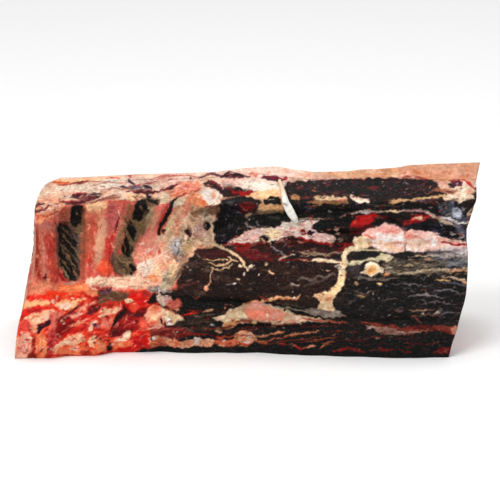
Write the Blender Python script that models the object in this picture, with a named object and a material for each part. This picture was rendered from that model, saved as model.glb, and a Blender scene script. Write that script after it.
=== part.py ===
"""A dry-aged, bone-in beef loin, as it is split from the carcass.

Metres, +Z up. The loin stands on its sawn backbone side. +X runs along the back from the rib end to
the hip end, and +Y runs from the inner side, with its ribs and tenderloin, to the fat on the back.
The origin is under the middle of the whole piece, on the surface that it stands on.
"""

import math

import bmesh
import bpy
import numpy as np
from mathutils import Matrix, Vector, noise

GAP = 0.0003  # room between two pieces that touch
CUTTER_REACH = 0.008  # how far a cutter runs out past a cut face

# How many grid cells each surface has.
LEAN_CELLS = (42, 16, 3)
FAT_CELLS = (42, 16, 1)  # the same as the lean's where the two meet, so that they fit
BACKBONE_CELLS = 28
TENDERLOIN_CELLS = (24, 14)
RIB_CELLS = (10, 10)
PAD_CELLS = (14, 10)
SINEW_CELLS = (10, 8)

COLOURS = {
    "lean": ((0.045, 0.022, 0.020), 0.42),
    "fat_cap": ((0.78, 0.56, 0.42), 0.50),
    "bone": ((0.70, 0.30, 0.22), 0.45),
    "tenderloin": ((0.050, 0.027, 0.024), 0.40),
    "kidney_fat": ((0.83, 0.60, 0.50), 0.50),
    "sinew": ((0.86, 0.82, 0.76), 0.45),
}


def clear_scene():
    for thing in list(bpy.data.objects):
        bpy.data.objects.remove(thing, do_unlink=True)


def through(*pairs):
    """A smooth function of one number through (position, value) pairs, with no overshoot between them."""
    at = np.array([pair[0] for pair in pairs])
    value = np.array([pair[1] for pair in pairs])
    slope = np.diff(value) / np.diff(at)
    tangent = np.zeros(len(at))
    tangent[0], tangent[-1] = slope[0], slope[-1]
    for i in range(1, len(at) - 1):
        if slope[i - 1] * slope[i] > 0:
            tangent[i] = 2 * slope[i - 1] * slope[i] / (slope[i - 1] + slope[i])

    def at_position(x):
        x = min(max(x, at[0]), at[-1])
        i = min(int(np.searchsorted(at, x, side="right")) - 1, len(slope) - 1)
        step = at[i + 1] - at[i]
        t = (x - at[i]) / step
        return (
            value[i] * (1 + 2 * t) * (1 - t) ** 2
            + tangent[i] * step * t * (1 - t) ** 2
            + value[i + 1] * t * t * (3 - 2 * t)
            + tangent[i + 1] * step * t * t * (t - 1)
        )

    return at_position


def mix(a, b, share):
    return a + (b - a) * share


def smooth(low, high, x):
    """0 below low, 1 above high, and a soft step between."""
    t = min(max((x - low) / (high - low), 0.0), 1.0)
    return t * t * (3 - 2 * t)


def unevenness(x, y, z, size, height):
    """Gentle lumps, about size across and height high, that are the same on each run."""
    return height * noise.noise(Vector((x / size, y / size, z / size)))


# The two end cuts, as x at each height. Both lean towards the rib end at the base.
rib_end_cut = through(
    (0.0, -0.2405), (0.024, -0.2378), (0.041, -0.2348), (0.057, -0.2295), (0.072, -0.2240), (0.09, -0.2205),
    (0.12, -0.2190), (0.18, -0.2195),
)
hip_end_cut = through(
    (0.0, 0.2055), (0.018, 0.2090), (0.03, 0.2130), (0.05, 0.2165), (0.075, 0.2210), (0.13, 0.2225),
    (0.148, 0.2220), (0.162, 0.2310), (0.178, 0.2330), (0.188, 0.2385),
)
CORNER_CUT = 0.026  # how far the rib end is trimmed back at the top of the fat

# The sawn top edge, where the flank was cut off: a slope that faces up and to the inner side.
top_front_height = through((-0.24, 0.150), (-0.15, 0.157), (0.0, 0.158), (0.12, 0.160), (0.24, 0.167))
top_back_height = through(
    (-0.20, 0.171), (-0.13, 0.1745), (-0.06, 0.1765), (0.0, 0.182), (0.06, 0.177), (0.12, 0.179),
    (0.17, 0.1845), (0.24, 0.188),
)
TOP_BACK_Y = 0.006

# The inner side, as y at each height, at four places along the loin.
INNER_HEIGHTS = (0.04, 0.055, 0.075, 0.10, 0.13, 0.16)
INNER_SIDE = (
    (-0.225, through(*zip(INNER_HEIGHTS, (-0.066, -0.061, -0.049, -0.040, -0.039, -0.050)))),
    (-0.085, through(*zip(INNER_HEIGHTS, (-0.056, -0.055, -0.050, -0.046, -0.043, -0.049)))),
    (0.020, through(*zip(INNER_HEIGHTS, (-0.054, -0.050, -0.045, -0.044, -0.043, -0.047)))),
    (0.225, through(*zip(INNER_HEIGHTS, (-0.061, -0.055, -0.050, -0.049, -0.048, -0.050)))),
)
foot_line = through(
    (-0.238, -0.074), (-0.205, -0.074), (-0.185, -0.067), (-0.160, -0.067), (-0.140, -0.057), (0.0, -0.055),
    (0.06, -0.063), (0.11, -0.067), (0.16, -0.071), (0.20, -0.069), (0.238, -0.067),
)  # y of the front edge that the loin stands on
FOOT_SWELL = 0.003
FOOT_BEHIND_BONE = 0.009  # how far the lean stands back where the vertebrae lie open

# Hollows and swellings of the inner side: x, height, half width, half height, lean of the long axis, depth.
RELIEF = (
    (-0.1835, 0.115, 0.013, 0.043, 0.13, 0.0065),  # between the first two ribs
    (-0.1190, 0.117, 0.012, 0.043, 0.36, 0.0070),  # between the last two ribs
    (-0.020, 0.137, 0.020, 0.021, 0.10, 0.0110),  # the dark pocket above the tenderloin
    (0.030, 0.140, 0.030, 0.009, 0.00, 0.0050),  # the shelf beside it
    (0.088, 0.146, 0.050, 0.006, 0.10, 0.0035),  # the seam under the flank muscle
    (0.098, 0.134, 0.045, 0.006, 0.10, -0.0040),  # the roll of inner flank under that seam
    (0.193, 0.140, 0.040, 0.007, -0.30, -0.0030),
    (-0.041, 0.160, 0.012, 0.011, 0.00, -0.0050),  # the knob of fat at the last rib
    (-0.062, 0.125, 0.022, 0.030, 0.60, -0.0035),  # the sheet of membrane behind the last rib
)

# The fat's outer side, as y at each share of the full height, and its thickness at the same shares.
outer_side = through(
    (0.0, 0.061), (0.1, 0.068), (0.27, 0.071), (0.5, 0.064), (0.7, 0.052), (0.86, 0.036), (0.96, 0.019),
    (1.0, TOP_BACK_Y),
)
share_of_height = through((0.0, 0.0), (0.2, 0.2), (0.6, 0.66), (0.8, 0.875), (0.93, 0.975), (1.0, 1.0))
fat_depth = through((0.0, 0.009), (0.3, 0.013), (0.6, 0.013), (0.85, 0.011), (1.0, 0.012))
fat_depth_at_top = through((-0.24, 0.009), (0.0, 0.011), (0.10, 0.015), (0.18, 0.026), (0.24, 0.030))
inward_drop = through((0.0, 0.0), (0.4, 0.10), (0.7, 0.55), (0.9, 0.95), (1.0, 0.40))  # how far it runs down

# The row of vertebrae in section, as (y, z) round from the front of the base. The rib end shows a
# body and a flat spine, and the loin proper also has the upright finger bone of a T-bone steak.
RIB_END_SECTION = (
    (-0.071, 0.0), (-0.077, 0.011), (-0.078, 0.029), (-0.073, 0.049), (-0.060, 0.062), (-0.048, 0.067),
    (-0.042, 0.069), (-0.036, 0.067), (-0.031, 0.064), (-0.022, 0.055), (-0.016, 0.041), (-0.013, 0.023),
    (-0.004, 0.014), (0.020, 0.011), (0.042, 0.009), (0.046, 0.004), (0.044, 0.0),
)
LOIN_SECTION = (
    (-0.042, 0.0), (-0.047, 0.010), (-0.048, 0.022), (-0.044, 0.033), (-0.035, 0.039), (-0.027, 0.043),
    (-0.022, 0.104), (-0.018, 0.106), (-0.014, 0.104), (-0.010, 0.043), (-0.006, 0.033), (-0.004, 0.022),
    (0.006, 0.014), (0.024, 0.010), (0.044, 0.008), (0.048, 0.004), (0.046, 0.0),
)
FRONT_POINTS = (0, 1, 2, 3)  # the points of the rib end's section that follow the foot line
BODY_POINTS = (1, 2, 3, 4, 9, 10, 11)  # the points of a section that swell at each vertebra
VERTEBRA_LENGTH = 0.050
VERTEBRA_SWELL = 0.0018
SECTION_CHANGE = (-0.115, -0.045)  # where one section turns into the other
FINGER_BONE_RISE = (-0.060, 0.020)  # where the finger bones reach their height

# Each rib's middle line on the inner side, as (x, height) from the backbone to the sawn end, and its width.
RIBS = {
    "rib_1": (((-0.2093, 0.066), (-0.2062, 0.088), (-0.2078, 0.113), (-0.2083, 0.157)), 0.0205),
    "rib_2": (((-0.1600, 0.068), (-0.1570, 0.088), (-0.1560, 0.113), (-0.1550, 0.157)), 0.0260),
    "rib_3": (((-0.1180, 0.072), (-0.1109, 0.092), (-0.1030, 0.113), (-0.0850, 0.158)), 0.0195),
}
RIB_DEPTH = 0.013
RIB_STANDS_PROUD = 0.0038
RIB_END_PROUD = 0.0012

# The tenderloin: height of its middle, half height, y of its inner side and half depth, along the loin.
TENDERLOIN_TIP = -0.085
tenderloin_height = through(
    (-0.085, 0.066), (-0.068, 0.077), (-0.055, 0.083), (0.0, 0.085), (0.072, 0.079), (0.125, 0.075),
    (0.225, 0.074),
)
tenderloin_half_height = through(
    (-0.085, 0.003), (-0.077, 0.013), (-0.068, 0.021), (-0.055, 0.027), (0.0, 0.031), (0.072, 0.038),
    (0.225, 0.041),
)
tenderloin_inner = through(
    (-0.085, -0.053), (-0.055, -0.058), (0.0, -0.062), (0.055, -0.067), (0.16, -0.076), (0.23, -0.076),
)
tenderloin_half_depth = through(
    (-0.085, 0.002), (-0.055, 0.009), (0.0, 0.013), (0.055, 0.017), (0.16, 0.022), (0.23, 0.022),
)

# Pads of kidney fat: (x, height, how proud of the lean, radius) along each one.
UPPER_PAD = (
    (0.105, 0.117, 0.002, 0.0040), (0.111, 0.120, 0.004, 0.0085), (0.125, 0.126, 0.004, 0.0115),
    (0.140, 0.129, 0.005, 0.0150), (0.153, 0.127, 0.004, 0.0125), (0.167, 0.125, 0.004, 0.0125),
    (0.187, 0.122, 0.003, 0.0100), (0.206, 0.119, 0.002, 0.0070), (0.219, 0.118, 0.001, 0.0040),
)
LOWER_PAD = (
    (-0.038, 0.032, 0.001, 0.0025), (-0.024, 0.034, 0.002, 0.0055), (-0.010, 0.038, 0.003, 0.0085),
    (0.003, 0.041, 0.004, 0.0105), (0.020, 0.042, 0.005, 0.0115), (0.038, 0.040, 0.004, 0.0095),
    (0.054, 0.036, 0.003, 0.0065), (0.070, 0.033, 0.001, 0.0030),
)
PAD_LUMPS = 0.0014

# The pale twisted sinew that hangs over the sawn edge: (x, y, z) along it, and its radius.
SINEW = (
    (0.0310, -0.016, 0.1745), (0.0345, -0.034, 0.1675), (0.0380, -0.0505, 0.1590), (0.0425, -0.0515, 0.1500),
    (0.0480, -0.0485, 0.1400),
)
SINEW_RADIUS = 0.0023
SINEW_STRANDS = 0.0005


def new_object(name, mesh, look):
    data = bpy.data.meshes.new(name)
    bmesh.ops.recalc_face_normals(mesh, faces=mesh.faces)
    bmesh.ops.triangulate(mesh, faces=mesh.faces, quad_method="FIXED")
    mesh.to_mesh(data)
    mesh.free()
    thing = bpy.data.objects.new(name, data)
    bpy.context.scene.collection.objects.link(thing)
    data.materials.append(material(look))
    data.shade_smooth()
    data.set_sharp_from_angle(angle=math.radians(45))
    return thing


def material(look):
    found = bpy.data.materials.get(look)
    if found:
        return found
    colour, roughness = COLOURS[look]
    made = bpy.data.materials.new(look)
    made.use_nodes = True
    shader = made.node_tree.nodes["Principled BSDF"]
    shader.inputs["Base Color"].default_value = (*colour, 1.0)
    shader.inputs["Roughness"].default_value = roughness
    shader.inputs["Metallic"].default_value = 0.0
    return made


def block(name, look, place, cells):
    """A closed solid: the grid on a unit box's six sides, with each point moved by place(s, t, r)."""
    mesh = bmesh.new()
    corners = {}

    def face(*keys):
        for key in keys:
            if key not in corners:
                corners[key] = mesh.verts.new(place(*(k / n for k, n in zip(key, cells))))
        mesh.faces.new([corners[key] for key in keys])

    for axis in range(3):
        first, second = [a for a in range(3) if a != axis]
        for side in (0, cells[axis]):
            for i in range(cells[first]):
                for j in range(cells[second]):
                    square = []
                    for di, dj in ((0, 0), (1, 0), (1, 1), (0, 1)):
                        key = [0, 0, 0]
                        key[axis], key[first], key[second] = side, i + di, j + dj
                        square.append(tuple(key))
                    face(*square)
    return new_object(name, mesh, look)


def skinned(name, look, rings):
    """A closed solid through rings of points, each ring the same length, with both ends filled."""
    mesh = bmesh.new()
    rows = [[mesh.verts.new(point) for point in ring] for ring in rings]
    for row, following in zip(rows, rows[1:]):
        for i in range(len(row)):
            j = (i + 1) % len(row)
            mesh.faces.new((row[i], row[j], following[j], following[i]))
    mesh.faces.new(rows[0])
    mesh.faces.new(rows[-1])
    return new_object(name, mesh, look)


def inner_y(x, z):
    """y of the bare inner side at that place and height, without the bones and the tenderloin."""
    columns = [place for place, _ in INNER_SIDE]
    i = max(k for k in range(len(columns) - 1) if k == 0 or columns[k] <= x)
    share = smooth(columns[i], columns[i + 1], x)
    y = mix(INNER_SIDE[i][1](z), INNER_SIDE[i + 1][1](z), share)
    foot = foot_line(x) - FOOT_SWELL * math.sin(math.pi * min(z / 0.045, 1.0))
    foot += FOOT_BEHIND_BONE * smooth(-0.070, -0.105, x)
    y = mix(y, foot, smooth(0.065, 0.020, z))
    for centre, height, half_width, half_height, tilt, depth in RELIEF:
        across = (x - centre - tilt * (z - height)) / half_width
        along = (z - height) / half_height
        y += depth * math.exp(-(across**2) - along**4)
    return y + unevenness(x, 0.0, z, 0.022, 0.0016)


def end_to_end(s, z, corner=0.0):
    """x at share s of the way from the rib end to the hip end, at height z."""
    start = rib_end_cut(z) + corner * CORNER_CUT * smooth(0.125, 0.175, z)
    return mix(start, hip_end_cut(z), s)


def on_outer_side(s, t):
    """(x, y, z) of the fat's outer surface at share t of the way up it."""
    top = top_back_height(mix(-0.22, 0.235, s))
    z = share_of_height(t) * top
    x = end_to_end(s, z, corner=1.0)
    lumps = unevenness(x, 0.1, z, 0.035, 0.0022) * smooth(0.0, 0.1, t) * smooth(1.0, 0.9, t)
    return x, outer_side(share_of_height(t)) + lumps, z


def on_seam(s, t, shift):
    """(x, y, z) where the fat meets the lean, shifted towards the lean by shift."""
    x, y, z = on_outer_side(s, t)
    depth = mix(fat_depth(t), fat_depth_at_top(x), smooth(0.75, 1.0, t)) + shift
    drop = inward_drop(t)
    length = math.hypot(1.0, drop)
    y -= depth / length
    z -= depth * drop / length
    return end_to_end(s, z, corner=0.5), y, max(z, 0.0)


def on_inner_side(s, t):
    z = t * top_front_height(mix(-0.22, 0.23, s))
    x = end_to_end(s, z)
    return x, inner_y(x, z), z


def towards_rib_end(s):
    """Spreads the stations so that they lie closer together where the ribs are."""
    return s * (0.72 + 0.28 * s)


def lean_point(s, t, r):
    s = towards_rib_end(s)
    front = Vector(on_inner_side(s, t))
    back = Vector(on_seam(s, t, GAP))
    point = front.lerp(back, r)
    if t == 1.0:
        crag = math.sin(math.pi * r)
        point.z += crag * (0.0015 + unevenness(point.x, point.y, 0.3, 0.016, 0.0030))
    return point


def fat_point(s, t, r):
    s = towards_rib_end(s)
    inner = Vector(on_seam(s, t, 0.0))
    outer = Vector(on_outer_side(s, t))
    return inner.lerp(outer, r)


def backbone_ring(x_share, grow=0.0):
    """One section of the row of vertebrae, at that share of the way along, swollen by grow."""
    middle = end_to_end(x_share, 0.02)
    change = smooth(*SECTION_CHANGE, middle)
    rise = smooth(*FINGER_BONE_RISE, middle)
    swell = VERTEBRA_SWELL * math.cos(2 * math.pi * middle / VERTEBRA_LENGTH)
    ring = []
    for i, (start, end) in enumerate(zip(RIB_END_SECTION, LOIN_SECTION)):
        y = mix(start[0], end[0], change)
        z = mix(start[1], end[1], change if end[1] < 0.06 else change * rise)
        if i in FRONT_POINTS:
            y += (foot_line(middle) + 0.074) * (1 - change)
        if i in BODY_POINTS:
            reach = math.hypot(y + 0.040, z - 0.025)
            y += (y + 0.040) / reach * swell
            z += (z - 0.025) / reach * swell
        ring.append(Vector((end_to_end(x_share, z), y, z)))
    return grown(ring, grow)


def grown(ring, grow):
    """The ring moved outwards by grow in its y, z plane. Its points run clockwise, seen from +X."""
    if grow == 0.0:
        return ring
    moved = []
    for i, point in enumerate(ring):
        along = ring[(i + 1) % len(ring)] - ring[i - 1]
        outward = Vector((0.0, -along.z, along.y)).normalized()
        moved.append(point + outward * grow)
    return moved


def backbone(name, grow=0.0):
    rings = [backbone_ring(i / BACKBONE_CELLS, grow) for i in range(BACKBONE_CELLS + 1)]
    if grow:
        rings = lengthened(rings, (-CUTTER_REACH, 0, 0), (CUTTER_REACH, 0, 0))
    return skinned(name, "bone", rings)


def lengthened(rings, before, after):
    """The rings with one more at each end, at those offsets from the first and the last."""
    first = [point + Vector(before) for point in rings[0]]
    last = [point + Vector(after) for point in rings[-1]]
    return [first, *rings, last]


def along(points, share):
    """The point at that share of a smooth line through the points."""
    steps = np.linspace(0.0, 1.0, len(points))
    axes = [through(*zip(steps, values)) for values in zip(*points)]
    return [axis(share) for axis in axes]


def rib(name, line, width, grow=0.0):
    """A flat, slightly curved bone that lies on the inner side and ends in a sawn face."""
    cells, sides = RIB_CELLS
    rings = []
    for i in range(cells + 1):
        share = i / cells
        x, z = along(line, share)
        x_before, z_before = along(line, max(share - 0.05, 0.0))
        x_after, z_after = along(line, min(share + 0.05, 1.0))
        tangent = Vector((x_after - x_before, 0.0, z_after - z_before)).normalized()
        across = Vector((tangent.z, 0.0, -tangent.x))
        middle = Vector((x, inner_y(x, z) - RIB_STANDS_PROUD + RIB_DEPTH / 2, z))
        taper = 0.72 + 0.28 * smooth(0.0, 0.25, share)
        half_width = width / 2 * taper + grow
        half_depth = RIB_DEPTH / 2 * taper + grow
        ring = []
        for k in range(sides):
            angle = 2 * math.pi * k / sides
            c, s = math.cos(angle), math.sin(angle)
            squarish = 1 / (abs(c) ** 3 + abs(s) ** 3) ** (1 / 3)
            deeper = Vector((0.0, s * squarish * half_depth, 0.0))
            ring.append(middle + across * (c * squarish * half_width) + deeper)
        rings.append(ring)
    slope = (top_back_height(line[-1][0]) - top_front_height(line[-1][0])) / (TOP_BACK_Y + 0.050)
    for point in rings[-1]:
        point.z = top_front_height(point.x) + slope * (point.y + 0.050) + RIB_END_PROUD
    if grow:
        rings = lengthened(rings, (0, 0, -grow), (0, 0, CUTTER_REACH))
    return skinned(name, "bone", rings)


def tenderloin(name, grow=0.0):
    """The long inner fillet, with a thin tip at the ribs and a cut face at the hip end."""
    cells, sides = TENDERLOIN_CELLS
    rings = []
    for i in range(cells + 1):
        share = (i / cells) ** 1.25
        flat = mix(TENDERLOIN_TIP, 0.228, share)
        z_middle, half_height = tenderloin_height(flat), tenderloin_half_height(flat) + grow
        half_depth = tenderloin_half_depth(flat) + grow
        y_middle = tenderloin_inner(flat) - grow + half_depth
        ring = []
        for k in range(sides):
            angle = 2 * math.pi * k / sides
            c, s = math.cos(angle), math.sin(angle)
            squarish = 1 / (abs(c) ** 2.4 + abs(s) ** 2.4) ** (1 / 2.4)
            z = z_middle + s * squarish * half_height
            y = y_middle + c * squarish * half_depth
            x = mix(TENDERLOIN_TIP, hip_end_cut(z), share)
            y += unevenness(x, 0.5, z, 0.030, 0.0022) * min(1.0, i / 4)
            ring.append(Vector((x, y, z)))
        rings.append(ring)
    if grow:
        rings = lengthened(rings, (-grow, 0, 0), (CUTTER_REACH, 0, 0))
    return skinned(name, "tenderloin", rings)


def pad(name, line, grow=0.0):
    """A lumpy roll of kidney fat, half sunk in what it lies on."""
    cells, sides = PAD_CELLS
    rings = []
    for i in range(cells + 1):
        x, z, proud, radius = along(line, i / cells)
        behind = min(inner_y(x, z), skin_of_tenderloin(x, z))
        radius = radius + grow
        ring = []
        for k in range(sides):
            angle = 2 * math.pi * k / sides
            c, s = math.cos(angle), math.sin(angle)
            reach = radius + unevenness(x, c * 0.012, z + s * 0.012, 0.009, PAD_LUMPS)
            ring.append(Vector((x, behind - proud + 0.004 + c * reach * 0.62, z + s * reach)))
        rings.append(ring)
    if grow:
        rings = lengthened(rings, (-grow, 0, 0), (grow, 0, 0))
    return skinned(name, "kidney_fat", rings)


def skin_of_tenderloin(x, z):
    """y of the tenderloin's inner side where the tenderloin reaches that height, and else well behind."""
    offset = (z - tenderloin_height(x)) / tenderloin_half_height(x)
    if x < TENDERLOIN_TIP or abs(offset) >= 1.0:
        return 0.0
    depth = tenderloin_half_depth(x)
    return tenderloin_inner(x) + depth * (1 - math.sqrt(1 - offset**2))


def sinew(name, grow=0.0):
    """A short pale cord of tendon, twisted like rope."""
    cells, sides = SINEW_CELLS
    rings = []
    for i in range(cells + 1):
        share = i / cells
        centre = Vector(along(SINEW, share))
        ahead = Vector(along(SINEW, min(share + 0.04, 1.0))) - Vector(along(SINEW, max(share - 0.04, 0.0)))
        side = ahead.cross(Vector((0, 1, 0))).normalized()
        lift = side.cross(ahead).normalized()
        ring = []
        for k in range(sides):
            angle = 2 * math.pi * k / sides
            strands = SINEW_STRANDS * math.cos(2 * angle + 9.0 * share)
            radius = SINEW_RADIUS + strands + grow
            ring.append(centre + side * (radius * math.cos(angle)) + lift * (radius * math.sin(angle)))
        rings.append(ring)
    if grow:
        start = (rings[0][0] - rings[1][0]).normalized() * grow
        end = (rings[-1][0] - rings[-2][0]).normalized() * grow
        rings = lengthened(rings, start, end)
    return skinned(name, "sinew", rings)


def keep_largest_shell(thing):
    """Drops the loose scraps that a cut can leave."""
    mesh = bmesh.new()
    mesh.from_mesh(thing.data)
    left = set(mesh.verts)
    shells = []
    while left:
        shell, edge = set(), [left.pop()]
        while edge:
            vert = edge.pop()
            shell.add(vert)
            near = {e.other_vert(vert) for e in vert.link_edges} & left
            left -= near
            edge.extend(near)
        shells.append(shell)
    shells.sort(key=len)
    for shell in shells[:-1]:
        bmesh.ops.delete(mesh, geom=list(shell), context="VERTS")
    mesh.to_mesh(thing.data)
    mesh.free()


def seat(thing, makers):
    """Cuts room in thing for each of its neighbours, which are made again a little larger as cutters."""
    cutters = []
    for i, maker in enumerate(makers):
        cutter = maker(f"{thing.name}_cutter_{i}", grow=GAP)
        cutter.hide_render = True
        cutter.display_type = "WIRE"
        modifier = thing.modifiers.new(f"seat_{i}", "BOOLEAN")
        modifier.operation = "DIFFERENCE"
        modifier.solver = "EXACT"
        modifier.object = cutter
        cutters.append(cutter)
    graph = bpy.context.evaluated_depsgraph_get()
    carved = bpy.data.meshes.new_from_object(thing.evaluated_get(graph))
    thing.modifiers.clear()
    thing.data = carved
    for cutter in cutters:
        bpy.data.objects.remove(cutter, do_unlink=True)
    keep_largest_shell(thing)


def centre(things):
    """Moves everything sideways so that the origin is under the middle of the whole piece."""
    points = [vert.co for thing in things for vert in thing.data.vertices]
    middle_x = (min(p.x for p in points) + max(p.x for p in points)) / 2
    middle_y = (min(p.y for p in points) + max(p.y for p in points)) / 2
    for thing in things:
        thing.data.transform(Matrix.Translation((-middle_x, -middle_y, 0.0)))


def rib_maker(name):
    line, width = RIBS[name]
    return lambda label, grow=0.0: rib(label, line, width, grow)


def pad_maker(line):
    return lambda label, grow=0.0: pad(label, line, grow)


def build():
    clear_scene()
    ribs = {name: rib_maker(name) for name in RIBS}
    pads = {"kidney_fat_upper": pad_maker(UPPER_PAD), "kidney_fat_lower": pad_maker(LOWER_PAD)}
    for name, maker in {**ribs, **pads, "sinew": sinew}.items():
        maker(name)
    block("fat_cap", "fat_cap", fat_point, FAT_CELLS)
    seat(tenderloin("tenderloin"), [*pads.values(), sinew, ribs["rib_3"]])
    seat(backbone("backbone"), [*ribs.values(), *pads.values(), tenderloin])
    lean = block("lean", "lean", lean_point, LEAN_CELLS)
    seat(lean, [*ribs.values(), *pads.values(), sinew, tenderloin, backbone])
    centre(list(bpy.data.objects))


build()
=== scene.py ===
"""The looks of a dry-aged, bone-in beef loin.

Every piece is made again over its solid with a fine surface. The colours, the relief and the gloss of the
inner side and the sawn top are painted in the photograph's pixels. They reach the meshes as a colour
on each point, and the materials add what is finer than the points.
"""

import math

import bmesh
import bpy
import numpy as np
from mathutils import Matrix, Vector, noise


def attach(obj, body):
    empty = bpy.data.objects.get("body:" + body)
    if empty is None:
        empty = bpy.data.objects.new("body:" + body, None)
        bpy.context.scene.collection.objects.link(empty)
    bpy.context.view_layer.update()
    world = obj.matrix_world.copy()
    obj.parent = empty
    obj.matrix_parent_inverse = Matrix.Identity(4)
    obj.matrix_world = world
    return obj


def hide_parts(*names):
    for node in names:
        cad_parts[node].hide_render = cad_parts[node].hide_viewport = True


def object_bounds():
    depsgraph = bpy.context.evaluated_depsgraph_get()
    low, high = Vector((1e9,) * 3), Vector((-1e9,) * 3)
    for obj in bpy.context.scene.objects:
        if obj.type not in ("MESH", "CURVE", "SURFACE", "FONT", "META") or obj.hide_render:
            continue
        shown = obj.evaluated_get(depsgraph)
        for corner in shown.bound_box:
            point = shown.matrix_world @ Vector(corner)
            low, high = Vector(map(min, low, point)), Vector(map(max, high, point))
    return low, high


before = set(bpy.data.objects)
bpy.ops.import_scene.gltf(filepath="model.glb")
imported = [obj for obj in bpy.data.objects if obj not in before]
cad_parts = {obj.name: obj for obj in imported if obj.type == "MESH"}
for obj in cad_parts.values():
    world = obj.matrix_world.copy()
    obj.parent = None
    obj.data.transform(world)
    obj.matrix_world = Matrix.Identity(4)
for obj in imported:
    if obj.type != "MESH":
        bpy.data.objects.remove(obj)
cad_low, cad_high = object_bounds()

# The shapes below are worked out in the part's own coordinates before it was centred on the origin.
CENTRING = np.array([0.001068, 0.003668, 0.0])
COARSE = 1.0

# The photograph's view: a long lens from 18 degrees above, where a pixel is 1.04 mm at the target.
PIXEL = 0.00104
ELEVATION = math.radians(18.0)
DISTANCE = 3.0
PHOTO_SIDE = 500
MIDDLE_PIXEL = 249.2
TARGET = np.array([(PHOTO_SIDE / 2 - MIDDLE_PIXEL) * PIXEL, 0.0, 0.0937])
TO_EYE = np.array([0.0, -math.cos(ELEVATION), math.sin(ELEVATION)])
UP_IN_VIEW = np.array([0.0, math.sin(ELEVATION), math.cos(ELEVATION)])
EYE = TARGET + DISTANCE * TO_EYE


def to_pixels(points):
    """Where points, in metres, show in the photograph, in its pixels."""
    seen = points - EYE
    depth = -seen @ TO_EYE
    x = PHOTO_SIDE / 2 + seen[..., 0] / depth * DISTANCE / PIXEL
    y = PHOTO_SIDE / 2 - (seen @ UP_IN_VIEW) / depth * DISTANCE / PIXEL
    return x, y


# Small tools for shapes.


def through(*pairs):
    """A smooth function through (position, value) pairs, with no overshoot between them."""
    at, value = (np.array(column, float) for column in zip(*pairs))
    slope = np.diff(value) / np.diff(at)
    tangent = np.concatenate([slope[:1], np.zeros(len(slope) - 1), slope[-1:]])
    for i in range(1, len(slope)):
        if slope[i - 1] * slope[i] > 0:
            tangent[i] = 2 * slope[i - 1] * slope[i] / (slope[i - 1] + slope[i])

    def at_position(x):
        x = np.clip(x, at[0], at[-1])
        i = np.clip(np.searchsorted(at, x, side="right") - 1, 0, len(slope) - 1)
        step = at[i + 1] - at[i]
        t = (x - at[i]) / step
        return (
            value[i] * (1 + 2 * t) * (1 - t) ** 2
            + tangent[i] * step * t * (1 - t) ** 2
            + value[i + 1] * t * t * (3 - 2 * t)
            + tangent[i + 1] * step * t * t * (t - 1)
        )

    return at_position


def mix(a, b, share):
    return a + (b - a) * share


def smooth(low, high, x):
    """0 below low, 1 above high, and a soft step between."""
    t = np.clip((x - low) / (high - low), 0.0, 1.0)
    return t * t * (3 - 2 * t)


def unevenness(x, y, z, size, height):
    """The same gentle lumps as the solids have."""
    x, y, z = np.broadcast_arrays(x, y, z)
    places = np.stack([x, y, z], axis=-1).reshape(-1, 3) / size
    lumps = np.array([noise.noise(Vector(place)) for place in places.tolist()])
    return height * lumps.reshape(x.shape)


# The solids' own shapes.

rib_end_cut = through(
    (0.0, -0.2405), (0.024, -0.2378), (0.041, -0.2348), (0.057, -0.2295), (0.072, -0.2240), (0.09, -0.2205),
    (0.12, -0.2190), (0.18, -0.2195),
)
hip_end_cut = through(
    (0.0, 0.2055), (0.018, 0.2090), (0.03, 0.2130), (0.05, 0.2165), (0.075, 0.2210), (0.13, 0.2225),
    (0.148, 0.2220), (0.162, 0.2310), (0.178, 0.2330), (0.188, 0.2385),
)
CORNER_CUT = 0.026
CORNER_HEIGHTS = (0.125, 0.175)

top_front_height = through((-0.24, 0.150), (-0.15, 0.157), (0.0, 0.158), (0.12, 0.160), (0.24, 0.167))
top_back_height = through(
    (-0.20, 0.171), (-0.13, 0.1745), (-0.06, 0.1765), (0.0, 0.182), (0.06, 0.177), (0.12, 0.179),
    (0.17, 0.1845), (0.24, 0.188),
)
TOP_BACK_Y = 0.006
SAWN_EDGE_ENDS = (-0.22, 0.23)  # x where the sawn edge starts and ends
BACK_EDGE_ENDS = (-0.22, 0.235)  # the same for the edge of the fat behind it

INNER_HEIGHTS = (0.04, 0.055, 0.075, 0.10, 0.13, 0.16)
INNER_SIDE = (
    (-0.225, through(*zip(INNER_HEIGHTS, (-0.066, -0.061, -0.049, -0.040, -0.039, -0.050)))),
    (-0.085, through(*zip(INNER_HEIGHTS, (-0.056, -0.055, -0.050, -0.046, -0.043, -0.049)))),
    (0.020, through(*zip(INNER_HEIGHTS, (-0.054, -0.050, -0.045, -0.044, -0.043, -0.047)))),
    (0.225, through(*zip(INNER_HEIGHTS, (-0.061, -0.055, -0.050, -0.049, -0.048, -0.050)))),
)
foot_line = through(
    (-0.238, -0.074), (-0.205, -0.074), (-0.185, -0.067), (-0.160, -0.067), (-0.140, -0.057), (0.0, -0.055),
    (0.06, -0.063), (0.11, -0.067), (0.16, -0.071), (0.20, -0.069), (0.238, -0.067),
)
FOOT_SWELL = 0.003
FOOT_HEIGHT = 0.045
FOOT_BLEND = (0.065, 0.020)  # the heights between which the inner side turns into the foot
FOOT_BEHIND_BONE = 0.009
BARE_BONE = (-0.070, -0.105)  # the x between which the backbone comes out of the lean
INNER_LUMPS = (0.022, 0.0016)  # size and height
OUTER_LUMPS = (0.035, 0.0022)
TENDERLOIN_LUMPS = (0.030, 0.0022)
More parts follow.
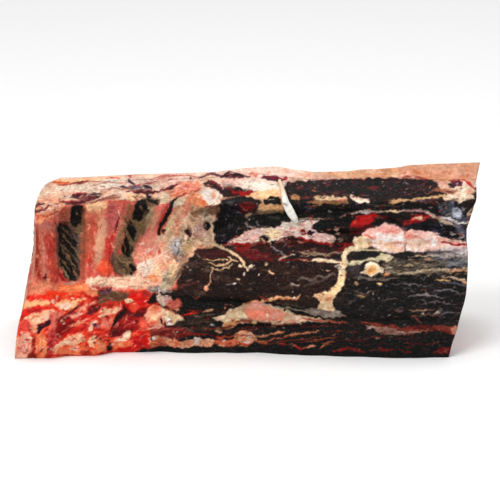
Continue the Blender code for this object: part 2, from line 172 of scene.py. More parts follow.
RELIEF = (
    (-0.1835, 0.115, 0.013, 0.043, 0.13, 0.0065),
    (-0.1190, 0.117, 0.012, 0.043, 0.36, 0.0070),
    (-0.020, 0.137, 0.020, 0.021, 0.10, 0.0110),
    (0.030, 0.140, 0.030, 0.009, 0.00, 0.0050),
    (0.088, 0.146, 0.050, 0.006, 0.10, 0.0035),
    (0.098, 0.134, 0.045, 0.006, 0.10, -0.0040),
    (0.193, 0.140, 0.040, 0.007, -0.30, -0.0030),
    (-0.041, 0.160, 0.012, 0.011, 0.00, -0.0050),
    (-0.062, 0.125, 0.022, 0.030, 0.60, -0.0035),
)

outer_side = through(
    (0.0, 0.061), (0.1, 0.068), (0.27, 0.071), (0.5, 0.064), (0.7, 0.052), (0.86, 0.036), (0.96, 0.019),
    (1.0, TOP_BACK_Y),
)
share_of_height = through((0.0, 0.0), (0.2, 0.2), (0.6, 0.66), (0.8, 0.875), (0.93, 0.975), (1.0, 1.0))
fat_depth = through((0.0, 0.009), (0.3, 0.013), (0.6, 0.013), (0.85, 0.011), (1.0, 0.012))
fat_depth_at_top = through((-0.24, 0.009), (0.0, 0.011), (0.10, 0.015), (0.18, 0.026), (0.24, 0.030))
inward_drop = through((0.0, 0.0), (0.4, 0.10), (0.7, 0.55), (0.9, 0.95), (1.0, 0.40))

RIB_END_SECTION = np.array([
    (-0.071, 0.0), (-0.077, 0.011), (-0.078, 0.029), (-0.073, 0.049), (-0.060, 0.062), (-0.048, 0.067),
    (-0.042, 0.069), (-0.036, 0.067), (-0.031, 0.064), (-0.022, 0.055), (-0.016, 0.041), (-0.013, 0.023),
    (-0.004, 0.014), (0.020, 0.011), (0.042, 0.009), (0.046, 0.004), (0.044, 0.0),
])
LOIN_SECTION = np.array([
    (-0.042, 0.0), (-0.047, 0.010), (-0.048, 0.022), (-0.044, 0.033), (-0.035, 0.039), (-0.027, 0.043),
    (-0.022, 0.104), (-0.018, 0.106), (-0.014, 0.104), (-0.010, 0.043), (-0.006, 0.033), (-0.004, 0.022),
    (0.006, 0.014), (0.024, 0.010), (0.044, 0.008), (0.048, 0.004), (0.046, 0.0),
])
FRONT_POINTS = (0, 1, 2, 3)
BODY_POINTS = (1, 2, 3, 4, 9, 10, 11)
BODY_MIDDLE = (-0.040, 0.025)  # y and z that a vertebra swells out from
FRONT_COUNT = 7  # points up the front of a section, to the tip of its bone
FINGER_BONE_FROM = 0.06
FOOT_OF_BONE = -0.074
VERTEBRA_LENGTH = 0.050
VERTEBRA_SWELL = 0.0018
SECTION_CHANGE = (-0.115, -0.045)
FINGER_BONE_RISE = (-0.060, 0.020)

RIBS = {
    "rib_1": (((-0.2093, 0.066), (-0.2062, 0.088), (-0.2078, 0.113), (-0.2083, 0.157)), 0.0205),
    "rib_2": (((-0.1600, 0.068), (-0.1570, 0.088), (-0.1560, 0.113), (-0.1550, 0.157)), 0.0260),
    "rib_3": (((-0.1180, 0.072), (-0.1109, 0.092), (-0.1030, 0.113), (-0.0850, 0.158)), 0.0195),
}
RIB_DEPTH = 0.013
RIB_BACK = 0.9  # how much of a rib's width its hidden back takes up
RIB_BACK_DEPTH = 0.7  # how far behind the front it lies, as a share of the rib's depth
RIB_STANDS_PROUD = 0.0038
RIB_ROOT = 0.72  # how wide a rib is at its lower end, as a share

TENDERLOIN_TIP = -0.085
tenderloin_height = through(
    (-0.085, 0.066), (-0.068, 0.077), (-0.055, 0.083), (0.0, 0.085), (0.072, 0.079), (0.125, 0.075),
    (0.225, 0.074),
)
tenderloin_half_height = through(
    (-0.085, 0.003), (-0.077, 0.013), (-0.068, 0.021), (-0.055, 0.027), (0.0, 0.031), (0.072, 0.038),
    (0.225, 0.041),
)
tenderloin_inner = through(
    (-0.085, -0.053), (-0.055, -0.058), (0.0, -0.062), (0.055, -0.067), (0.16, -0.076), (0.23, -0.076),
)
tenderloin_half_depth = through(
    (-0.085, 0.002), (-0.055, 0.009), (0.0, 0.013), (0.055, 0.017), (0.16, 0.022), (0.23, 0.022),
)
TENDERLOIN_END = 0.228
TIP_SMOOTHING = 8  # its lumps have their full height from an eighth of its length on
TENDERLOIN_SQUARENESS = 2.4
TENDERLOIN_BACK = 0.92  # how much of its height its hidden back takes up
BACK_ROWS = {"tenderloin": 16, "rib": 8, "pad": 6}  # rows of points on the hidden backs

UPPER_PAD = (
    (0.105, 0.117, 0.002, 0.0040), (0.111, 0.120, 0.004, 0.0085), (0.125, 0.126, 0.004, 0.0115),
    (0.140, 0.129, 0.005, 0.0150), (0.153, 0.127, 0.004, 0.0125), (0.167, 0.125, 0.004, 0.0125),
    (0.187, 0.122, 0.003, 0.0100), (0.206, 0.119, 0.002, 0.0070), (0.219, 0.118, 0.001, 0.0040),
)
LOWER_PAD = (
    (-0.038, 0.032, 0.001, 0.0025), (-0.024, 0.034, 0.002, 0.0055), (-0.010, 0.038, 0.003, 0.0085),
    (0.003, 0.041, 0.004, 0.0105), (0.020, 0.042, 0.005, 0.0115), (0.038, 0.040, 0.004, 0.0095),
    (0.054, 0.036, 0.003, 0.0065), (0.070, 0.033, 0.001, 0.0030),
)
PADS = {"kidney_fat_upper": UPPER_PAD, "kidney_fat_lower": LOWER_PAD}
PAD_OUT = 0.004
PAD_BACK = 0.8  # how much of its height its hidden back takes up
PAD_BACK_DEPTH = 0.004  # how far behind the front it lies
PAD_FLATNESS = 0.62

SINEW = (
    (0.0310, -0.016, 0.1745), (0.0345, -0.034, 0.1675), (0.0380, -0.0505, 0.1590), (0.0425, -0.0515, 0.1500),
    (0.0480, -0.0485, 0.1400),
)
SINEW_RADIUS = 0.0036
SINEW_STRANDS = 0.0005
SINEW_START = 0.35  # how thick it is where it comes out of the fat, as a share
SINEW_SWELLS = (0.05, 0.38)  # the part of its length in which it gets to its full thickness
SINEW_TWIST = 9.0  # in radians over its length, twice as much as its two strands turn
SINEW_TIP = 0.9  # where its tip begins, as a share of its length
SINEW_TIP_TAPER = 0.25  # how much thinner it gets there
STRANDS_SHOWN = 1.3  # how much more its strands stand out than on the solid


def inner_y(x, z):
    """y of the bare inner side, without the bones and the tenderloin."""
    columns = np.array([place for place, _ in INNER_SIDE])
    profiles = np.stack([profile(z) for _, profile in INNER_SIDE])
    i = np.clip(np.searchsorted(columns, x, side="right") - 1, 0, len(columns) - 2)
    share = smooth(columns[i], columns[i + 1], x)
    low = np.take_along_axis(profiles, i[None], axis=0)[0]
    high = np.take_along_axis(profiles, i[None] + 1, axis=0)[0]
    y = mix(low, high, share)
    foot = foot_line(x) - FOOT_SWELL * np.sin(math.pi * np.minimum(z / FOOT_HEIGHT, 1.0))
    foot = foot + FOOT_BEHIND_BONE * smooth(*BARE_BONE, x)
    y = mix(y, foot, smooth(*FOOT_BLEND, z))
    for centre, height, half_width, half_height, tilt, depth in RELIEF:
        across = (x - centre - tilt * (z - height)) / half_width
        along = (z - height) / half_height
        y = y + depth * np.exp(-(across**2) - along**4)
    return y + unevenness(x, 0.0, z, *INNER_LUMPS)


def end_to_end(s, z, corner=0.0):
    start = rib_end_cut(z) + corner * CORNER_CUT * smooth(*CORNER_HEIGHTS, z)
    return mix(start, hip_end_cut(z), s)


def on_outer_side(s, t):
    top = top_back_height(mix(*BACK_EDGE_ENDS, s))
    z = share_of_height(t) * top
    x = end_to_end(s, z, corner=1.0)
    lumps = unevenness(x, 0.1, z, *OUTER_LUMPS) * smooth(0.0, 0.1, t) * smooth(1.0, 0.9, t)
    return np.stack([x, outer_side(share_of_height(t)) + lumps, z], axis=-1)


def on_seam(s, t):
    """Where the fat meets the lean."""
    outer = on_outer_side(s, t)
    depth = mix(fat_depth(t), fat_depth_at_top(outer[..., 0]), smooth(0.75, 1.0, t))
    drop = inward_drop(t)
    length = np.hypot(1.0, drop)
    y = outer[..., 1] - depth / length
    z = np.maximum(outer[..., 2] - depth * drop / length, 0.0)
    return np.stack([end_to_end(s, z, corner=0.5), y, z], axis=-1)


def vertebra_sections(x):
    """The sections of the row of vertebrae at several x, as y and z of every point."""
    change = smooth(*SECTION_CHANGE, x)[:, None]
    rise = smooth(*FINGER_BONE_RISE, x)[:, None]
    tall = (LOIN_SECTION[:, 1] >= FINGER_BONE_FROM)[None]
    y = mix(RIB_END_SECTION[None, :, 0], LOIN_SECTION[None, :, 0], change)
    z = mix(RIB_END_SECTION[None, :, 1], LOIN_SECTION[None, :, 1], np.where(tall, change * rise, change))
    y[:, FRONT_POINTS] += (foot_line(x)[:, None] - FOOT_OF_BONE) * (1 - change)
    swell = VERTEBRA_SWELL * np.cos(2 * math.pi * x / VERTEBRA_LENGTH)[:, None]
    body = list(BODY_POINTS)
    out_y, out_z = y[:, body] - BODY_MIDDLE[0], z[:, body] - BODY_MIDDLE[1]
    reach = np.hypot(out_y, out_z)
    y[:, body] += out_y / reach * swell
    z[:, body] += out_z / reach * swell
    return y, z


# The inner side as one field of heights, in which the pieces run into each other without a step.

FIELD_STEP = 0.001
FIELD_X = np.arange(-0.246, 0.2465, FIELD_STEP)
FIELD_Z = np.arange(-0.003, 0.1935, FIELD_STEP)
FAR_BACK = 0.06
STEEP = 3.0  # how fast a form falls back past its end
RIB_SIDE_SLOPE = 1.5  # the same past a rib's sides
TENDERLOIN_SIDE_SLOPE = 1.2  # and past those of the tenderloin
MELT = {"backbone": 0.005, "tenderloin": 0.003, "rib": 0.0035, "kidney_fat": 0.0015}
TUCK = 0.002  # how far a piece goes in behind its neighbour where the neighbour shows
LAP = 0.0001  # how far the smaller piece lies over the lean at their border
RIB_COVER = (0.0055, 0.0030)  # the flesh over a rib's sawn end


def table_along(points, count=200):
    """A fine table of a smooth line through the points, one row for each axis."""
    steps = np.linspace(0.0, 1.0, len(points))
    shares = np.linspace(0.0, 1.0, count)
    return shares, [through(*zip(steps, values))(shares) for values in zip(*points)]


def backbone_front(x, z):
    heights = np.full(x.shape, FAR_BACK)
    y_points, z_points = vertebra_sections(x[0])
    for column in range(x.shape[1]):
        front_z = z_points[column, :FRONT_COUNT]
        y = np.interp(z[:, column], front_z, y_points[column, :FRONT_COUNT])
        past = np.maximum(z[:, column] - front_z[-1], 0.0)
        heights[:, column] = y + STEEP * past
    return heights


def rib_shape(name):
    """Tables of a rib by height: the middle line's x, its slope, and the share of full width there."""
    line, width = RIBS[name]
    shares, (x, z) = table_along(line)
    slope = np.gradient(x, z)
    taper = RIB_ROOT + (1 - RIB_ROOT) * smooth(0.0, 0.25, shares)
    return z, x, slope, taper, width


def rib_front(name, x, z):
    line_z, line_x, slope, taper, width = rib_shape(name)
    level = z[:, 0]
    middle_x = np.interp(level, line_z, line_x)
    share = np.interp(level, line_z, taper)
    lean_y = inner_y(middle_x, level)
    middle_y = (lean_y - RIB_STANDS_PROUD + RIB_DEPTH / 2)[:, None]
    half_width = (width / 2 * share * np.hypot(1.0, np.interp(level, line_z, slope)))[:, None]
    across = np.abs(x - middle_x[:, None]) / half_width
    bulge = RIB_DEPTH / 2 * share[:, None] * (1 - np.minimum(across, 1.0) ** 3) ** (1 / 3)
    y = middle_y - bulge + RIB_SIDE_SLOPE * half_width * np.maximum(across - 1.0, 0.0)
    shadow_below = np.maximum(line_z[0] - level, 0.0)[:, None]
    return y + STEEP * shadow_below


def tenderloin_flat(x, z):
    """The place along the tenderloin that its sizes are read at."""
    share = (x - TENDERLOIN_TIP) / (hip_end_cut(z) - TENDERLOIN_TIP)
    return share, mix(TENDERLOIN_TIP, TENDERLOIN_END, share)


def tenderloin_front(x, z):
    share, flat = tenderloin_flat(x, z)
    half_height = tenderloin_half_height(flat)
    offset = np.abs(z - tenderloin_height(flat)) / half_height
    round_off = 1 - (1 - np.minimum(offset, 1.0) ** TENDERLOIN_SQUARENESS) ** (1 / TENDERLOIN_SQUARENESS)
    y = tenderloin_inner(flat) + tenderloin_half_depth(flat) * round_off
    y = y + TENDERLOIN_SIDE_SLOPE * half_height * np.maximum(offset - 1.0, 0.0)
    y = y + unevenness(x, 0.5, z, *TENDERLOIN_LUMPS) * np.clip(share * TIP_SMOOTHING, 0.0, 1.0)
    return np.where(x < TENDERLOIN_TIP, FAR_BACK, y)


def pad_shape(name):
    shares, (x, z, proud, radius) = table_along(PADS[name])
    return x, z, proud, radius


def pad_front(name, x, z, behind):
    line_x, line_z, proud, radius = pad_shape(name)
    place = x[0]
    middle_z = np.interp(place, line_x, line_z)
    column = np.arange(len(place))
    row = np.clip(np.round((middle_z - FIELD_Z[0]) / FIELD_STEP).astype(int), 0, len(FIELD_Z) - 1)
    base = behind[row, column] - np.interp(place, line_x, proud) + PAD_OUT
    size = np.interp(place, line_x, radius)
    offset = np.abs(z - middle_z) / size
    y = base - size * PAD_FLATNESS * np.sqrt(1 - np.minimum(offset, 1.0) ** 2)
    y = y + size * np.maximum(offset - 1.0, 0.0)
    past = np.maximum(line_x[0] - place, 0.0) + np.maximum(place - line_x[-1], 0.0)
    return y + STEEP * past


def inner_field():
    """y of the whole inner side, and each piece's share of it, on the field's grid."""
    x, z = np.meshgrid(FIELD_X, FIELD_Z)
    y = inner_y(x, z)
    shares = {"lean": np.ones(x.shape)}

    def melt_in(name, front, radius):
        nonlocal y
        weight = np.clip(0.5 + 0.5 * (y - front) / radius, 0.0, 1.0)
        y = mix(y, front, weight) - radius * weight * (1 - weight)
        for other in shares:
            shares[other] = shares[other] * (1 - weight)
        shares[name] = weight

    melt_in("backbone", backbone_front(x, z), MELT["backbone"])
    melt_in("tenderloin", tenderloin_front(x, z), MELT["tenderloin"])
    for name in RIBS:
        melt_in(name, rib_front(name, x, z), MELT["rib"])
        cover = smooth(*RIB_COVER, top_front_height(x) - z)
        shares["lean"] = shares["lean"] + shares[name] * cover
        shares[name] = shares[name] * (1 - cover)
    behind = y.copy()
    for name in PADS:
        melt_in(name, pad_front(name, x, z, behind), MELT["kidney_fat"])
    return y, shares


def widened(share):
    """Each place takes the greatest share within two steps of it, so that neighbours overlap."""
    for axis in (0, 1, 0, 1):
        share = np.maximum(share, np.maximum(np.roll(share, 1, axis), np.roll(share, -1, axis)))
    return share


field_y, field_shares = inner_field()
field_shares = {name: widened(share) for name, share in field_shares.items()}


def from_grid(grid, column, row):
    """The grid's value between its points."""
    column = np.clip(column, 0, grid.shape[1] - 1.001)
    row = np.clip(row, 0, grid.shape[0] - 1.001)
    i, j = column.astype(int), row.astype(int)
    a, b = column - i, row - j
    if grid.ndim == 3:
        a, b = a[..., None], b[..., None]
    return mix(mix(grid[j, i], grid[j, i + 1], a), mix(grid[j + 1, i], grid[j + 1, i + 1], a), b)


def skin(name, x, z):
    """The points of a piece's skin on the inner side, which dive in where a neighbour covers it."""
    column, row = (x - FIELD_X[0]) / FIELD_STEP, (z - FIELD_Z[0]) / FIELD_STEP
    share = from_grid(field_shares[name], column, row)
    y = from_grid(field_y, column, row) + TUCK * smooth(0.5, 0.2, share)
    if name != "lean":
        y = y - LAP * (2 if name in PADS else 1)
    return np.stack([x, y, z], axis=-1)


# Paint. Colours are as the eye sees them, from 0 to 255, and lengths are in the canvas's own units.


PLAIN_GLOSS = 0.4  # where nothing else is laid on
FAR_AWAY = 1e9


class Canvas:
    """A flat sheet with a colour, a height in millimetres and a gloss at every point."""

    def __init__(self, left, top, width, height, step, seed):
        self.left, self.top, self.step = left, top, step
        across = np.arange(left, left + width + step / 2, step)
        down = np.arange(top, top + height + step / 2, step)
        self.x, self.y = np.meshgrid(across, down)
        self.random = np.random.default_rng(seed)
        self.colour = np.zeros(self.x.shape + (3,))
        self.lift = np.zeros(self.x.shape)
        self.gloss = np.full(self.x.shape, PLAIN_GLOSS)
        self.wobble = [self.noise(size, size) for size in (3.0, 3.0, 11.0, 11.0)]
        self.fray = 0.6 * self.noise(2.2, 2.2) + 0.4 * self.noise(6.0, 6.0)

    def noise(self, across, down, angle=0.0):
        """Soft noise from -1 to 1, with lumps of that size, turned by angle in degrees."""
        turn = math.radians(angle)
        u = (self.x * math.cos(turn) + self.y * math.sin(turn)) / across
        v = (-self.x * math.sin(turn) + self.y * math.cos(turn)) / down
        u, v = u - u.min(), v - v.min()
        i, j = u.astype(int), v.astype(int)
        grid = self.random.uniform(-1.0, 1.0, (j.max() + 2, i.max() + 2))
        a, b = u - i, v - j
        a, b = a * a * (3 - 2 * a), b * b * (3 - 2 * b)
        return mix(mix(grid[j, i], grid[j, i + 1], a), mix(grid[j + 1, i], grid[j + 1, i + 1], a), b)

    def near(self, points, margin):
        """The part of the canvas round the points."""
        low, high = np.min(points, axis=0) - margin, np.max(points, axis=0) + margin
        i0 = max(int((low[0] - self.left) / self.step), 0)
        i1 = max(int((high[0] - self.left) / self.step) + 2, 0)
        j0 = max(int((low[1] - self.top) / self.step), 0)
        j1 = max(int((high[1] - self.top) / self.step) + 2, 0)
        return slice(j0, j1), slice(i0, i1)

    def lay(self, part, cover, colour, lift, gloss):
        """Lays a colour over a part of the canvas, as thickly as cover says, and raises the part by lift."""
        if callable(colour):
            colour = colour(self, part)
        else:
            colour = np.array(colour, float) / 255
        self.colour[part] = mix(self.colour[part], colour, cover[..., None])
        self.lift[part] += cover * lift
        if gloss is not None:
            self.gloss[part] = mix(self.gloss[part], gloss, cover)

    def coat(self, colour, gloss=None):
        """One colour all over."""
        everything = (slice(None), slice(None))
        self.lay(everything, np.ones(self.x.shape), colour, 0.0, gloss)

    def bent(self, part, ragged):
        """The part's points, shaken a little, so that edges come out ragged."""
        fine_x, fine_y, wide_x, wide_y = (field[part] for field in self.wobble)
        x = self.x[part] + ragged * (0.6 * fine_x + 0.7 * wide_x)
        y = self.y[part] + ragged * (0.6 * fine_y + 0.7 * wide_y)
        return x, y

    def patch(self, points, colour, soft=1.0, ragged=1.5, cover=1.0, lift=0.0, gloss=None, fray=0.0):
        """A closed outline filled with a colour."""
        part = self.near(points, soft + 2 * ragged + 1)
        x, y = self.bent(part, ragged)
        distance = np.full(x.shape, FAR_AWAY)
        inside = np.zeros(x.shape, bool)
        for (x0, y0), (x1, y1) in zip(points, points[1:] + points[:1]):
            distance = np.minimum(distance, to_segment(x, y, x0, y0, x1, y1)[0])
            crosses = (y0 > y) != (y1 > y)
            inside ^= crosses & (x < (x1 - x0) * (y - y0) / (y1 - y0 + 1e-9) + x0)
        distance = np.where(inside, -distance, distance) + fray * self.fray[part]
        self.lay(part, cover * smooth(soft, -soft, distance), colour, lift, gloss)

    def line(self, points, width, colour, soft=0.6, ragged=0.8, cover=1.0, lift=0.0, gloss=None, taper=0.5):
        """A line of that width, thinner towards its ends by the share taper."""
        part = self.near(points, width + soft + 2 * ragged + 1)
        x, y = self.bent(part, ragged)
        lengths = [math.dist(a, b) for a, b in zip(points, points[1:])]
        total, gone = sum(lengths), 0.0
        distance, share = np.full(x.shape, FAR_AWAY), np.zeros(x.shape)
        for (a, b), length in zip(zip(points, points[1:]), lengths):
            far, along = to_segment(x, y, *a, *b)
            nearer = far < distance
            distance = np.where(nearer, far, distance)
            share = np.where(nearer, (gone + along * length) / total, share)
            gone += length
        half = width / 2 * (1 - taper * (2 * share - 1) ** 2)
        self.lay(part, cover * smooth(soft, -soft, distance - half), colour, lift, gloss)

    def spot(self, x0, y0, across, down, colour, angle=0.0, soft=0.8, ragged=1.0, cover=1.0, lift=0.0,
             gloss=None):
        """A rounded lump or stain, across by down in size."""
        part = self.near([(x0, y0)], max(across, down) / 2 + soft + 2 * ragged + 1)
        x, y = self.bent(part, ragged)
        turn = math.radians(angle)
        u = ((x - x0) * math.cos(turn) + (y - y0) * math.sin(turn)) / (across / 2)
        v = (-(x - x0) * math.sin(turn) + (y - y0) * math.cos(turn)) / (down / 2)
        distance = (np.hypot(u, v) - 1) * min(across, down) / 2
        mask = cover * smooth(soft, -soft, distance)
        dome = np.sqrt(np.maximum(1 - u * u - v * v, 0.0))
        self.lay(part, mask, colour, 0.0, gloss)
        self.lift[part] += lift * mask * dome

    def scatter(self, points, count, length, width, colours, angle=0.0, spread=12.0, cover=0.8, lift=0.0):
        """Short streaks inside an outline, all lying much the same way."""
        low, high = np.min(points, axis=0), np.max(points, axis=0)
        for _ in range(count):
            x, y = self.random.uniform(low, high)
            size, thick = self.random.uniform(*length), self.random.uniform(*width)
            turn = math.radians(angle + self.random.normal(0.0, spread))
            bow = self.random.normal(0.0, 0.12) * size
            colour = colours[self.random.integers(len(colours))]
            strength = cover * self.random.uniform(0.5, 1.0)
            if holds(points, x, y):
                dx, dy = math.cos(turn) * size / 2, math.sin(turn) * size / 2
                middle = (x - bow * math.sin(turn), y + bow * math.cos(turn))
                streak = [(x - dx, y - dy), middle, (x + dx, y + dy)]
                self.line(streak, thick, colour, soft=0.5, ragged=0.5, cover=strength, lift=lift, taper=0.9)

    def roughen(self, shift, speckle):
        """Shakes the finished picture a little and speckles it, as dried meat is."""
        rows, columns = np.indices(self.x.shape)
        sideways = shift / self.step * (0.6 * self.noise(1.8, 1.5) + 0.8 * self.noise(4.5, 3.5))
        upright = shift / self.step * (0.6 * self.noise(1.8, 1.5) + 0.8 * self.noise(4.5, 3.5))
        i = np.clip(np.rint(columns + sideways), 0, self.x.shape[1] - 1).astype(int)
        j = np.clip(np.rint(rows + upright), 0, self.x.shape[0] - 1).astype(int)
        self.colour, self.gloss = self.colour[j, i], self.gloss[j, i]
        grain = 0.55 * self.noise(1.3, 1.1) + 0.45 * self.noise(2.6, 2.0) + 0.4 * self.noise(8.0, 6.0)
        self.colour *= 1 + speckle * grain[..., None]
        self.colour += 0.02 * grain[..., None] + 0.06 * np.maximum(grain - 0.55, 0.0)[..., None]
        self.lift += 0.25 * grain

    def at(self, x, y):
        """Colour, height and gloss at these places."""
        column, row = (x - self.left) / self.step, (y - self.top) / self.step
        return (from_grid(grid, column, row) for grid in (self.colour, self.lift, self.gloss))


def to_segment(x, y, x0, y0, x1, y1):
    """How far points are from a straight line between two points, and how far along it."""
    length = (x1 - x0) ** 2 + (y1 - y0) ** 2 + 1e-12
    along = np.clip(((x - x0) * (x1 - x0) + (y - y0) * (y1 - y0)) / length, 0.0, 1.0)
    return np.hypot(x - x0 - along * (x1 - x0), y - y0 - along * (y1 - y0)), along


def holds(points, x, y):
    """Whether the outline has the place inside it."""
    inside = False
    for (x0, y0), (x1, y1) in zip(points, points[1:] + points[:1]):
        if (y0 > y) != (y1 > y) and x < (x1 - x0) * (y - y0) / (y1 - y0) + x0:
            inside = not inside
    return inside


def tissue(dark, middle, light, grain=(7.0, 3.0), angle=0.0, bias=0.0, contrast=1.0):
    """A colour that wanders between three shades in streaks or lumps of that grain."""
    shades = [np.array(shade, float) / 255 for shade in (dark, middle, light)]
    fields = {}

    def colour(canvas, part):
        if id(canvas) not in fields:
            field = 0.55 * canvas.noise(*grain, angle)
            field = field + 0.45 * canvas.noise(grain[0] * 0.4, grain[1] * 0.4, angle)
            field = field + 0.35 * canvas.noise(grain[0] * 2.5, grain[1] * 2.5, angle)
            fields[id(canvas)] = np.clip(contrast * field + bias, -1.0, 1.0)
        level = fields[id(canvas)][part][..., None]
        darker, lighter = np.maximum(-level, 0.0), np.maximum(level, 0.0)
        return mix(mix(shades[1], shades[0], darker), shades[2], lighter)

    return colour


# The shades of the loin.

BASE_COLOUR = (96, 58, 48)
WHITE = (246, 238, 228)
GREY = (140, 130, 118)

crust = tissue((18, 14, 15), (38, 29, 28), (66, 52, 47), grain=(16.0, 4.0), angle=6)
cream_fat = tissue((200, 150, 110), (232, 206, 172), (246, 230, 206), grain=(9.0, 5.0))
peach_fat = tissue((222, 140, 108), (242, 204, 178), (248, 228, 208), grain=(10.0, 3.0), angle=-6)
rib_flesh = tissue((184, 54, 46), (208, 94, 78), (222, 140, 118), grain=(3.5, 14.0), angle=-2)
between_ribs = tissue((14, 9, 10), (38, 28, 26), (86, 68, 54), grain=(3.0, 7.0), angle=38)


def paint_rib_wall(canvas):
    """The pink flesh that the ribs lie in."""
    wall = [
        (30, 214), (62, 206), (110, 198), (160, 202), (190, 206), (176, 290), (20, 300), (24, 285),
        (34, 262),
    ]
    canvas.patch(wall, rib_flesh, soft=2.0, lift=0.0, gloss=0.55)


def paint_first_rib(canvas):
    canvas.line([(36, 222), (37, 240), (38, 256), (35, 270), (30, 284)], 4, (152, 44, 30), soft=1.5,
                cover=0.9)
    canvas.line([(43, 236), (44, 252), (44, 266), (46, 284)], 5, (222, 136, 116), soft=2.0, cover=0.8)
    canvas.spot(50, 242, 8, 20, (184, 48, 42), soft=3.0, cover=0.8)
    canvas.spot(46, 227, 16, 10, (196, 118, 108), soft=3.0, cover=0.8)
    canvas.spot(52, 268, 7, 26, (208, 70, 58), soft=3.0, cover=0.7)
    canvas.line([(56, 228), (58, 240), (58, 252)], 1.6, (170, 136, 124), cover=0.8)
    canvas.patch([(46, 273), (47.5, 278), (44.5, 285), (42.5, 280)], (86, 8, 18), soft=0.7, ragged=0.3,
                 lift=-0.8)
    canvas.patch([(58.5, 272), (62, 275), (66, 282), (61, 280)], (150, 14, 26), soft=0.8, ragged=0.4,
                 lift=-0.8)
    canvas.spot(33, 276, 8, 16, (226, 120, 98), soft=3.0, cover=0.7)
    # the pale knuckle on top of it
    cap = [(34, 203), (46, 198), (60, 200), (66, 205), (60, 213), (48, 219), (41, 224), (36, 222)]
    canvas.patch(cap, (240, 170, 138), soft=1.0, lift=0.6)
    canvas.patch([(36, 213), (46, 214), (54, 213), (48, 218), (41, 223), (36, 222)], (246, 150, 108),
                 soft=1.5)
    canvas.line([(43, 216), (48, 216), (56, 213), (66, 209)], 1.3, (184, 64, 56), cover=0.8, lift=-0.3)
    canvas.line([(35, 207), (38, 205), (44, 205)], 3.0, (66, 32, 42), cover=0.9, lift=-0.4)
    canvas.line([(35, 211), (42, 210), (47, 208), (48, 205)], 2.4, (98, 46, 52), cover=0.9, lift=-0.4)
    canvas.line([(49, 206), (55, 204), (60, 203)], 2.0, (120, 84, 86), cover=0.8)
    canvas.line([(58, 204), (59, 207)], 1.6, (70, 62, 84), cover=0.8)
    canvas.spot(42, 207.5, 4, 3, (238, 230, 222), lift=0.5)
    canvas.spot(52, 209, 6, 3, (246, 196, 166), lift=0.4)
    canvas.line([(35.5, 214), (38, 216), (36, 220)], 1.4, (196, 40, 40), cover=0.8)
    canvas.patch([(58, 214), (70, 208), (70, 222), (64, 221)], (156, 88, 70), soft=1.2, cover=0.9)


def paint_second_rib(canvas):
    canvas.patch([(84, 208), (104, 208), (102, 252), (86, 256)], (196, 106, 82), soft=3.0, cover=0.85)
    canvas.spot(92, 228, 14, 18, (202, 78, 62), soft=4.0, cover=0.75)
    canvas.spot(91, 246, 12, 22, (216, 92, 72), soft=4.0, cover=0.7)
    stripe = [(103, 216), (108, 220), (107, 234), (104, 250), (101, 262), (96, 263), (95, 244), (99, 228)]
    canvas.patch(stripe, (220, 164, 134), soft=1.8, cover=0.9, lift=0.6)
    canvas.patch([(107, 204), (120, 202), (118, 219), (113, 234), (107, 240), (109, 224)], (188, 92, 88),
                 soft=1.6)
    canvas.line([(109, 232), (107, 246), (108, 258), (110, 264)], 3.0, (216, 62, 50), soft=1.2, cover=0.8)
    canvas.spot(86, 258, 9, 10, (220, 62, 48), soft=3.0, cover=0.8)
    canvas.spot(104, 267, 14, 15, (252, 88, 56), soft=3.5, cover=0.95)
    canvas.patch([(86, 202), (100, 199), (110, 203), (107, 208), (98, 211), (88, 210)], (242, 196, 152),
                 soft=1.4)
    canvas.line([(87, 212), (100, 212), (106, 211)], 3.0, (204, 136, 104), soft=1.5, cover=0.7)
    # the crease and the strip of flesh beside it
    canvas.patch([(120, 203), (130, 201), (126, 218), (122, 236), (114, 252), (111, 250), (117, 232)],
                 (198, 98, 84))
    canvas.line([(125, 203), (123, 213), (120, 222)], 3.0, (172, 58, 60), soft=1.0, cover=0.8)
    canvas.line([(119.5, 218), (116.5, 226), (114.5, 234)], 1.8, (66, 16, 30), lift=-0.8)
    canvas.line([(115, 232), (111.5, 241), (110, 250), (109.5, 260)], 1.5, (192, 32, 40), lift=-0.5)
    canvas.line([(118, 210), (119, 213), (120.5, 218)], 1.1, (246, 204, 172), lift=0.5, ragged=0.3)
    canvas.line([(112, 243), (114, 250), (118, 256)], 3.0, (210, 146, 122), soft=1.2, cover=0.8)


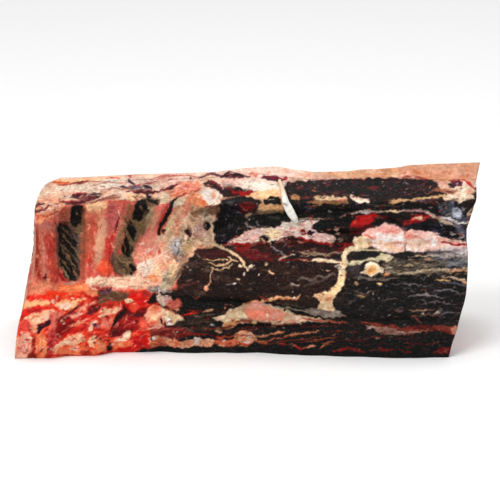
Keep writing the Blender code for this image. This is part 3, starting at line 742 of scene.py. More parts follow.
def paint_first_gap(canvas):
    """The dark hollow between the first two ribs, crossed by slanting strands."""
    hollow = [
        (62, 221), (58, 224), (57, 236), (58, 250), (59, 263), (63, 276), (68, 281), (76, 281), (79, 276),
        (80, 262), (81, 250), (80, 238), (82, 226), (85, 214), (84, 206), (75, 204), (71, 208), (70, 222),
    ]
    canvas.patch(hollow, between_ribs, soft=1.0, ragged=0.8, lift=-0.4, gloss=0.3)
    canvas.line([(82, 212), (81, 226), (79, 240), (79, 256)], 4.5, (122, 96, 76), soft=1.4, cover=0.85)
    canvas.patch([(70, 218), (74, 226), (78, 226), (84, 216), (86, 222), (80, 234), (72, 230)],
                 (104, 80, 62), soft=1)
    pits = [
        [(74, 205), (81, 206), (85, 213), (81, 217), (78, 212), (74, 216), (71, 212)],
        [(71, 215), (75, 214), (77, 222), (74, 226), (71, 222)],
        [(77, 215), (82, 217), (80, 225), (77, 222)],
        [(58, 228), (64, 229), (70, 233), (75, 239), (77, 246), (72, 246), (67, 240), (62, 239), (58, 240)],
        [(65, 243), (70, 246), (75, 252), (77, 258), (73, 256), (68, 250)],
        [(59, 251), (62, 256), (67, 259), (65, 263), (60, 261)],
        [(69, 258), (73, 261), (77.5, 267.5), (74, 267), (70, 263)],
        [(64, 262), (68, 265), (71, 270), (74, 276), (76, 281), (71, 280), (68, 273), (65, 268)],
    ]
    # the pits are painted near-black: painted shade down in the hollow, as is the dark line after them
    for pit in pits:
        canvas.patch(pit, (14, 7, 9), soft=0.8, ragged=0.5, lift=-1.2, gloss=0.35)
    canvas.line([(59, 222), (64, 226), (71, 231)], 2.6, (16, 10, 12), lift=-0.6)
    canvas.line([(70, 228), (75, 236), (79, 244)], 3.0, (88, 72, 74), soft=0.8, cover=0.9, lift=0.8)
    strands = [
        ([(61, 246), (66, 251), (71, 259)], 4.2, (116, 92, 62)),
        ([(67, 240), (72, 246), (77, 252), (80, 260)], 2.0, (112, 90, 72)),
        ([(66, 257), (71, 262), (77, 270)], 2.2, (132, 106, 76)),
        ([(62, 268), (66, 274), (69, 280)], 3.2, (132, 108, 78)),
        ([(74, 255), (78, 262), (79, 270)], 2.4, (104, 84, 72)),
        ([(72, 268), (75, 274), (78, 280)], 2.2, (128, 92, 76)),
    ]
    for points, width, colour in strands:
        canvas.line(points, width, colour, soft=0.7, ragged=0.5, cover=0.95, lift=0.9, taper=0.6)
    canvas.spot(77, 214, 2.5, 2.0, (140, 124, 92), lift=0.6)
    canvas.spot(77, 245, 3.5, 2.0, (178, 118, 96), lift=0.4)
    canvas.line([(64, 283), (70, 284), (77, 282)], 3.0, (182, 136, 116), soft=1.2, cover=0.85)


def paint_top_at_ribs(canvas):
    """The sawn edge above the ribs: pale fat with thin dark layers of muscle."""
    strip = [
        (34, 206), (36, 194), (44, 187), (54, 181), (70, 178), (100, 175), (130, 172), (215, 165),
        (230, 205), (200, 205), (160, 200), (140, 199), (120, 200), (88, 203), (66, 205), (48, 207),
    ]
    canvas.patch(strip, peach_fat, soft=1.0, ragged=1.0, lift=0.2, gloss=0.45)
    canvas.spot(44, 193, 16, 12, (244, 214, 190), soft=3.0, cover=0.7)
    canvas.spot(50, 200, 14, 7, (232, 160, 136), soft=2.5, cover=0.6)
    canvas.patch([(50, 184), (70, 186), (98, 182), (126, 181), (120, 189), (92, 190), (60, 192)],
                 (246, 226, 206), soft=2)
    canvas.patch([(98, 181), (126, 179), (126, 185), (112, 187), (98, 185)], (236, 228, 216), soft=1.5,
                 cover=0.8)
    canvas.line([(54, 181.5), (62, 182.5), (68, 183)], 3.4, (226, 112, 72), soft=0.8, ragged=0.3, lift=0.4,
                taper=0.1)
    canvas.line([(55, 180.5), (68, 181), (90, 179.5), (108, 178)], 1.8, (248, 196, 146), soft=0.6,
                ragged=0.3)
    canvas.line([(59, 184.5), (66, 184.6)], 1.1, (110, 26, 36), ragged=0.2, lift=-0.4)
    canvas.line([(70, 184.5), (76, 183), (82, 181.3), (88, 181)], 1.6, (104, 26, 40), ragged=0.3, lift=-0.4)
    canvas.line([(84, 182), (92, 181), (100, 181)], 1.0, (216, 120, 100), ragged=0.3)
    canvas.line([(106, 179), (112, 178), (120, 177.6)], 1.2, (206, 84, 74), ragged=0.3)
    canvas.line([(100, 186.5), (106, 187)], 1.4, (84, 44, 60), lift=-0.3)
    canvas.patch([(71, 196.5), (76, 193), (86, 192), (91, 193), (84, 195.5), (76, 198)], (72, 34, 46),
                 soft=0.7, lift=-0.5)
    canvas.line([(73, 193.8), (80, 192.4), (87, 192)], 1.5, (176, 56, 56), ragged=0.3)
    canvas.line([(85, 195.5), (92, 194), (97, 192.6), (101, 191.8)], 1.7, (72, 52, 60), lift=-0.4)
    canvas.line([(92, 191), (96, 193), (102, 193)], 1.4, (96, 70, 72), lift=-0.3)
    canvas.patch([(64, 204.5), (70, 201), (84, 198.6), (96, 195), (103, 194), (98, 198), (86, 202),
                  (72, 205)], (74, 26, 40), soft=0.8, ragged=0.7, lift=-0.6)
    canvas.line([(61, 201), (70, 201), (80, 200)], 1.6, (176, 58, 58), ragged=0.3)
    canvas.line([(88, 197.5), (95, 196.5)], 1.3, (170, 60, 56), ragged=0.3)
    canvas.line([(74, 200.8), (80, 199.8)], 0.9, (206, 150, 134), ragged=0.3)
    canvas.line([(99, 199), (107, 197), (115, 194.5), (119, 193)], 1.5, (128, 72, 74), cover=0.85)
    canvas.line([(98, 202), (108, 200), (118, 198)], 2.4, (216, 118, 98), soft=1.0, cover=0.8)
    canvas.line([(103, 206), (112, 203), (122, 201)], 2.6, (208, 96, 82), soft=1.0, cover=0.8)
    canvas.spot(65, 196, 2.6, 2.6, (84, 36, 50), soft=0.5)
    canvas.spot(60, 199.5, 2.0, 1.6, (110, 80, 40), soft=0.5)
    canvas.spot(58.5, 204, 2.2, 2.6, (72, 60, 84), soft=0.5)
    canvas.patch([(126, 195), (140, 193), (146, 197), (138, 200), (128, 200)], (246, 208, 166), soft=1.0)
    canvas.scatter([(38, 190), (125, 180), (125, 190), (60, 200), (38, 205)], 40, (3, 8), (0.6, 1.2),
                   [(226, 150, 130), (248, 234, 220), (236, 176, 150)], angle=-6, cover=0.6)


def paint_second_gap(canvas):
    """The dark hollow between the last two ribs."""
    hollow = [
        (138, 200), (146, 197), (157, 198), (159, 204), (154, 207), (149, 213), (146, 221), (142, 230),
        (138, 240), (136, 248), (133, 253), (134, 262), (137, 270), (133, 275), (128, 278), (119, 273),
        (113, 265), (111, 253), (117, 256), (122, 252), (124, 242), (126, 228), (131, 216), (134, 207),
    ]
    canvas.patch(hollow, (112, 90, 68), soft=1.4, ragged=0.8, lift=-0.4, gloss=0.3)
    canvas.patch([(147, 207), (155, 206), (153, 222), (146, 236), (140, 236), (145, 222)], (158, 132, 104),
                 soft=1.5)
    pits = [
        [(138, 201), (145, 198), (147, 206), (149, 211), (146, 216), (143, 220), (138, 221), (133, 219),
         (134, 210)],
        [(146, 198), (157, 200), (158, 205), (154, 204), (150, 202)],
        [(130, 219), (134, 225), (136, 236), (133, 241), (129, 235), (127, 227)],
        [(125, 237), (130, 241), (133, 250), (130, 256), (126, 257), (123, 253), (121, 249)],
        [(128, 263), (133, 265), (137, 271), (134, 272), (130, 267)],
        [(131, 271), (134, 273), (133, 276), (130, 274)],
    ]
    # the pits are painted near-black: painted shade down in the hollow
    for pit in pits:
        canvas.patch(pit, (13, 9, 10), soft=0.8, ragged=0.5, lift=-1.2)
    strands = [
        ([(140, 205), (142, 210)], 2.6, (126, 96, 70)),
        ([(147, 202), (150, 205), (153, 205)], 2.6, (112, 84, 62)),
        ([(135, 218), (140, 226), (141, 233)], 2.2, (116, 86, 58)),
        ([(131, 222), (133, 230)], 1.2, (84, 66, 52)),
        ([(127, 238), (130, 247), (131, 253)], 1.6, (110, 92, 62)),
        ([(124, 244), (126, 252)], 1.6, (106, 88, 60)),
        ([(115, 256), (121, 261), (127, 264), (131, 262)], 3.0, (158, 126, 92)),
        ([(121, 266), (125, 270)], 2.2, (140, 108, 80)),
    ]
    for points, width, colour in strands:
        canvas.line(points, width, colour, soft=0.7, ragged=0.5, cover=0.95, lift=0.8, taper=0.6)
    canvas.line([(111.5, 252), (114, 257), (112, 262)], 2.4, (64, 36, 44), cover=0.9)
    canvas.scatter([(112, 262), (124, 262), (132, 274), (127, 278), (118, 272)], 14, (4, 7), (1.4, 2.4),
                   [(40, 27, 26), (58, 42, 38)], angle=35, cover=0.9, lift=-0.5)


def paint_third_rib(canvas):
    canvas.patch([(158, 206), (170, 202), (166, 216), (158, 228), (150, 240), (140, 242), (147, 226),
                  (155, 214)], (206, 104, 94), soft=1.6)
    canvas.line([(168, 203), (165, 212), (160, 222), (157, 230)], 2.6, (186, 56, 52), soft=1.0, cover=0.85)
    canvas.line([(153, 208), (155, 215), (151, 226)], 3.0, (196, 152, 118), soft=1.4, cover=0.8)
    canvas.patch([(159, 229), (156, 236), (150, 248), (140, 254), (136, 248), (142, 238), (150, 232)],
                 (240, 140, 122), soft=3.0)
    slit = [
        (175, 198), (178, 197), (174, 202), (172, 212), (168, 218), (164, 224), (160, 231), (161, 236),
        (158, 236), (158, 230), (160, 224), (165, 216), (169, 210), (171, 202),
    ]
    # the slit is painted near-black: painted shade inside it
    canvas.patch(slit, (10, 8, 10), soft=0.6, ragged=0.4, lift=-2.0)
    canvas.patch([(161, 230), (167, 229), (163, 235)], (62, 36, 34), soft=0.6, ragged=0.3, lift=-1.0)


def paint_flesh_below_ribs(canvas):
    """The pale, torn flesh behind the last rib, down to the red meat of the backbone."""
    area = [
        (137, 246), (150, 238), (160, 236), (175, 205), (188, 198), (216, 205), (216, 246), (196, 250),
        (186, 260), (178, 276), (168, 290), (150, 290), (86, 286), (86, 278), (118, 276), (136, 274),
        (137, 262), (132, 256),
    ]
    canvas.patch(area, tissue((222, 128, 100), (238, 176, 146), (248, 216, 186), grain=(6.0, 6.0)), soft=1.5)
    canvas.patch([(168, 226), (178, 206), (192, 204), (214, 208), (214, 246), (196, 248), (180, 256),
                  (166, 250)], tissue((160, 118, 92), (208, 168, 134), (228, 198, 166), grain=(4.0, 7.0),
                                      angle=20), soft=2.0)
    canvas.spot(150, 248, 22, 14, (246, 150, 130), soft=4.0, cover=0.9, lift=0.6)
    canvas.spot(150, 252, 8, 5, (226, 110, 92), soft=2.0, cover=0.7)
    canvas.spot(159, 253, 3, 3, (196, 66, 54), soft=0.8)
    canvas.spot(146, 267, 16, 16, (252, 230, 210), soft=3.0, lift=0.6)
    canvas.spot(136, 279, 26, 8, (248, 206, 176), soft=2.5)
    canvas.spot(158, 271, 9, 14, (250, 204, 158), soft=2.5, cover=0.9)
    canvas.spot(154, 279, 11, 7, (244, 150, 102), soft=2.0, lift=0.4)
    canvas.spot(165, 258, 16, 14, (240, 170, 142), soft=3.0, cover=0.8)
    canvas.spot(175, 266, 9, 14, (230, 194, 154), soft=2.5, cover=0.9)
    canvas.patch([(167, 284), (176, 272), (182, 262), (180, 276), (172, 288)], (176, 146, 114), soft=1.6,
                 ragged=1.2)
    canvas.spot(138, 261, 7, 4, (216, 110, 104), soft=1.5, cover=0.8)
    canvas.spot(162, 244, 5, 8, (226, 148, 122), soft=1.5, cover=0.8)
    canvas.scatter([(136, 250), (160, 240), (176, 256), (170, 284), (140, 284)], 60, (3, 7), (0.7, 1.5),
                   [(252, 226, 200), (232, 140, 112), (248, 196, 150)], angle=60, spread=35, cover=0.6,
                   lift=0.4)
    # the pale ridge over the red meat
    canvas.patch([(86, 281), (92, 277), (100, 279), (118, 277), (150, 280), (152, 287), (122, 287),
                  (98, 286)], (248, 202, 170), soft=1.4, lift=0.8)
    canvas.spot(92, 281, 10, 7, (246, 214, 180), soft=1.5, lift=0.5)
    canvas.spot(98, 278, 5, 3, (252, 234, 210), soft=1.0)
    # the tan sheet with its holes
    canvas.patch([(178, 205), (190, 200), (190, 216), (180, 226), (172, 232), (174, 218)], (218, 142, 114),
                 soft=3.0)
    canvas.spot(186, 219, 12, 14, (230, 186, 154), soft=3.0, cover=0.9)
    canvas.patch([(197, 210), (206, 206), (216, 208), (214, 216), (204, 218), (198, 216)], (128, 108, 88),
                 soft=2.0)
    canvas.spot(193, 217, 8, 9, (158, 106, 82), soft=2.0, cover=0.85)
    canvas.spot(199, 230, 14, 14, (196, 156, 148), soft=3.0, cover=0.85)
    canvas.spot(196, 236, 5, 4, (150, 96, 96), soft=1.5, cover=0.8)
    canvas.spot(207, 236, 9, 10, (226, 190, 172), soft=2.5, cover=0.85)
    canvas.line([(211, 221), (213.5, 229), (214, 238)], 3.2, (224, 198, 164), soft=0.9, lift=0.6)
    canvas.line([(202, 222), (206, 218), (211, 221)], 1.8, (204, 190, 176), soft=0.8, lift=0.4)
    canvas.patch([(205, 222), (209, 221), (211, 224), (209, 229), (206, 231), (203, 227)], (30, 20, 28),
                 soft=0.7, ragged=0.4, lift=-1.6)
    canvas.spot(205, 224, 2, 3, (120, 104, 116), soft=0.8, cover=0.8)
    canvas.patch([(184, 230), (188, 228.5), (192, 235), (190, 238), (186, 234)], (54, 20, 26), soft=0.7,
                 ragged=0.4, lift=-1.4)
    canvas.line([(182, 230), (183, 240), (190, 241)], 2.0, (150, 122, 84), soft=1.0, cover=0.8)
    canvas.patch([(172, 240), (181, 236), (184, 246), (180, 257), (174, 256), (170, 248)], (190, 180, 182),
                 soft=2.2)
    canvas.line([(177.5, 243), (176, 248), (178, 254)], 1.8, (238, 236, 238), soft=0.6, lift=0.4)
    canvas.line([(181, 240), (181, 248)], 2.0, (112, 92, 84), soft=0.8, cover=0.8)
    canvas.spot(188, 246, 12, 8, (198, 164, 116), soft=2.5, cover=0.85)
    canvas.line([(193, 243), (202, 241), (212, 243)], 5.0, (230, 194, 158), soft=1.6, cover=0.9)
    canvas.line([(172, 254), (178, 262), (184, 256)], 3.0, (116, 104, 104), soft=1.4, cover=0.8)
    canvas.line([(151, 288), (158, 287), (166, 289)], 3.0, (160, 134, 128), soft=1.4, cover=0.8)
    # pale blocks at the top of the last rib
    canvas.patch([(159, 196), (162, 193), (170, 195), (170, 203), (160, 205)], (236, 216, 186), soft=0.9,
                 lift=1.0)
    canvas.patch([(171, 205), (175, 201), (179, 198), (187, 199), (184, 204), (175, 207)], (234, 218, 194),
                 soft=0.9, lift=1.0)
    canvas.line([(171, 197), (177, 194), (182, 195)], 2.4, (236, 206, 150), soft=0.7)


def paint_top_behind_ribs(canvas):
    """The sawn edge from the second gap to the white knob and the dark layers above it."""
    canvas.patch([(126, 177), (150, 178), (182, 176), (198, 178), (182, 184), (160, 190), (140, 190),
                  (122, 188)], (228, 198, 186), soft=2.0, cover=0.8)
    canvas.spot(167, 181, 22, 6, (240, 176, 162), soft=2.5, cover=0.8, angle=-8)
    canvas.spot(157, 185, 10, 5, (212, 190, 166), soft=1.6, cover=0.7)
    canvas.line([(120, 186.5), (128, 187.5), (136, 187), (142, 188)], 2.6, (84, 82, 98), soft=0.8, cover=0.9,
                lift=-0.4)
    canvas.line([(128, 180), (131, 183), (134.5, 184.5)], 3.0, (56, 40, 60), soft=0.7, lift=-0.5)
    canvas.line([(129, 176), (131, 178)], 1.4, (190, 50, 46), ragged=0.3)
    canvas.line([(144, 187), (148, 186.5), (151, 189)], 2.6, (40, 38, 54), soft=0.7, lift=-0.5)
    canvas.line([(132, 186), (142, 185.5), (148, 183), (156, 181)], 1.2, (150, 44, 58), cover=0.9, lift=-0.3)
    canvas.patch([(124, 191), (136, 191), (148, 190), (160, 191), (166, 190), (158, 193), (150, 194),
                  (134, 194)], (78, 18, 32), soft=0.8, lift=-0.6)
    canvas.line([(146, 194), (150, 197)], 4.0, (42, 30, 36), soft=0.8, lift=-0.4)
    canvas.line([(160, 190.5), (168, 188.5), (174, 186), (181, 183)], 3.0, (112, 18, 30), soft=0.7,
                lift=-0.5)
    canvas.line([(168, 189), (174, 187)], 2.4, (34, 12, 22), soft=0.5, lift=-0.5)
    canvas.line([(128, 192), (140, 191.5)], 1.1, (196, 84, 74), cover=0.8)
    canvas.line([(150, 179.5), (158, 176.5), (170, 175.2), (188, 175.6)], 1.1, (176, 58, 68), ragged=0.3,
                cover=0.9)
    canvas.line([(188, 176), (196, 176.5), (200, 179)], 1.2, (178, 82, 80), ragged=0.3, cover=0.8)
    canvas.spot(190.5, 178.6, 3.0, 1.8, (86, 30, 52), soft=0.6)
    canvas.patch([(155, 172), (200, 170), (200, 174.5), (170, 174.5), (156, 176)], (246, 206, 188), soft=0.8)
    # the salmon sawn end and the white knob beside it
    canvas.patch([(176, 187), (182, 181.5), (196, 180.5), (202, 184), (199, 190), (190, 194), (182, 193),
                  (175, 197)], (246, 156, 130), soft=1.0, lift=0.8)
    canvas.spot(187, 186.8, 7, 2.8, (204, 100, 92), soft=0.8, cover=0.9)
    canvas.line([(178, 192), (176, 196), (170, 196)], 2.0, (222, 94, 74), soft=0.8, cover=0.8)
    canvas.line([(179, 196.2), (186, 193.4)], 1.7, (192, 30, 30), soft=0.5, ragged=0.3)
    canvas.line([(194, 193), (201, 187.5)], 1.3, (170, 50, 52), soft=0.5, ragged=0.3)
    canvas.patch([(186, 199), (192, 194), (202, 195), (208, 203), (204, 208), (194, 206)], (240, 150, 108),
                 soft=1.6)
    canvas.spot(204, 202, 6, 4, (216, 96, 58), soft=1.4, cover=0.8)
    knob = [(200, 192), (206, 188), (214, 190), (220, 191), (219, 198), (214, 204), (209, 205.5), (204, 200)]
    canvas.patch(knob, (248, 236, 224), soft=1.0, lift=2.0)
    canvas.spot(214, 195, 5, 8, (238, 174, 136), soft=1.2, cover=0.9, lift=-0.5, angle=20)
    canvas.spot(207, 195, 7, 7, (252, 246, 240), soft=1.2)
    canvas.line([(205, 206.5), (212, 207), (219, 206)], 1.8, (124, 62, 52), soft=0.7, cover=0.9)
    canvas.patch([(206, 208), (220, 207), (222, 213), (212, 215)], (122, 86, 66), soft=1.5, cover=0.8)


def paint_top_dark_layers(canvas):
    """Thin dark layers of muscle in the sawn edge, from above the knob to the flank muscle."""
    canvas.line([(200, 177.5), (207, 175.5), (215, 174), (224, 176)], 2.2, (84, 46, 62), soft=0.8, lift=-0.4)
    canvas.patch([(220, 176.5), (228, 172.5), (234, 171.3), (241, 173.5), (250, 176.5), (240, 179),
                  (228, 178.5)], (44, 22, 38), soft=0.8, lift=-0.6)
    canvas.patch([(203, 184), (208, 181), (213, 181), (219, 184), (223, 189), (233, 188.5), (236, 192),
                  (232, 196.5), (222, 196), (219, 191), (212, 189), (207, 187)], (48, 18, 32), soft=0.8,
                 lift=-0.7)
    canvas.line([(208, 181.4), (213, 181.6), (219, 185), (222, 188)], 1.7, (134, 30, 34), soft=0.6)
    canvas.line([(226, 188.4), (234, 189.5)], 1.6, (128, 30, 34), soft=0.6)
    canvas.spot(229, 184, 20, 7, (232, 186, 172), soft=1.6, cover=0.7)


def paint_pocket(canvas):
    """The black pocket behind the tan sheet."""
    pocket = [
        (221, 200), (228, 196.5), (236, 195), (248, 197), (262, 201), (256, 210), (247, 214), (244, 224),
        (240, 231), (236, 237), (230, 241), (222, 244), (215, 241), (214, 232), (214, 222), (219, 218),
        (221, 210),
    ]
    canvas.patch(pocket, tissue((10, 9, 14), (20, 15, 22), (44, 34, 42), grain=(5.0, 5.0)), soft=1.0,
                 gloss=0.55, lift=-1.0)
    canvas.patch([(238, 203), (250, 201), (258, 204), (252, 211), (242, 213)], (84, 12, 20), soft=1.5,
                 gloss=0.6)
    canvas.line([(243, 207), (251, 207)], 1.8, (150, 26, 34), soft=0.8, cover=0.8)
    canvas.line([(243, 209.6), (248, 209.4)], 1.1, (176, 110, 100), soft=0.5, cover=0.8)
    canvas.spot(230, 202.5, 8, 5, (74, 74, 72), soft=1.6, cover=0.9)
    canvas.spot(235.5, 204.5, 1.8, 1.8, (210, 204, 196), soft=0.5)
    canvas.line([(222, 198), (230, 197), (238, 196)], 1.6, (170, 120, 84), soft=0.7, cover=0.85)
    canvas.scatter([(216, 220), (240, 214), (240, 230), (222, 241)], 26, (0.8, 2.0), (0.6, 1.0),
                   [(96, 92, 104), (60, 50, 62)], angle=0, spread=90, cover=0.6)


dark_flank = tissue((15, 11, 15), (40, 29, 36), (84, 60, 70), grain=(9.0, 2.6), angle=-2)
deep_red = tissue((26, 12, 14), (48, 20, 22), (104, 26, 30), grain=(12.0, 3.0), angle=4)
seam_fat = tissue((214, 160, 150), (234, 200, 188), (244, 226, 208), grain=(8.0, 3.5), angle=-8)


def paint_top_fat(canvas):
    """The fat cap's edge along the top, and the pale fat between it and the sinew."""
    canvas.patch([(0, 222), (26, 216), (40, 200), (60, 188), (260, 182), (260, 140), (0, 140)],
                 tissue((214, 168, 150), (236, 208, 190), (248, 228, 214), grain=(12.0, 4.0), angle=-6),
                 soft=2.0)
    edge = [
        (196, 160), (500, 150), (500, 172), (470, 190), (440, 180), (400, 178), (340, 180), (300, 182),
        (285, 184), (284, 190), (250, 190), (220, 182), (200, 180),
    ]
    canvas.patch(edge, tissue((232, 172, 146), (242, 206, 188), (248, 224, 210), grain=(14.0, 3.0),
                              angle=-2), soft=1.0, gloss=0.5)
    canvas.patch([(330, 150), (500, 150), (500, 176), (455, 182), (400, 178), (345, 179), (325, 176)],
                 tissue((222, 152, 104), (240, 190, 148), (246, 212, 180), grain=(14.0, 4.0), angle=-6),
                 soft=3.0)
    canvas.line([(310, 174), (330, 173), (352, 175)], 3.0, (246, 202, 160), soft=1.5, cover=0.7)
    canvas.line([(352, 176), (372, 174), (392, 173)], 1.6, (236, 150, 100), soft=0.8, cover=0.7)
    canvas.spot(331, 170, 3.0, 4.0, (216, 62, 52), soft=0.8, lift=0.4)
    canvas.spot(256, 176, 2.4, 3.2, (222, 104, 90), soft=0.8)
    canvas.patch([(261, 177.5), (267, 175.3), (275, 176.8), (283, 179), (288, 177.3), (286, 181),
                  (278, 181.3), (270, 180.2), (264, 179.5)], (112, 30, 48), soft=0.8, lift=-0.4)
    canvas.line([(263, 178.8), (270, 180), (279, 181)], 1.4, (62, 34, 50), soft=0.5)
    canvas.spot(286, 179, 3, 2.6, (202, 36, 50), soft=0.6)
    canvas.patch([(240, 181), (262, 182), (284, 184), (284, 192), (262, 193), (246, 190)], (240, 222, 204),
                 soft=2.0)
    canvas.spot(249, 187, 3, 3, (190, 146, 116), soft=1.0, cover=0.8)
    canvas.line([(271, 184.4), (275, 184.6)], 1.2, (120, 112, 96), soft=0.5)
    canvas.line([(256, 184), (264, 186), (274, 186)], 2.4, (250, 240, 224), soft=1.0, cover=0.8)


def paint_shelf(canvas):
    """The tan step under the fat, with the dark gap in it and the dark green hollow below."""
    canvas.patch([(245, 194), (262, 192), (284, 191), (284, 200), (284, 212), (262, 212), (252, 206),
                  (246, 200)], (206, 158, 114), soft=1.2)
    canvas.patch([(247, 193), (262, 191), (283, 190), (282, 196), (268, 199), (252, 199)], (242, 190, 142),
                 soft=1.4)
    canvas.patch([(230, 189.5), (236, 191.5), (244, 191), (252, 190), (253, 192.5), (244, 194.5),
                  (236, 196)], (146, 26, 28), soft=0.7, lift=-0.4)
    canvas.line([(230, 194), (238, 194.5)], 1.6, (56, 14, 20), soft=0.5)
    canvas.patch([(248, 199), (264, 200), (264, 205), (252, 205)], (204, 166, 126), soft=1.0)
    canvas.line([(256, 204), (268, 203)], 1.4, (214, 120, 70), soft=0.8, cover=0.8)
    # the gap is painted near-black: painted shade inside it
    canvas.patch([(264, 199.4), (268, 198.4), (273, 196.6), (278, 197), (281, 200), (281, 204.6),
                  (265, 204.6)], (10, 7, 7), soft=0.6, ragged=0.5, lift=-2.0)
    canvas.line([(268, 199.3), (274, 199.6)], 0.9, (206, 196, 160), soft=0.4, ragged=0.3)
    canvas.line([(256, 207.5), (270, 207), (282, 208)], 4.0, (198, 148, 102), soft=1.4)
    canvas.patch([(254, 211), (270, 210), (284, 211), (284, 214.5), (262, 215)], (118, 96, 72), soft=1.0,
                 cover=0.9)
    canvas.spot(248, 215, 9, 6, (160, 128, 100), soft=1.5, cover=0.85)
    hollow = [
        (249, 218), (256, 215), (268, 214), (278, 214.5), (285, 213), (287.5, 220), (283, 224), (276, 226),
        (268, 227.5), (258, 228), (252, 226), (249, 222),
    ]
    canvas.patch(hollow, tissue((12, 14, 14), (24, 27, 26), (52, 56, 52), grain=(6.0, 3.0)), soft=0.9,
                 lift=-1.2)
    canvas.line([(244, 222), (249, 226.5), (255, 229)], 1.6, (158, 156, 150), soft=0.7, cover=0.9)
    canvas.line([(268, 217), (275, 219), (280, 219)], 2.0, (70, 72, 66), soft=1.0, cover=0.8)


def paint_flank_muscle(canvas):
    """The dark flank muscle along the sawn edge."""
    muscle = [
        (282, 187), (288, 182.5), (300, 182.6), (320, 181.2), (345, 179), (370, 178), (395, 178), (425, 179),
        (439, 181), (441, 187), (445, 197), (425, 203), (400, 199), (370, 196), (346, 195), (320, 195),
        (300, 194), (290, 191), (284, 190),
    ]
    canvas.patch(muscle, dark_flank, soft=0.9, ragged=0.9, lift=-0.4, gloss=0.45)
    canvas.scatter([(290, 184), (345, 181), (430, 182), (430, 196), (350, 193), (296, 191)], 60, (2, 7),
                   (0.6, 1.3), [(112, 66, 78), (92, 76, 84), (24, 16, 20), (70, 34, 46)], angle=-3,
                   spread=25, cover=0.6)
    canvas.scatter([(290, 184), (345, 181), (440, 182), (440, 196), (350, 193), (296, 191)], 34, (0.6, 1.4),
                   (0.6, 1.0), [(206, 196, 196), (150, 136, 140)], angle=0, spread=90, cover=0.9)
    canvas.line([(311, 190.8), (317, 190.4)], 1.3, (234, 152, 110), soft=0.5, ragged=0.3)
    canvas.line([(330, 192), (345, 190.5)], 1.8, (110, 62, 84), soft=1.0, cover=0.7)
    canvas.spot(285, 189, 5, 3.5, (24, 16, 20), soft=0.8)


def paint_layers_under_flank(canvas):
    """Pale and black layers between the flank muscle and the inner side."""
    band = [
        (284, 199), (300, 199), (350, 199), (372, 203), (400, 204), (430, 205), (466, 214), (462, 226),
        (430, 216), (380, 208), (350, 213), (330, 219), (296, 221), (288, 216),
    ]
    canvas.patch(band, tissue((8, 8, 10), (18, 17, 20), (46, 44, 50), grain=(9.0, 2.2), angle=-2), soft=1.2,
                 lift=-0.8)
    canvas.patch([(284, 193), (292, 193), (300, 194), (300, 200), (290, 200)], (62, 34, 30), soft=1.0)
    canvas.patch([(290, 195), (296, 194), (301, 196), (300, 200), (292, 200)], (204, 146, 96), soft=0.9,
                 lift=0.3)
    canvas.spot(293, 197, 2.6, 2.8, (170, 164, 150), soft=0.7)
    canvas.line([(302, 197), (312, 197.6)], 2.0, (108, 50, 50), soft=1.0, cover=0.9)
    canvas.patch([(305, 201), (314, 199.4), (347, 199), (349, 203.4), (330, 204), (312, 204)], (134, 96, 66),
                 soft=0.9)
    canvas.patch([(313, 198), (318, 195.5), (330, 195.4), (345, 196.2), (348, 199), (330, 200),
                  (316, 199.8)], (224, 192, 154), soft=0.7, lift=0.6)
    canvas.line([(334, 199.6), (348, 199)], 1.2, (190, 86, 76), soft=0.6, cover=0.8)
    canvas.patch([(350, 195), (356, 195.3), (362, 197), (368, 199), (368.5, 203), (361, 204.3), (354, 201),
                  (350, 198.5)], (250, 222, 200), soft=0.7, lift=1.0)
    canvas.line([(351, 197), (357, 197)], 1.2, (228, 130, 120), soft=0.7, cover=0.8)
    canvas.spot(309, 209, 12, 4, (64, 68, 78), soft=1.8, cover=0.8)
    canvas.line([(312, 206.3), (318, 206)], 1.2, (150, 104, 80), soft=0.5)
    canvas.spot(328.5, 210, 2.4, 2.0, (140, 146, 152), soft=0.7)
    canvas.line([(338, 217.3), (350, 213.6), (362, 212)], 1.8, (146, 124, 112), soft=0.8, cover=0.9,
                lift=0.3)
    canvas.line([(295, 219.6), (310, 219), (332, 219)], 1.1, (192, 164, 138), soft=0.5, cover=0.9)
    canvas.spot(311, 217.6, 4, 1.6, (196, 84, 70), soft=0.7)
    canvas.line([(290, 213), (296, 210), (304, 208)], 2.0, (40, 42, 48), soft=1.0)


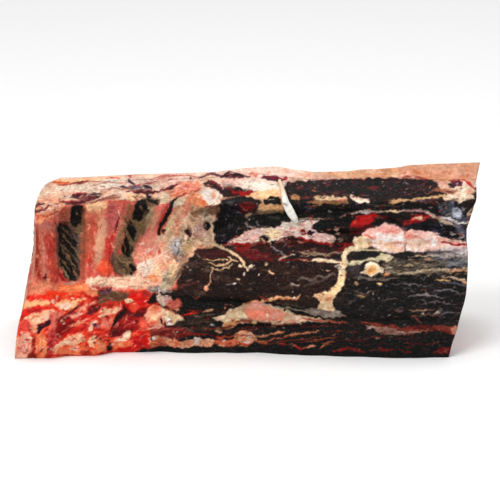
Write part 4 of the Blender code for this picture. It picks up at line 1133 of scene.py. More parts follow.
def paint_fat_seam(canvas):
    """The pale seam of fat from the membrane to the red patches, above the tenderloin."""
    under = [(312, 222), (326, 219), (345, 217), (362, 213), (356, 222), (348, 230), (340, 236), (318, 234)]
    canvas.patch(under, (26, 14, 15), soft=1.2, lift=-1.0)
    dark = [(232, 244), (258, 243), (280, 238), (300, 237), (330, 243), (352, 240), (352, 252), (320, 258),
            (290, 262), (262, 262), (240, 256)]
    canvas.patch(dark, deep_red, soft=1.5)
    seam = [
        (222, 246), (230, 242), (238, 237), (246, 232), (256, 229.5), (268, 228), (278, 226), (286, 221.5),
        (296, 220.5), (308, 220.5), (320, 220.5), (315, 225), (311, 229), (317, 233), (325, 234), (333, 235),
        (336.5, 239), (334, 242.5), (328, 243.5), (318, 242), (309, 239), (300, 236.5), (292, 235.5),
        (284, 237), (278, 240), (270, 241.5), (260, 241), (252, 243), (238, 243.5),
    ]
    canvas.patch(seam, seam_fat, soft=0.9, ragged=1.0, lift=1.0, gloss=0.5)
    canvas.patch([(262, 230), (280, 229), (283, 233), (278, 239), (270, 239), (265, 234)], (234, 206, 164),
                 soft=1.6)
    canvas.patch([(282, 223), (300, 221), (304, 225), (290, 228), (280, 227)], (204, 194, 178), soft=1.6,
                 lift=0.4)
    canvas.spot(249, 238, 16, 7, (238, 190, 180), soft=2.0, cover=0.9, angle=-10)
    canvas.spot(291, 227.6, 5, 2.6, (214, 128, 124), soft=1.0, cover=0.9)
    canvas.spot(302, 225, 8, 4, (230, 168, 158), soft=1.6, cover=0.9)
    canvas.spot(312, 223, 3, 3, (196, 110, 104), soft=1.0, cover=0.8)
    canvas.patch([(300.5, 229.5), (305, 229), (306, 234), (302, 235)], (112, 12, 28), soft=0.6, ragged=0.3,
                 lift=-1.6)
    canvas.patch([(307, 232), (311, 230.6), (315, 233), (311, 235.4), (307, 235)], (50, 26, 54), soft=0.6,
                 ragged=0.3, lift=-1.6)
    canvas.line([(309, 230.5), (314, 231), (317, 234)], 1.1, (206, 184, 190), soft=0.5)
    canvas.patch([(259, 237), (263, 235), (269, 236), (270, 239), (265, 242), (260, 241)], (26, 17, 17),
                 soft=0.7, ragged=0.3, lift=-1.8)
    canvas.line([(260, 237), (263, 240), (266, 242)], 1.8, (196, 158, 116), soft=0.6, lift=1.2)
    canvas.line([(268, 237), (270, 240), (270, 243)], 1.6, (214, 186, 146), soft=0.6, lift=0.6)
    canvas.spot(323, 238.6, 21, 8, (224, 182, 172), soft=1.2, angle=8, lift=0.8)
    canvas.line([(297, 236.5), (308, 239.5), (320, 243.3), (334, 244.4)], 2.2, (158, 28, 28), soft=0.8,
                lift=-0.2)
    canvas.line([(230, 243.6), (240, 244), (252, 244.6), (262, 243)], 2.0, (166, 34, 32), soft=0.9)
    canvas.line([(222, 245), (228, 244.4)], 1.6, (150, 30, 34), soft=0.6)
    canvas.patch([(236, 244), (250, 245), (256, 246), (248, 249), (241, 253), (236, 250)], (128, 22, 26),
                 soft=1.2)
    canvas.patch([(244, 252), (258, 250), (268, 256), (256, 260), (246, 258)], (86, 28, 32), soft=2.0)
    canvas.line([(271, 246), (276, 250), (284, 255)], 2.0, (150, 146, 150), soft=0.9, cover=0.85)
    canvas.line([(280, 242), (284, 241), (286, 245), (282, 248)], 1.3, (140, 132, 136), soft=0.7, cover=0.8)
    canvas.line([(281, 240), (284, 239.4)], 1.2, (190, 180, 176), soft=0.5, cover=0.8)
    canvas.line([(293, 251), (308, 253), (328, 254), (346, 252)], 1.6, (166, 146, 118), soft=0.7, cover=0.9)
    canvas.line([(300, 255.4), (318, 255), (330, 255.6)], 1.0, (196, 176, 140), soft=0.5, cover=0.9)
    canvas.line([(291, 254.6), (296, 255)], 1.3, (206, 196, 180), soft=0.5)
    canvas.line([(329.6, 246), (335, 247.4)], 1.3, (160, 152, 148), soft=0.5, cover=0.9)
    canvas.line([(304, 250.4), (309, 250.8)], 1.3, (146, 138, 132), soft=0.5, cover=0.9)
    canvas.line([(338, 243), (350, 245), (356, 244)], 2.4, (128, 22, 26), soft=1.0)
    canvas.spot(346, 245.6, 4, 2.2, (204, 54, 40), soft=0.7)


def paint_hip_corner(canvas):
    """The top right corner: the fat cap's end, the torn pale tip and the bluish film below it."""
    canvas.patch([(398, 166), (440, 164), (478, 163), (478, 182), (462, 181), (445, 183), (430, 178),
                  (400, 177)], tissue((222, 146, 104), (236, 176, 140), (244, 200, 168), grain=(7.0, 5.0)),
                 soft=2.0)
    canvas.spot(417, 172.4, 7, 3, (226, 122, 72), soft=1.4, cover=0.85)
    canvas.spot(405.5, 173, 2, 2, (206, 90, 60), soft=0.8)
    canvas.line([(402, 177), (414, 176.6), (424, 178), (432, 180)], 2.2, (168, 72, 60), soft=1.0, cover=0.9)
    canvas.spot(450, 174, 3, 2.4, (220, 120, 80), soft=1.0, cover=0.7)
    canvas.spot(463, 177, 10, 4, (234, 136, 98), soft=1.6, cover=0.7)
    canvas.patch([(432, 180), (446, 181), (450, 186), (448, 190), (440, 188), (438, 183)], (226, 168, 146),
                 soft=1.3)
    canvas.patch([(449.5, 180), (460, 180.6), (462, 185), (458, 186.5), (453, 184.6)], (74, 28, 44),
                 soft=0.8, lift=-0.6)
    canvas.line([(450, 180.5), (460, 180.6)], 1.6, (158, 36, 48), soft=0.6)
    canvas.spot(457.5, 183.4, 2.4, 2, (170, 150, 160), soft=0.7, cover=0.8)
    canvas.line([(463, 180.5), (468, 183), (472, 186), (474.5, 190)], 3.0, (190, 34, 22), soft=0.8,
                lift=-0.3)
    tip = [
        (440, 186), (450, 187.5), (462, 185.5), (472, 187), (477, 191), (471, 194), (475, 198), (464, 200.5),
        (460, 205), (452, 200.6), (445, 202.4), (441, 196), (448, 192),
    ]
    canvas.patch(tip, tissue((176, 136, 112), (222, 190, 162), (240, 222, 200), grain=(3.5, 2.6)), soft=1.0,
                 ragged=1.4, lift=0.8)
    canvas.spot(461, 188.6, 3, 2.4, (96, 92, 84), soft=0.9, cover=0.8)
    canvas.spot(470, 191.6, 7, 3.6, (232, 150, 120), soft=1.2, cover=0.85)
    canvas.patch([(426, 193), (433, 190), (441, 187.6), (450, 189), (457, 191), (452, 195), (440, 194)],
                 (168, 104, 80), soft=0.9, cover=0.95)
    canvas.line([(425, 195.4), (434, 192.6), (440, 194), (446, 195)], 1.8, (22, 14, 14), soft=0.6, lift=-0.6)
    canvas.line([(445, 191.6), (452, 192.4)], 2.0, (60, 38, 34), soft=0.8, cover=0.8)
    streak = [
        (388, 203), (393, 199.4), (399, 198.6), (402, 200), (412, 199), (422, 196.6), (440, 195),
        (449, 196.6), (440, 198), (430, 199), (418, 200.8), (410, 201.4), (400, 203), (394, 204),
    ]
    canvas.patch(streak, (204, 158, 112), soft=0.7, lift=0.6)
    canvas.line([(419, 198.6), (430, 197.6)], 1.8, (236, 206, 156), soft=0.6)
    canvas.line([(402, 195), (412, 193), (421, 189)], 1.2, (118, 68, 64), soft=0.6, cover=0.9)
    canvas.line([(419, 185), (425, 183.4)], 1.4, (132, 62, 74), soft=0.7, cover=0.9)
    canvas.line([(372, 206), (384, 205.6), (398, 207)], 2.4, (84, 66, 54), soft=1.2, cover=0.9)
    # the bluish film
    canvas.patch([(438, 206), (448, 203), (462, 203), (466, 212), (468, 224), (456, 224), (446, 219),
                  (440, 213)], tissue((26, 26, 32), (62, 64, 74), (118, 120, 132), grain=(4.0, 3.0)),
                 soft=1.4, gloss=0.6)
    canvas.patch([(453, 209), (458, 207), (462, 211), (462, 218), (456, 219), (452, 214)], (186, 190, 202),
                 soft=1.6, lift=0.4)
    canvas.spot(444, 207.6, 3.4, 3, (150, 120, 98), soft=1.0, cover=0.8)
    canvas.line([(462, 208), (464, 214)], 1.8, (52, 34, 48), soft=0.7)
    canvas.patch([(450, 201.4), (460, 203.4), (466, 203), (463, 209), (456, 206)], (18, 16, 22), soft=0.8,
                 lift=-0.6)
    canvas.spot(455, 199.6, 5, 2, (60, 52, 50), soft=0.8, cover=0.8)


def paint_inner_flank(canvas):
    """The roll of inner flank: film lines, red patches and the blue black muscle on the right."""
    canvas.patch([(346, 214), (380, 212), (430, 214), (440, 224), (404, 226), (376, 226), (352, 232)],
                 tissue((14, 10, 11), (30, 20, 22), (62, 34, 36), grain=(8.0, 3.0)), soft=1.2)
    film = [(352, 213.4), (360, 211.6), (368, 212), (376, 212.2), (386, 211.4), (397, 211.6), (404, 210.8),
            (412, 211.2), (421, 210.4), (429, 212.6)]
    canvas.line(film, 2.6, (170, 146, 132), soft=0.8, lift=0.5, taper=0.2)
    canvas.line([(360, 212.4), (370, 213)], 2.4, (206, 196, 196), soft=0.8, cover=0.9)
    canvas.line([(386, 211.6), (398, 211.8)], 2.4, (226, 196, 152), soft=0.7)
    canvas.line([(405, 211), (418, 210.2), (427, 212)], 1.6, (158, 110, 118), soft=0.7)
    canvas.line([(427, 212.6), (434, 216), (442, 221), (452, 225), (460, 228)], 3.6, (200, 172, 150),
                soft=0.9, lift=0.6)
    canvas.line([(440, 217), (448, 219.6), (458, 222), (467, 223)], 2.8, (216, 206, 200), soft=0.9, lift=0.4)
    canvas.line([(444, 219), (453, 224), (462, 226)], 1.0, (110, 60, 84), soft=0.5, cover=0.8)
    red_one = [
        (349, 229), (352, 222), (357, 217.4), (364, 214.6), (374, 214), (381, 216), (376, 219), (370, 223),
        (362, 226.6), (354, 230),
    ]
    canvas.patch(red_one, (164, 20, 24), soft=1.0, gloss=0.65, lift=0.4)
    canvas.spot(355, 222, 5, 4, (206, 74, 58), soft=1.6, cover=0.9)
    canvas.spot(366, 219, 12, 4, (186, 30, 30), soft=1.6, cover=0.8, angle=-20)
    canvas.patch([(350, 229), (362, 227), (372, 223), (372, 229), (360, 234), (350, 236)], (70, 16, 20),
                 soft=1.4)
    canvas.spot(382, 217.6, 5, 3, (110, 60, 52), soft=1.2, cover=0.8)
    red_two = [
        (403, 224), (410, 218.6), (416, 215.4), (422, 214), (430, 215), (431, 219), (424, 220.6),
        (414, 221.6), (408, 225),
    ]
    canvas.patch(red_two, (140, 20, 30), soft=0.9, gloss=0.6)
    canvas.line([(414, 215), (423, 214.6)], 1.6, (190, 34, 36), soft=0.6)
    canvas.patch([(412, 219.6), (418, 216.6), (422, 216.4), (425, 219.8)], (240, 190, 152), soft=0.6,
                 ragged=0.4, lift=0.5)
    canvas.line([(411, 220), (417, 219)], 1.4, (226, 96, 76), soft=0.6)
    blue = [
        (394, 223), (404, 227), (412, 223), (425, 221.4), (434, 221), (439, 224), (448, 226), (458, 229),
        (469, 232), (468, 239.4), (455, 238.4), (440, 235), (428, 231), (415, 230), (402, 231),
    ]
    canvas.patch(blue, tissue((12, 11, 15), (26, 24, 31), (62, 60, 74), grain=(10.0, 3.0), angle=16),
                 soft=0.9, gloss=0.55)
    canvas.patch([(452, 225), (464, 224), (467, 230), (466, 236), (458, 232)], (96, 92, 110), soft=1.8,
                 cover=0.85)
    canvas.line([(430, 224), (440, 227)], 1.6, (74, 72, 88), soft=0.9, cover=0.7)
    canvas.line([(408, 226), (424, 226.6)], 1.3, (64, 54, 58), soft=0.8, cover=0.8)


def paint_upper_suet(canvas):
    """The pink and white lumps of kidney fat above the tenderloin."""
    canvas.patch([(430, 239), (450, 240), (470, 242), (470, 262), (440, 262), (426, 256)],
                 tissue((60, 58, 62), (112, 106, 108), (176, 160, 152), grain=(8.0, 2.6), angle=4), soft=1.4)
    first = [
        (361, 234), (370, 228.6), (380, 226.4), (384, 222.4), (390, 224), (398, 226), (403.5, 231),
        (406.5, 238), (404.5, 246), (404.5, 251.6), (396, 253), (388, 252.6), (380, 249.6), (372, 247),
        (367, 242),
    ]
    canvas.patch(first, tissue((232, 166, 152), (246, 208, 196), (252, 234, 226), grain=(6.0, 4.0)),
                 soft=0.9, ragged=1.0, lift=0.8, gloss=0.55)
    canvas.spot(388, 229, 28, 7, (234, 156, 146), soft=2.2, cover=0.9)
    canvas.spot(392, 231.6, 12, 3, (226, 116, 100), soft=1.6, cover=0.7)
    canvas.line([(364, 235), (370, 237.6), (376, 238)], 3.4, (220, 84, 70), soft=1.2, cover=0.9)
    canvas.spot(370, 232, 10, 6, (236, 168, 156), soft=1.8, cover=0.8)
    canvas.spot(384, 241, 16, 12, (250, 232, 226), soft=2.5, lift=1.0)
    canvas.spot(399, 240, 12, 10, (252, 240, 236), soft=2.0, lift=1.2)
    canvas.spot(390, 246.6, 13, 7, (238, 190, 150), soft=2.0, cover=0.85)
    canvas.spot(398, 249.6, 9, 4, (240, 200, 164), soft=1.6, cover=0.9)
    canvas.spot(381, 243, 3, 4, (232, 150, 96), soft=1.2, cover=0.6)
    canvas.line([(404.6, 234), (407.6, 240), (405.4, 250)], 1.2, (196, 118, 104), soft=0.6, lift=-1.2)
    second = [
        (405.5, 232), (412, 230), (422, 231), (431, 232), (440, 236), (450, 239), (462, 241), (470, 244),
        (468, 248), (470, 252), (455, 250.6), (440, 249.6), (430, 250.6), (418, 252), (406, 251.4),
        (405, 242),
    ]
    canvas.patch(second, tissue((230, 158, 142), (242, 198, 184), (250, 226, 214), grain=(8.0, 4.0)),
                 soft=0.9, ragged=1.0, lift=0.6, gloss=0.55)
    canvas.spot(411, 236, 9, 5, (222, 122, 104), soft=1.8, cover=0.9)
    canvas.line([(408, 239.4), (418, 237)], 1.2, (206, 90, 76), soft=0.7, cover=0.8)
    canvas.spot(424, 233.6, 22, 5, (236, 176, 166), soft=1.8, cover=0.85, angle=6)
    canvas.spot(418, 243, 20, 10, (246, 216, 194), soft=2.5, lift=0.8)
    canvas.spot(434, 242, 5, 9, (252, 246, 240), soft=1.6, lift=0.6)
    canvas.spot(430, 238, 10, 5, (248, 216, 208), soft=1.6)
    canvas.line([(436, 237.4), (450, 241), (460, 242)], 2.0, (226, 158, 146), soft=1.0, cover=0.8)
    canvas.line([(441, 241.4), (452, 244.4), (467, 244.6)], 2.4, (132, 22, 26), soft=0.7, lift=-0.6)
    canvas.line([(450, 240), (460, 240.6), (469, 241)], 2.0, (172, 148, 132), soft=0.9, cover=0.9)
    canvas.patch([(440, 246), (456, 247), (469, 247), (468, 255), (452, 254), (440, 250)], (206, 192, 194),
                 soft=1.6, cover=0.9)
    canvas.spot(443, 247, 8, 4, (240, 214, 196), soft=1.4)
    lump = [
        (353, 241), (355, 237.6), (361, 235.6), (366, 237), (371, 241), (371, 247), (362, 249.4), (356, 251),
        (354.6, 246),
    ]
    canvas.patch(lump, tissue((222, 180, 136), (240, 214, 178), (248, 232, 206), grain=(4.0, 4.0)), soft=0.8,
                 lift=1.4)
    canvas.spot(369, 244.6, 3, 5, (206, 150, 112), soft=1.0, cover=0.8)


fillet_left = tissue((26, 19, 18), (41, 31, 28), (58, 46, 41), grain=(24.0, 5.0), angle=5)
fillet_right = tissue((13, 13, 15), (25, 24, 26), (50, 49, 52), grain=(14.0, 2.2), angle=3)


def paint_fillet(canvas):
    """The tenderloin: smooth brown black on the left, darker and split into fibres on the right."""
    area = [
        (196, 249), (212, 246), (232, 252), (250, 258), (290, 259), (345, 256), (395, 253), (470, 249),
        (470, 332), (420, 328), (365, 324), (330, 320), (300, 316), (270, 304), (230, 304), (160, 302),
        (166, 294), (173, 286), (178, 276), (183, 266), (189, 256),
    ]
    canvas.patch(area, fillet_left, soft=1.2, ragged=1.2, gloss=0.5)
    right = [(356, 279), (400, 276), (430, 273), (475, 268), (475, 334), (400, 330), (360, 324), (340, 306)]
    canvas.patch(right, fillet_right, soft=9.0, ragged=3.0)
    canvas.patch([(198, 250), (224, 250), (232, 255), (224, 258), (206, 258), (199, 255)], (52, 20, 23),
                 soft=1.2)
    canvas.patch([(345, 264), (362, 264), (360, 272), (366, 276), (352, 275), (346, 272)], (62, 54, 55),
                 soft=2.0)
    crease = [(160, 297), (185, 297), (230, 299), (262, 299), (256, 302), (243, 305), (230, 308), (222, 311),
              (205, 311), (176, 309), (162, 303)]
    # the crease is painted near-black: painted shade in the fold
    canvas.patch(crease, (7, 5, 6), soft=1.4, lift=-2.0)
    canvas.patch([(394, 254), (410, 252), (425, 252.6), (442, 251.6), (430, 256.4), (415, 259.6),
                  (396, 260)], (20, 14, 15), soft=0.8, lift=-0.5)


def paint_fillet_films(canvas):
    """Grey and olive films, fibres and pale specks on the tenderloin."""
    canvas.patch([(384, 262), (396, 260), (415, 259), (440, 252), (468, 254), (468, 270), (430, 274),
                  (386, 274)], tissue((38, 34, 34), (96, 86, 76), (166, 146, 120), grain=(14.0, 2.0),
                                      angle=-5), soft=1.6)
    canvas.patch([(438, 252), (468, 250), (468, 268), (446, 266)],
                 tissue((44, 46, 54), (96, 98, 106), (170, 166, 168), grain=(10.0, 2.2), angle=4), soft=2.0,
                 cover=0.85)
    streaks = [
        ([(380, 274), (390, 273.4), (402, 273.4), (414, 272), (428, 270), (442, 269), (456, 269)], 2.6,
         (190, 168, 138)),
        ([(408, 262.6), (420, 261.4), (432, 258), (442, 253)], 2.2, (164, 134, 106)),
        ([(398, 266), (410, 265.4), (421, 268)], 2.4, (176, 152, 120)),
        ([(396, 263), (404, 262), (412, 260.4)], 1.6, (150, 140, 120)),
        ([(424, 259), (434, 256), (446, 253.6)], 3.0, (170, 122, 96)),
        ([(446, 271), (456, 270.4), (468, 270.6)], 3.4, (204, 148, 116)),
        ([(442, 277), (452, 277.6), (468, 280.6)], 2.0, (208, 190, 164)),
        ([(440, 274.4), (454, 275), (468, 275.4)], 1.8, (20, 16, 18)),
        ([(435, 281), (442, 279.8), (450, 281)], 1.6, (226, 192, 128)),
        ([(446, 283), (456, 283.4), (468, 287)], 2.6, (82, 90, 104)),
        ([(462, 281), (468, 284)], 3.0, (196, 160, 132)),
        ([(420, 290), (427, 290.6)], 1.3, (140, 90, 72)),
        ([(410, 295.4), (428, 295)], 1.0, (98, 92, 86)),
        ([(420, 300), (425, 300.4), (425.6, 304)], 1.3, (104, 104, 106)),
        ([(433, 314.4), (438, 312.4), (443, 310)], 1.9, (196, 182, 158)),
        ([(436, 316), (442, 314.4), (447, 311)], 2.4, (88, 94, 108)),
        ([(410, 317), (415, 316.4), (417, 320), (421, 322)], 1.8, (156, 90, 72)),
        ([(352, 277.6), (362, 277), (372, 280), (386, 279.6), (398, 278)], 2.6, (104, 98, 92)),
        ([(354, 295), (362, 295.6), (370, 295)], 1.2, (84, 76, 68)),
        ([(342, 293), (352, 294)], 1.0, (74, 66, 62)),
        ([(348, 305), (351, 301)], 2.2, (96, 84, 68)),
    ]
    for points, width, colour in streaks:
        canvas.line(points, width, colour, soft=0.7, ragged=0.6, cover=0.92, lift=0.4, taper=0.7)
    canvas.spot(387, 274, 6, 3.4, (222, 142, 92), soft=1.0, cover=0.9)
    canvas.scatter([(398, 284), (468, 284), (462, 325), (404, 325)], 120, (3, 10), (0.6, 1.3),
                   [(72, 72, 78), (56, 54, 58), (92, 88, 88), (84, 52, 46), (12, 11, 13), (12, 11, 13)],
                   angle=3, spread=7, cover=0.65, lift=0.5)
    canvas.scatter([(455, 286), (468, 286), (464, 322), (454, 322)], 40, (3, 7), (0.8, 1.6),
                   [(12, 10, 12), (70, 38, 36), (84, 70, 66)], angle=0, spread=6, cover=0.7, lift=0.6)
    canvas.scatter([(345, 280), (400, 280), (400, 318), (345, 318)], 40, (1.5, 4), (0.6, 1.1),
                   [(70, 62, 56), (92, 84, 76), (22, 18, 18)], angle=4, spread=20, cover=0.6)
    specks = [
        (379, 284.4, 4.6, 2.2, (214, 192, 142)),
        (362, 305.8, 3.2, 2.4, (152, 140, 126)),
        (374, 293.4, 1.8, 2, WHITE),
        (423, 313, 2.6, 2.6, (206, 190, 150)),
        (390, 315.4, 1.8, 1.4, (180, 172, 168)),
        (404, 324, 2.0, 1.4, GREY),
        (357, 283, 4.4, 4, (152, 126, 96)),
        (361, 296.6, 6, 3, (136, 116, 82)),
        (328, 270.4, 3.4, 1.8, (240, 196, 156)),
        (190, 270, 2.2, 2.2, (120, 112, 110)),
        (241, 266, 3.4, 3.2, (214, 196, 166)),
        (266, 264, 4, 2, (196, 176, 140)),
        (259, 275, 2, 2, (220, 206, 178)),
        (243.4, 274.6, 3.2, 3, (222, 212, 196)),
        (237.6, 279, 4, 1.6, (186, 172, 132)),
        (251, 266.4, 3.4, 2.4, (236, 230, 222)),
        (288, 263, 2, 1.6, (96, 100, 104)),
        (293, 267, 2.4, 2, (86, 88, 96)),
        (234, 284, 3, 1.7, (226, 220, 212)),
        (399, 311, 8, 3, (84, 66, 60)),
        (421, 284, 2, 2, (100, 84, 80)),
    ]
    for x, y, across, down, colour in specks:
        canvas.spot(x, y, across, down, colour, soft=0.6, ragged=0.4, lift=0.4)
    canvas.line([(225, 284.2), (233, 284.4)], 1.0, (104, 96, 92), soft=0.5)
    canvas.line([(268, 271), (271, 273.6), (274, 274)], 2.2, (206, 172, 138), soft=0.7, ragged=0.5)
    # the grey cloud left of the large vein
    cloud = [
        ([(291, 284.6), (300, 284.6)], 1.3, (204, 196, 186)),
        ([(298, 280), (302, 277), (308, 279.6), (314, 281)], 1.8, (124, 114, 108)),
        ([(313, 280), (317, 275.6), (324, 278), (330, 275.6), (336, 276)], 2.4, (120, 110, 104)),
        ([(310, 283), (320, 281.6), (328, 280)], 2.2, (84, 74, 70)),
        ([(303, 285.6), (314, 284)], 1.4, (76, 68, 64)),
    ]
    for points, width, colour in cloud:
        canvas.line(points, width, colour, soft=1.2, ragged=1.0, cover=0.85, taper=0.6)


def paint_veins(canvas):
    """Threads and veins of fat on the tenderloin."""
    canvas.spot(208, 270, 9, 6, (104, 88, 78), soft=1.8, cover=0.7)
    threads = [
        ([(210, 243.6), (220, 246.6), (230, 251.6), (237, 255), (241, 260), (245, 266), (247.4, 271)], 3.0,
         (214, 184, 146)),
        ([(204, 259), (214, 260.2), (228, 260.4)], 1.3, (224, 190, 142)),
        ([(228, 256.6), (231, 260)], 1.6, (214, 184, 140)),
        ([(209, 263), (217, 265.4), (225, 265), (232, 260.6), (238, 262)], 2.0, (196, 168, 130)),
        ([(211, 268.4), (220, 269), (227, 267.6), (233, 264)], 1.7, (190, 166, 132)),
        ([(246, 269), (249, 266.6), (255, 265)], 1.6, (206, 196, 180)),
        ([(213, 269), (211, 275), (210, 281), (207, 287)], 1.7, (198, 154, 124)),
        ([(278, 260), (286, 256), (292, 255)], 1.8, (190, 166, 142)),
        ([(300, 259.6), (312, 260), (322, 260.4)], 1.2, (186, 140, 112)),
        ([(280, 260.4), (300, 260)], 1.2, (112, 26, 22)),
    ]
    for points, width, colour in threads:
        canvas.line(points, width, colour, soft=0.6, ragged=0.7, cover=0.95, lift=0.7, taper=0.4)
    canvas.spot(206, 288.4, 4.6, 4.6, (222, 160, 126), soft=0.8, lift=0.5)
    # the hook of fat under the kidney fat
    canvas.patch([(352, 256), (358, 252.4), (370, 251.6), (386, 252), (381, 255.4), (362, 258)], (14, 9, 9),
                 soft=0.7)
    canvas.line([(354, 251), (362, 250.2), (376, 250.4), (394, 251.6)], 1.8, (222, 202, 160), soft=0.6,
                lift=0.6)
    canvas.patch([(346, 264), (352, 260.6), (365, 259.2), (376, 257.8), (381, 254.8), (385, 253), (391, 254),
                  (394.5, 257), (392, 260), (380, 260.4), (368, 261.8), (356, 263.8), (350, 265.4)],
                 tissue((160, 146, 118), (204, 188, 152), (228, 214, 184), grain=(6.0, 3.0)), soft=0.8,
                 lift=1.0)
    canvas.line([(344.6, 262), (344.2, 256), (346.6, 252), (352, 249.4), (357, 247.4)], 5.4, (232, 208, 168),
                soft=0.8, lift=1.4, taper=0.1)
    canvas.line([(312, 260), (322, 260), (334, 261.4), (345, 262.4)], 3.0, (226, 206, 172), soft=0.7,
                lift=0.9, taper=0.3)
    # the large vein and its foot
    vein = tissue((196, 164, 124), (226, 200, 160), (240, 222, 190), grain=(4.0, 6.0), angle=15)
    canvas.line([(345, 262), (341.6, 268), (342.4, 275), (342, 282), (338.6, 288), (333, 293), (325, 297)],
                7.4, vein, soft=0.9, ragged=1.0, lift=1.8, taper=0.05)
    canvas.line([(335, 267), (340, 267), (343, 271)], 3.4, (186, 182, 180), soft=1.2, cover=0.9, lift=0.3)
    canvas.spot(341, 281, 4, 6, (214, 168, 122), soft=1.6, cover=0.6)
    foot = [
        (311, 297), (319, 294.4), (325, 290.6), (331, 293), (339, 291), (335, 298), (333.4, 304), (335, 311),
        (326, 311), (316, 309), (320, 303), (318, 299),
    ]
    canvas.patch(foot, tissue((176, 138, 108), (212, 176, 138), (230, 204, 168), grain=(4.0, 4.0)), soft=0.9,
                 lift=1.2)
    canvas.spot(329, 300, 7, 6, (214, 146, 104), soft=1.6, cover=0.75)
    canvas.patch([(304, 310), (315, 308.6), (325, 311), (336, 310.6), (346, 316.6), (338, 318.4),
                  (327, 316.4), (314, 314)], tissue((104, 92, 86), (150, 134, 122), (190, 172, 156),
                                                    grain=(6.0, 2.4), angle=12), soft=1.2, lift=0.4)
    canvas.line([(262, 300), (270, 299.6), (278, 297.4), (288, 298), (296, 298.6), (300, 294.6)], 2.8,
                (202, 156, 114), soft=0.8, lift=0.6)
    canvas.line([(278, 299.8), (288, 299.8), (297, 300)], 1.1, (188, 104, 66), soft=0.5)
    canvas.spot(293.4, 297, 3.2, 2.4, (226, 222, 218), soft=0.7, lift=0.4)
    canvas.line([(260, 297), (268, 299.6)], 1.6, (124, 60, 48), soft=0.7)
    # the rosette
    rosette = [(361, 272.6), (365, 269), (366.4, 264), (371, 262), (376.4, 263), (380, 266.4), (385.4, 269),
               (384, 271.6), (379, 273), (375, 275.4), (371, 278.4), (367, 275)]
    # a painted shadow under the rosette: a dark copy of its outline, set a little lower and to the right
    canvas.patch([(x + 0.6, y + 1.4) for x, y in rosette], (20, 16, 16), soft=1.2, cover=0.8)
    canvas.patch(rosette, (232, 208, 176), soft=0.8, ragged=0.9, lift=1.6)
    canvas.spot(371.6, 269.4, 13, 10, (238, 206, 164), soft=1.0, lift=0.6)
    canvas.spot(371.4, 270, 11, 7.6, (234, 174, 112), soft=1.4, lift=-0.4, angle=-20)
    canvas.spot(370, 269.6, 4.6, 3.4, (218, 146, 86), soft=0.9)
    canvas.line([(364, 268), (367, 265), (372, 263.6), (377, 265)], 1.6, (248, 232, 208), soft=0.7,
                ragged=0.5)


def paint_lower_edge(canvas):
    """The red brown layers and the crumbs of fat along the bottom."""
    under = [
        (158, 302), (222, 310), (262, 322), (300, 322), (360, 320), (470, 326), (470, 372), (120, 372),
        (130, 350), (160, 330), (164, 312),
    ]
    canvas.patch(under, tissue((9, 7, 8), (26, 20, 19), (58, 42, 36), grain=(16.0, 2.2), angle=2), soft=1.4)
    canvas.patch([(160, 310), (200, 312), (214, 318), (214, 332), (200, 336), (160, 330)],
                 tissue((22, 18, 17), (42, 35, 31), (62, 50, 44), grain=(10.0, 4.0)), soft=1.6)
    band = [
        (357, 322), (370, 321.6), (385, 324.6), (400, 326.6), (415, 325.6), (430, 325.4), (445, 326.4),
        (456, 325.6), (460, 330), (456, 335), (445, 333), (430, 331), (415, 331.6), (395, 331), (375, 328),
    ]
    canvas.patch(band, tissue((70, 26, 22), (124, 54, 42), (166, 88, 66), grain=(12.0, 2.0), angle=4),
                 soft=1.0)
    canvas.patch([(365, 326), (372, 327), (380, 327), (390, 328), (400, 331), (415, 330.6), (431, 329.6),
                  (420, 332), (405, 334.2), (390, 334.8), (380, 333.6), (372, 330.4)],
                 tissue((130, 100, 88), (166, 132, 116), (192, 166, 150), grain=(7.0, 2.0), angle=4),
                 soft=0.8, lift=0.6)
    canvas.spot(369.4, 328, 5, 2, (194, 174, 160), soft=0.8)
    canvas.patch([(450, 327), (457, 326.4), (459.6, 330), (456, 334.6), (451, 331)], (202, 142, 118),
                 soft=1.0)
    canvas.line([(351, 340), (362, 339.6), (372, 337), (386, 335)], 1.5, (142, 84, 66), soft=0.7, lift=0.4)
    canvas.scatter([(300, 324), (455, 334), (450, 350), (300, 348)], 90, (3, 10), (0.6, 1.4),
                   [(84, 26, 22), (58, 22, 20), (92, 60, 48), (10, 8, 9)], angle=-1, spread=8, cover=0.7,
                   lift=0.4)
    red = [
        ([(332, 351), (340, 350), (350, 348.6), (358, 350.6), (365, 352)], 3.4, (166, 26, 24)),
        ([(337, 350.4), (346, 350.6)], 1.8, (214, 52, 38)),
        ([(378, 348), (384, 350.8), (392, 351)], 2.2, (184, 62, 48)),
        ([(391, 351), (392.4, 348)], 1.8, (172, 44, 36)),
        ([(398, 348), (404, 351.6), (412, 352)], 2.0, (152, 30, 26)),
        ([(405, 345.6), (409, 348)], 1.8, (140, 74, 62)),
        ([(375, 350), (380, 350)], 1.2, (150, 116, 90)),
    ]
    for points, width, colour in red:
        canvas.line(points, width, colour, soft=0.7, ragged=0.8, lift=0.6, taper=0.6)
    canvas.spot(354.6, 352.6, 2.0, 1.6, (220, 196, 196), soft=0.5)
    corner = [
        (440, 350), (446, 347.6), (452, 347), (454, 350), (451, 353), (445, 354.6), (438, 354.6), (433, 353),
    ]
    canvas.patch(corner, (150, 44, 38), soft=0.9, lift=0.6)
    canvas.spot(447, 350, 5, 2.4, (206, 130, 104), soft=1.0, angle=-35, lift=0.4)
    canvas.line([(433, 352.6), (441, 353), (448, 352)], 1.8, (190, 96, 76), soft=0.7)
    canvas.spot(446, 352.6, 2, 2.4, (242, 200, 176), soft=0.6)


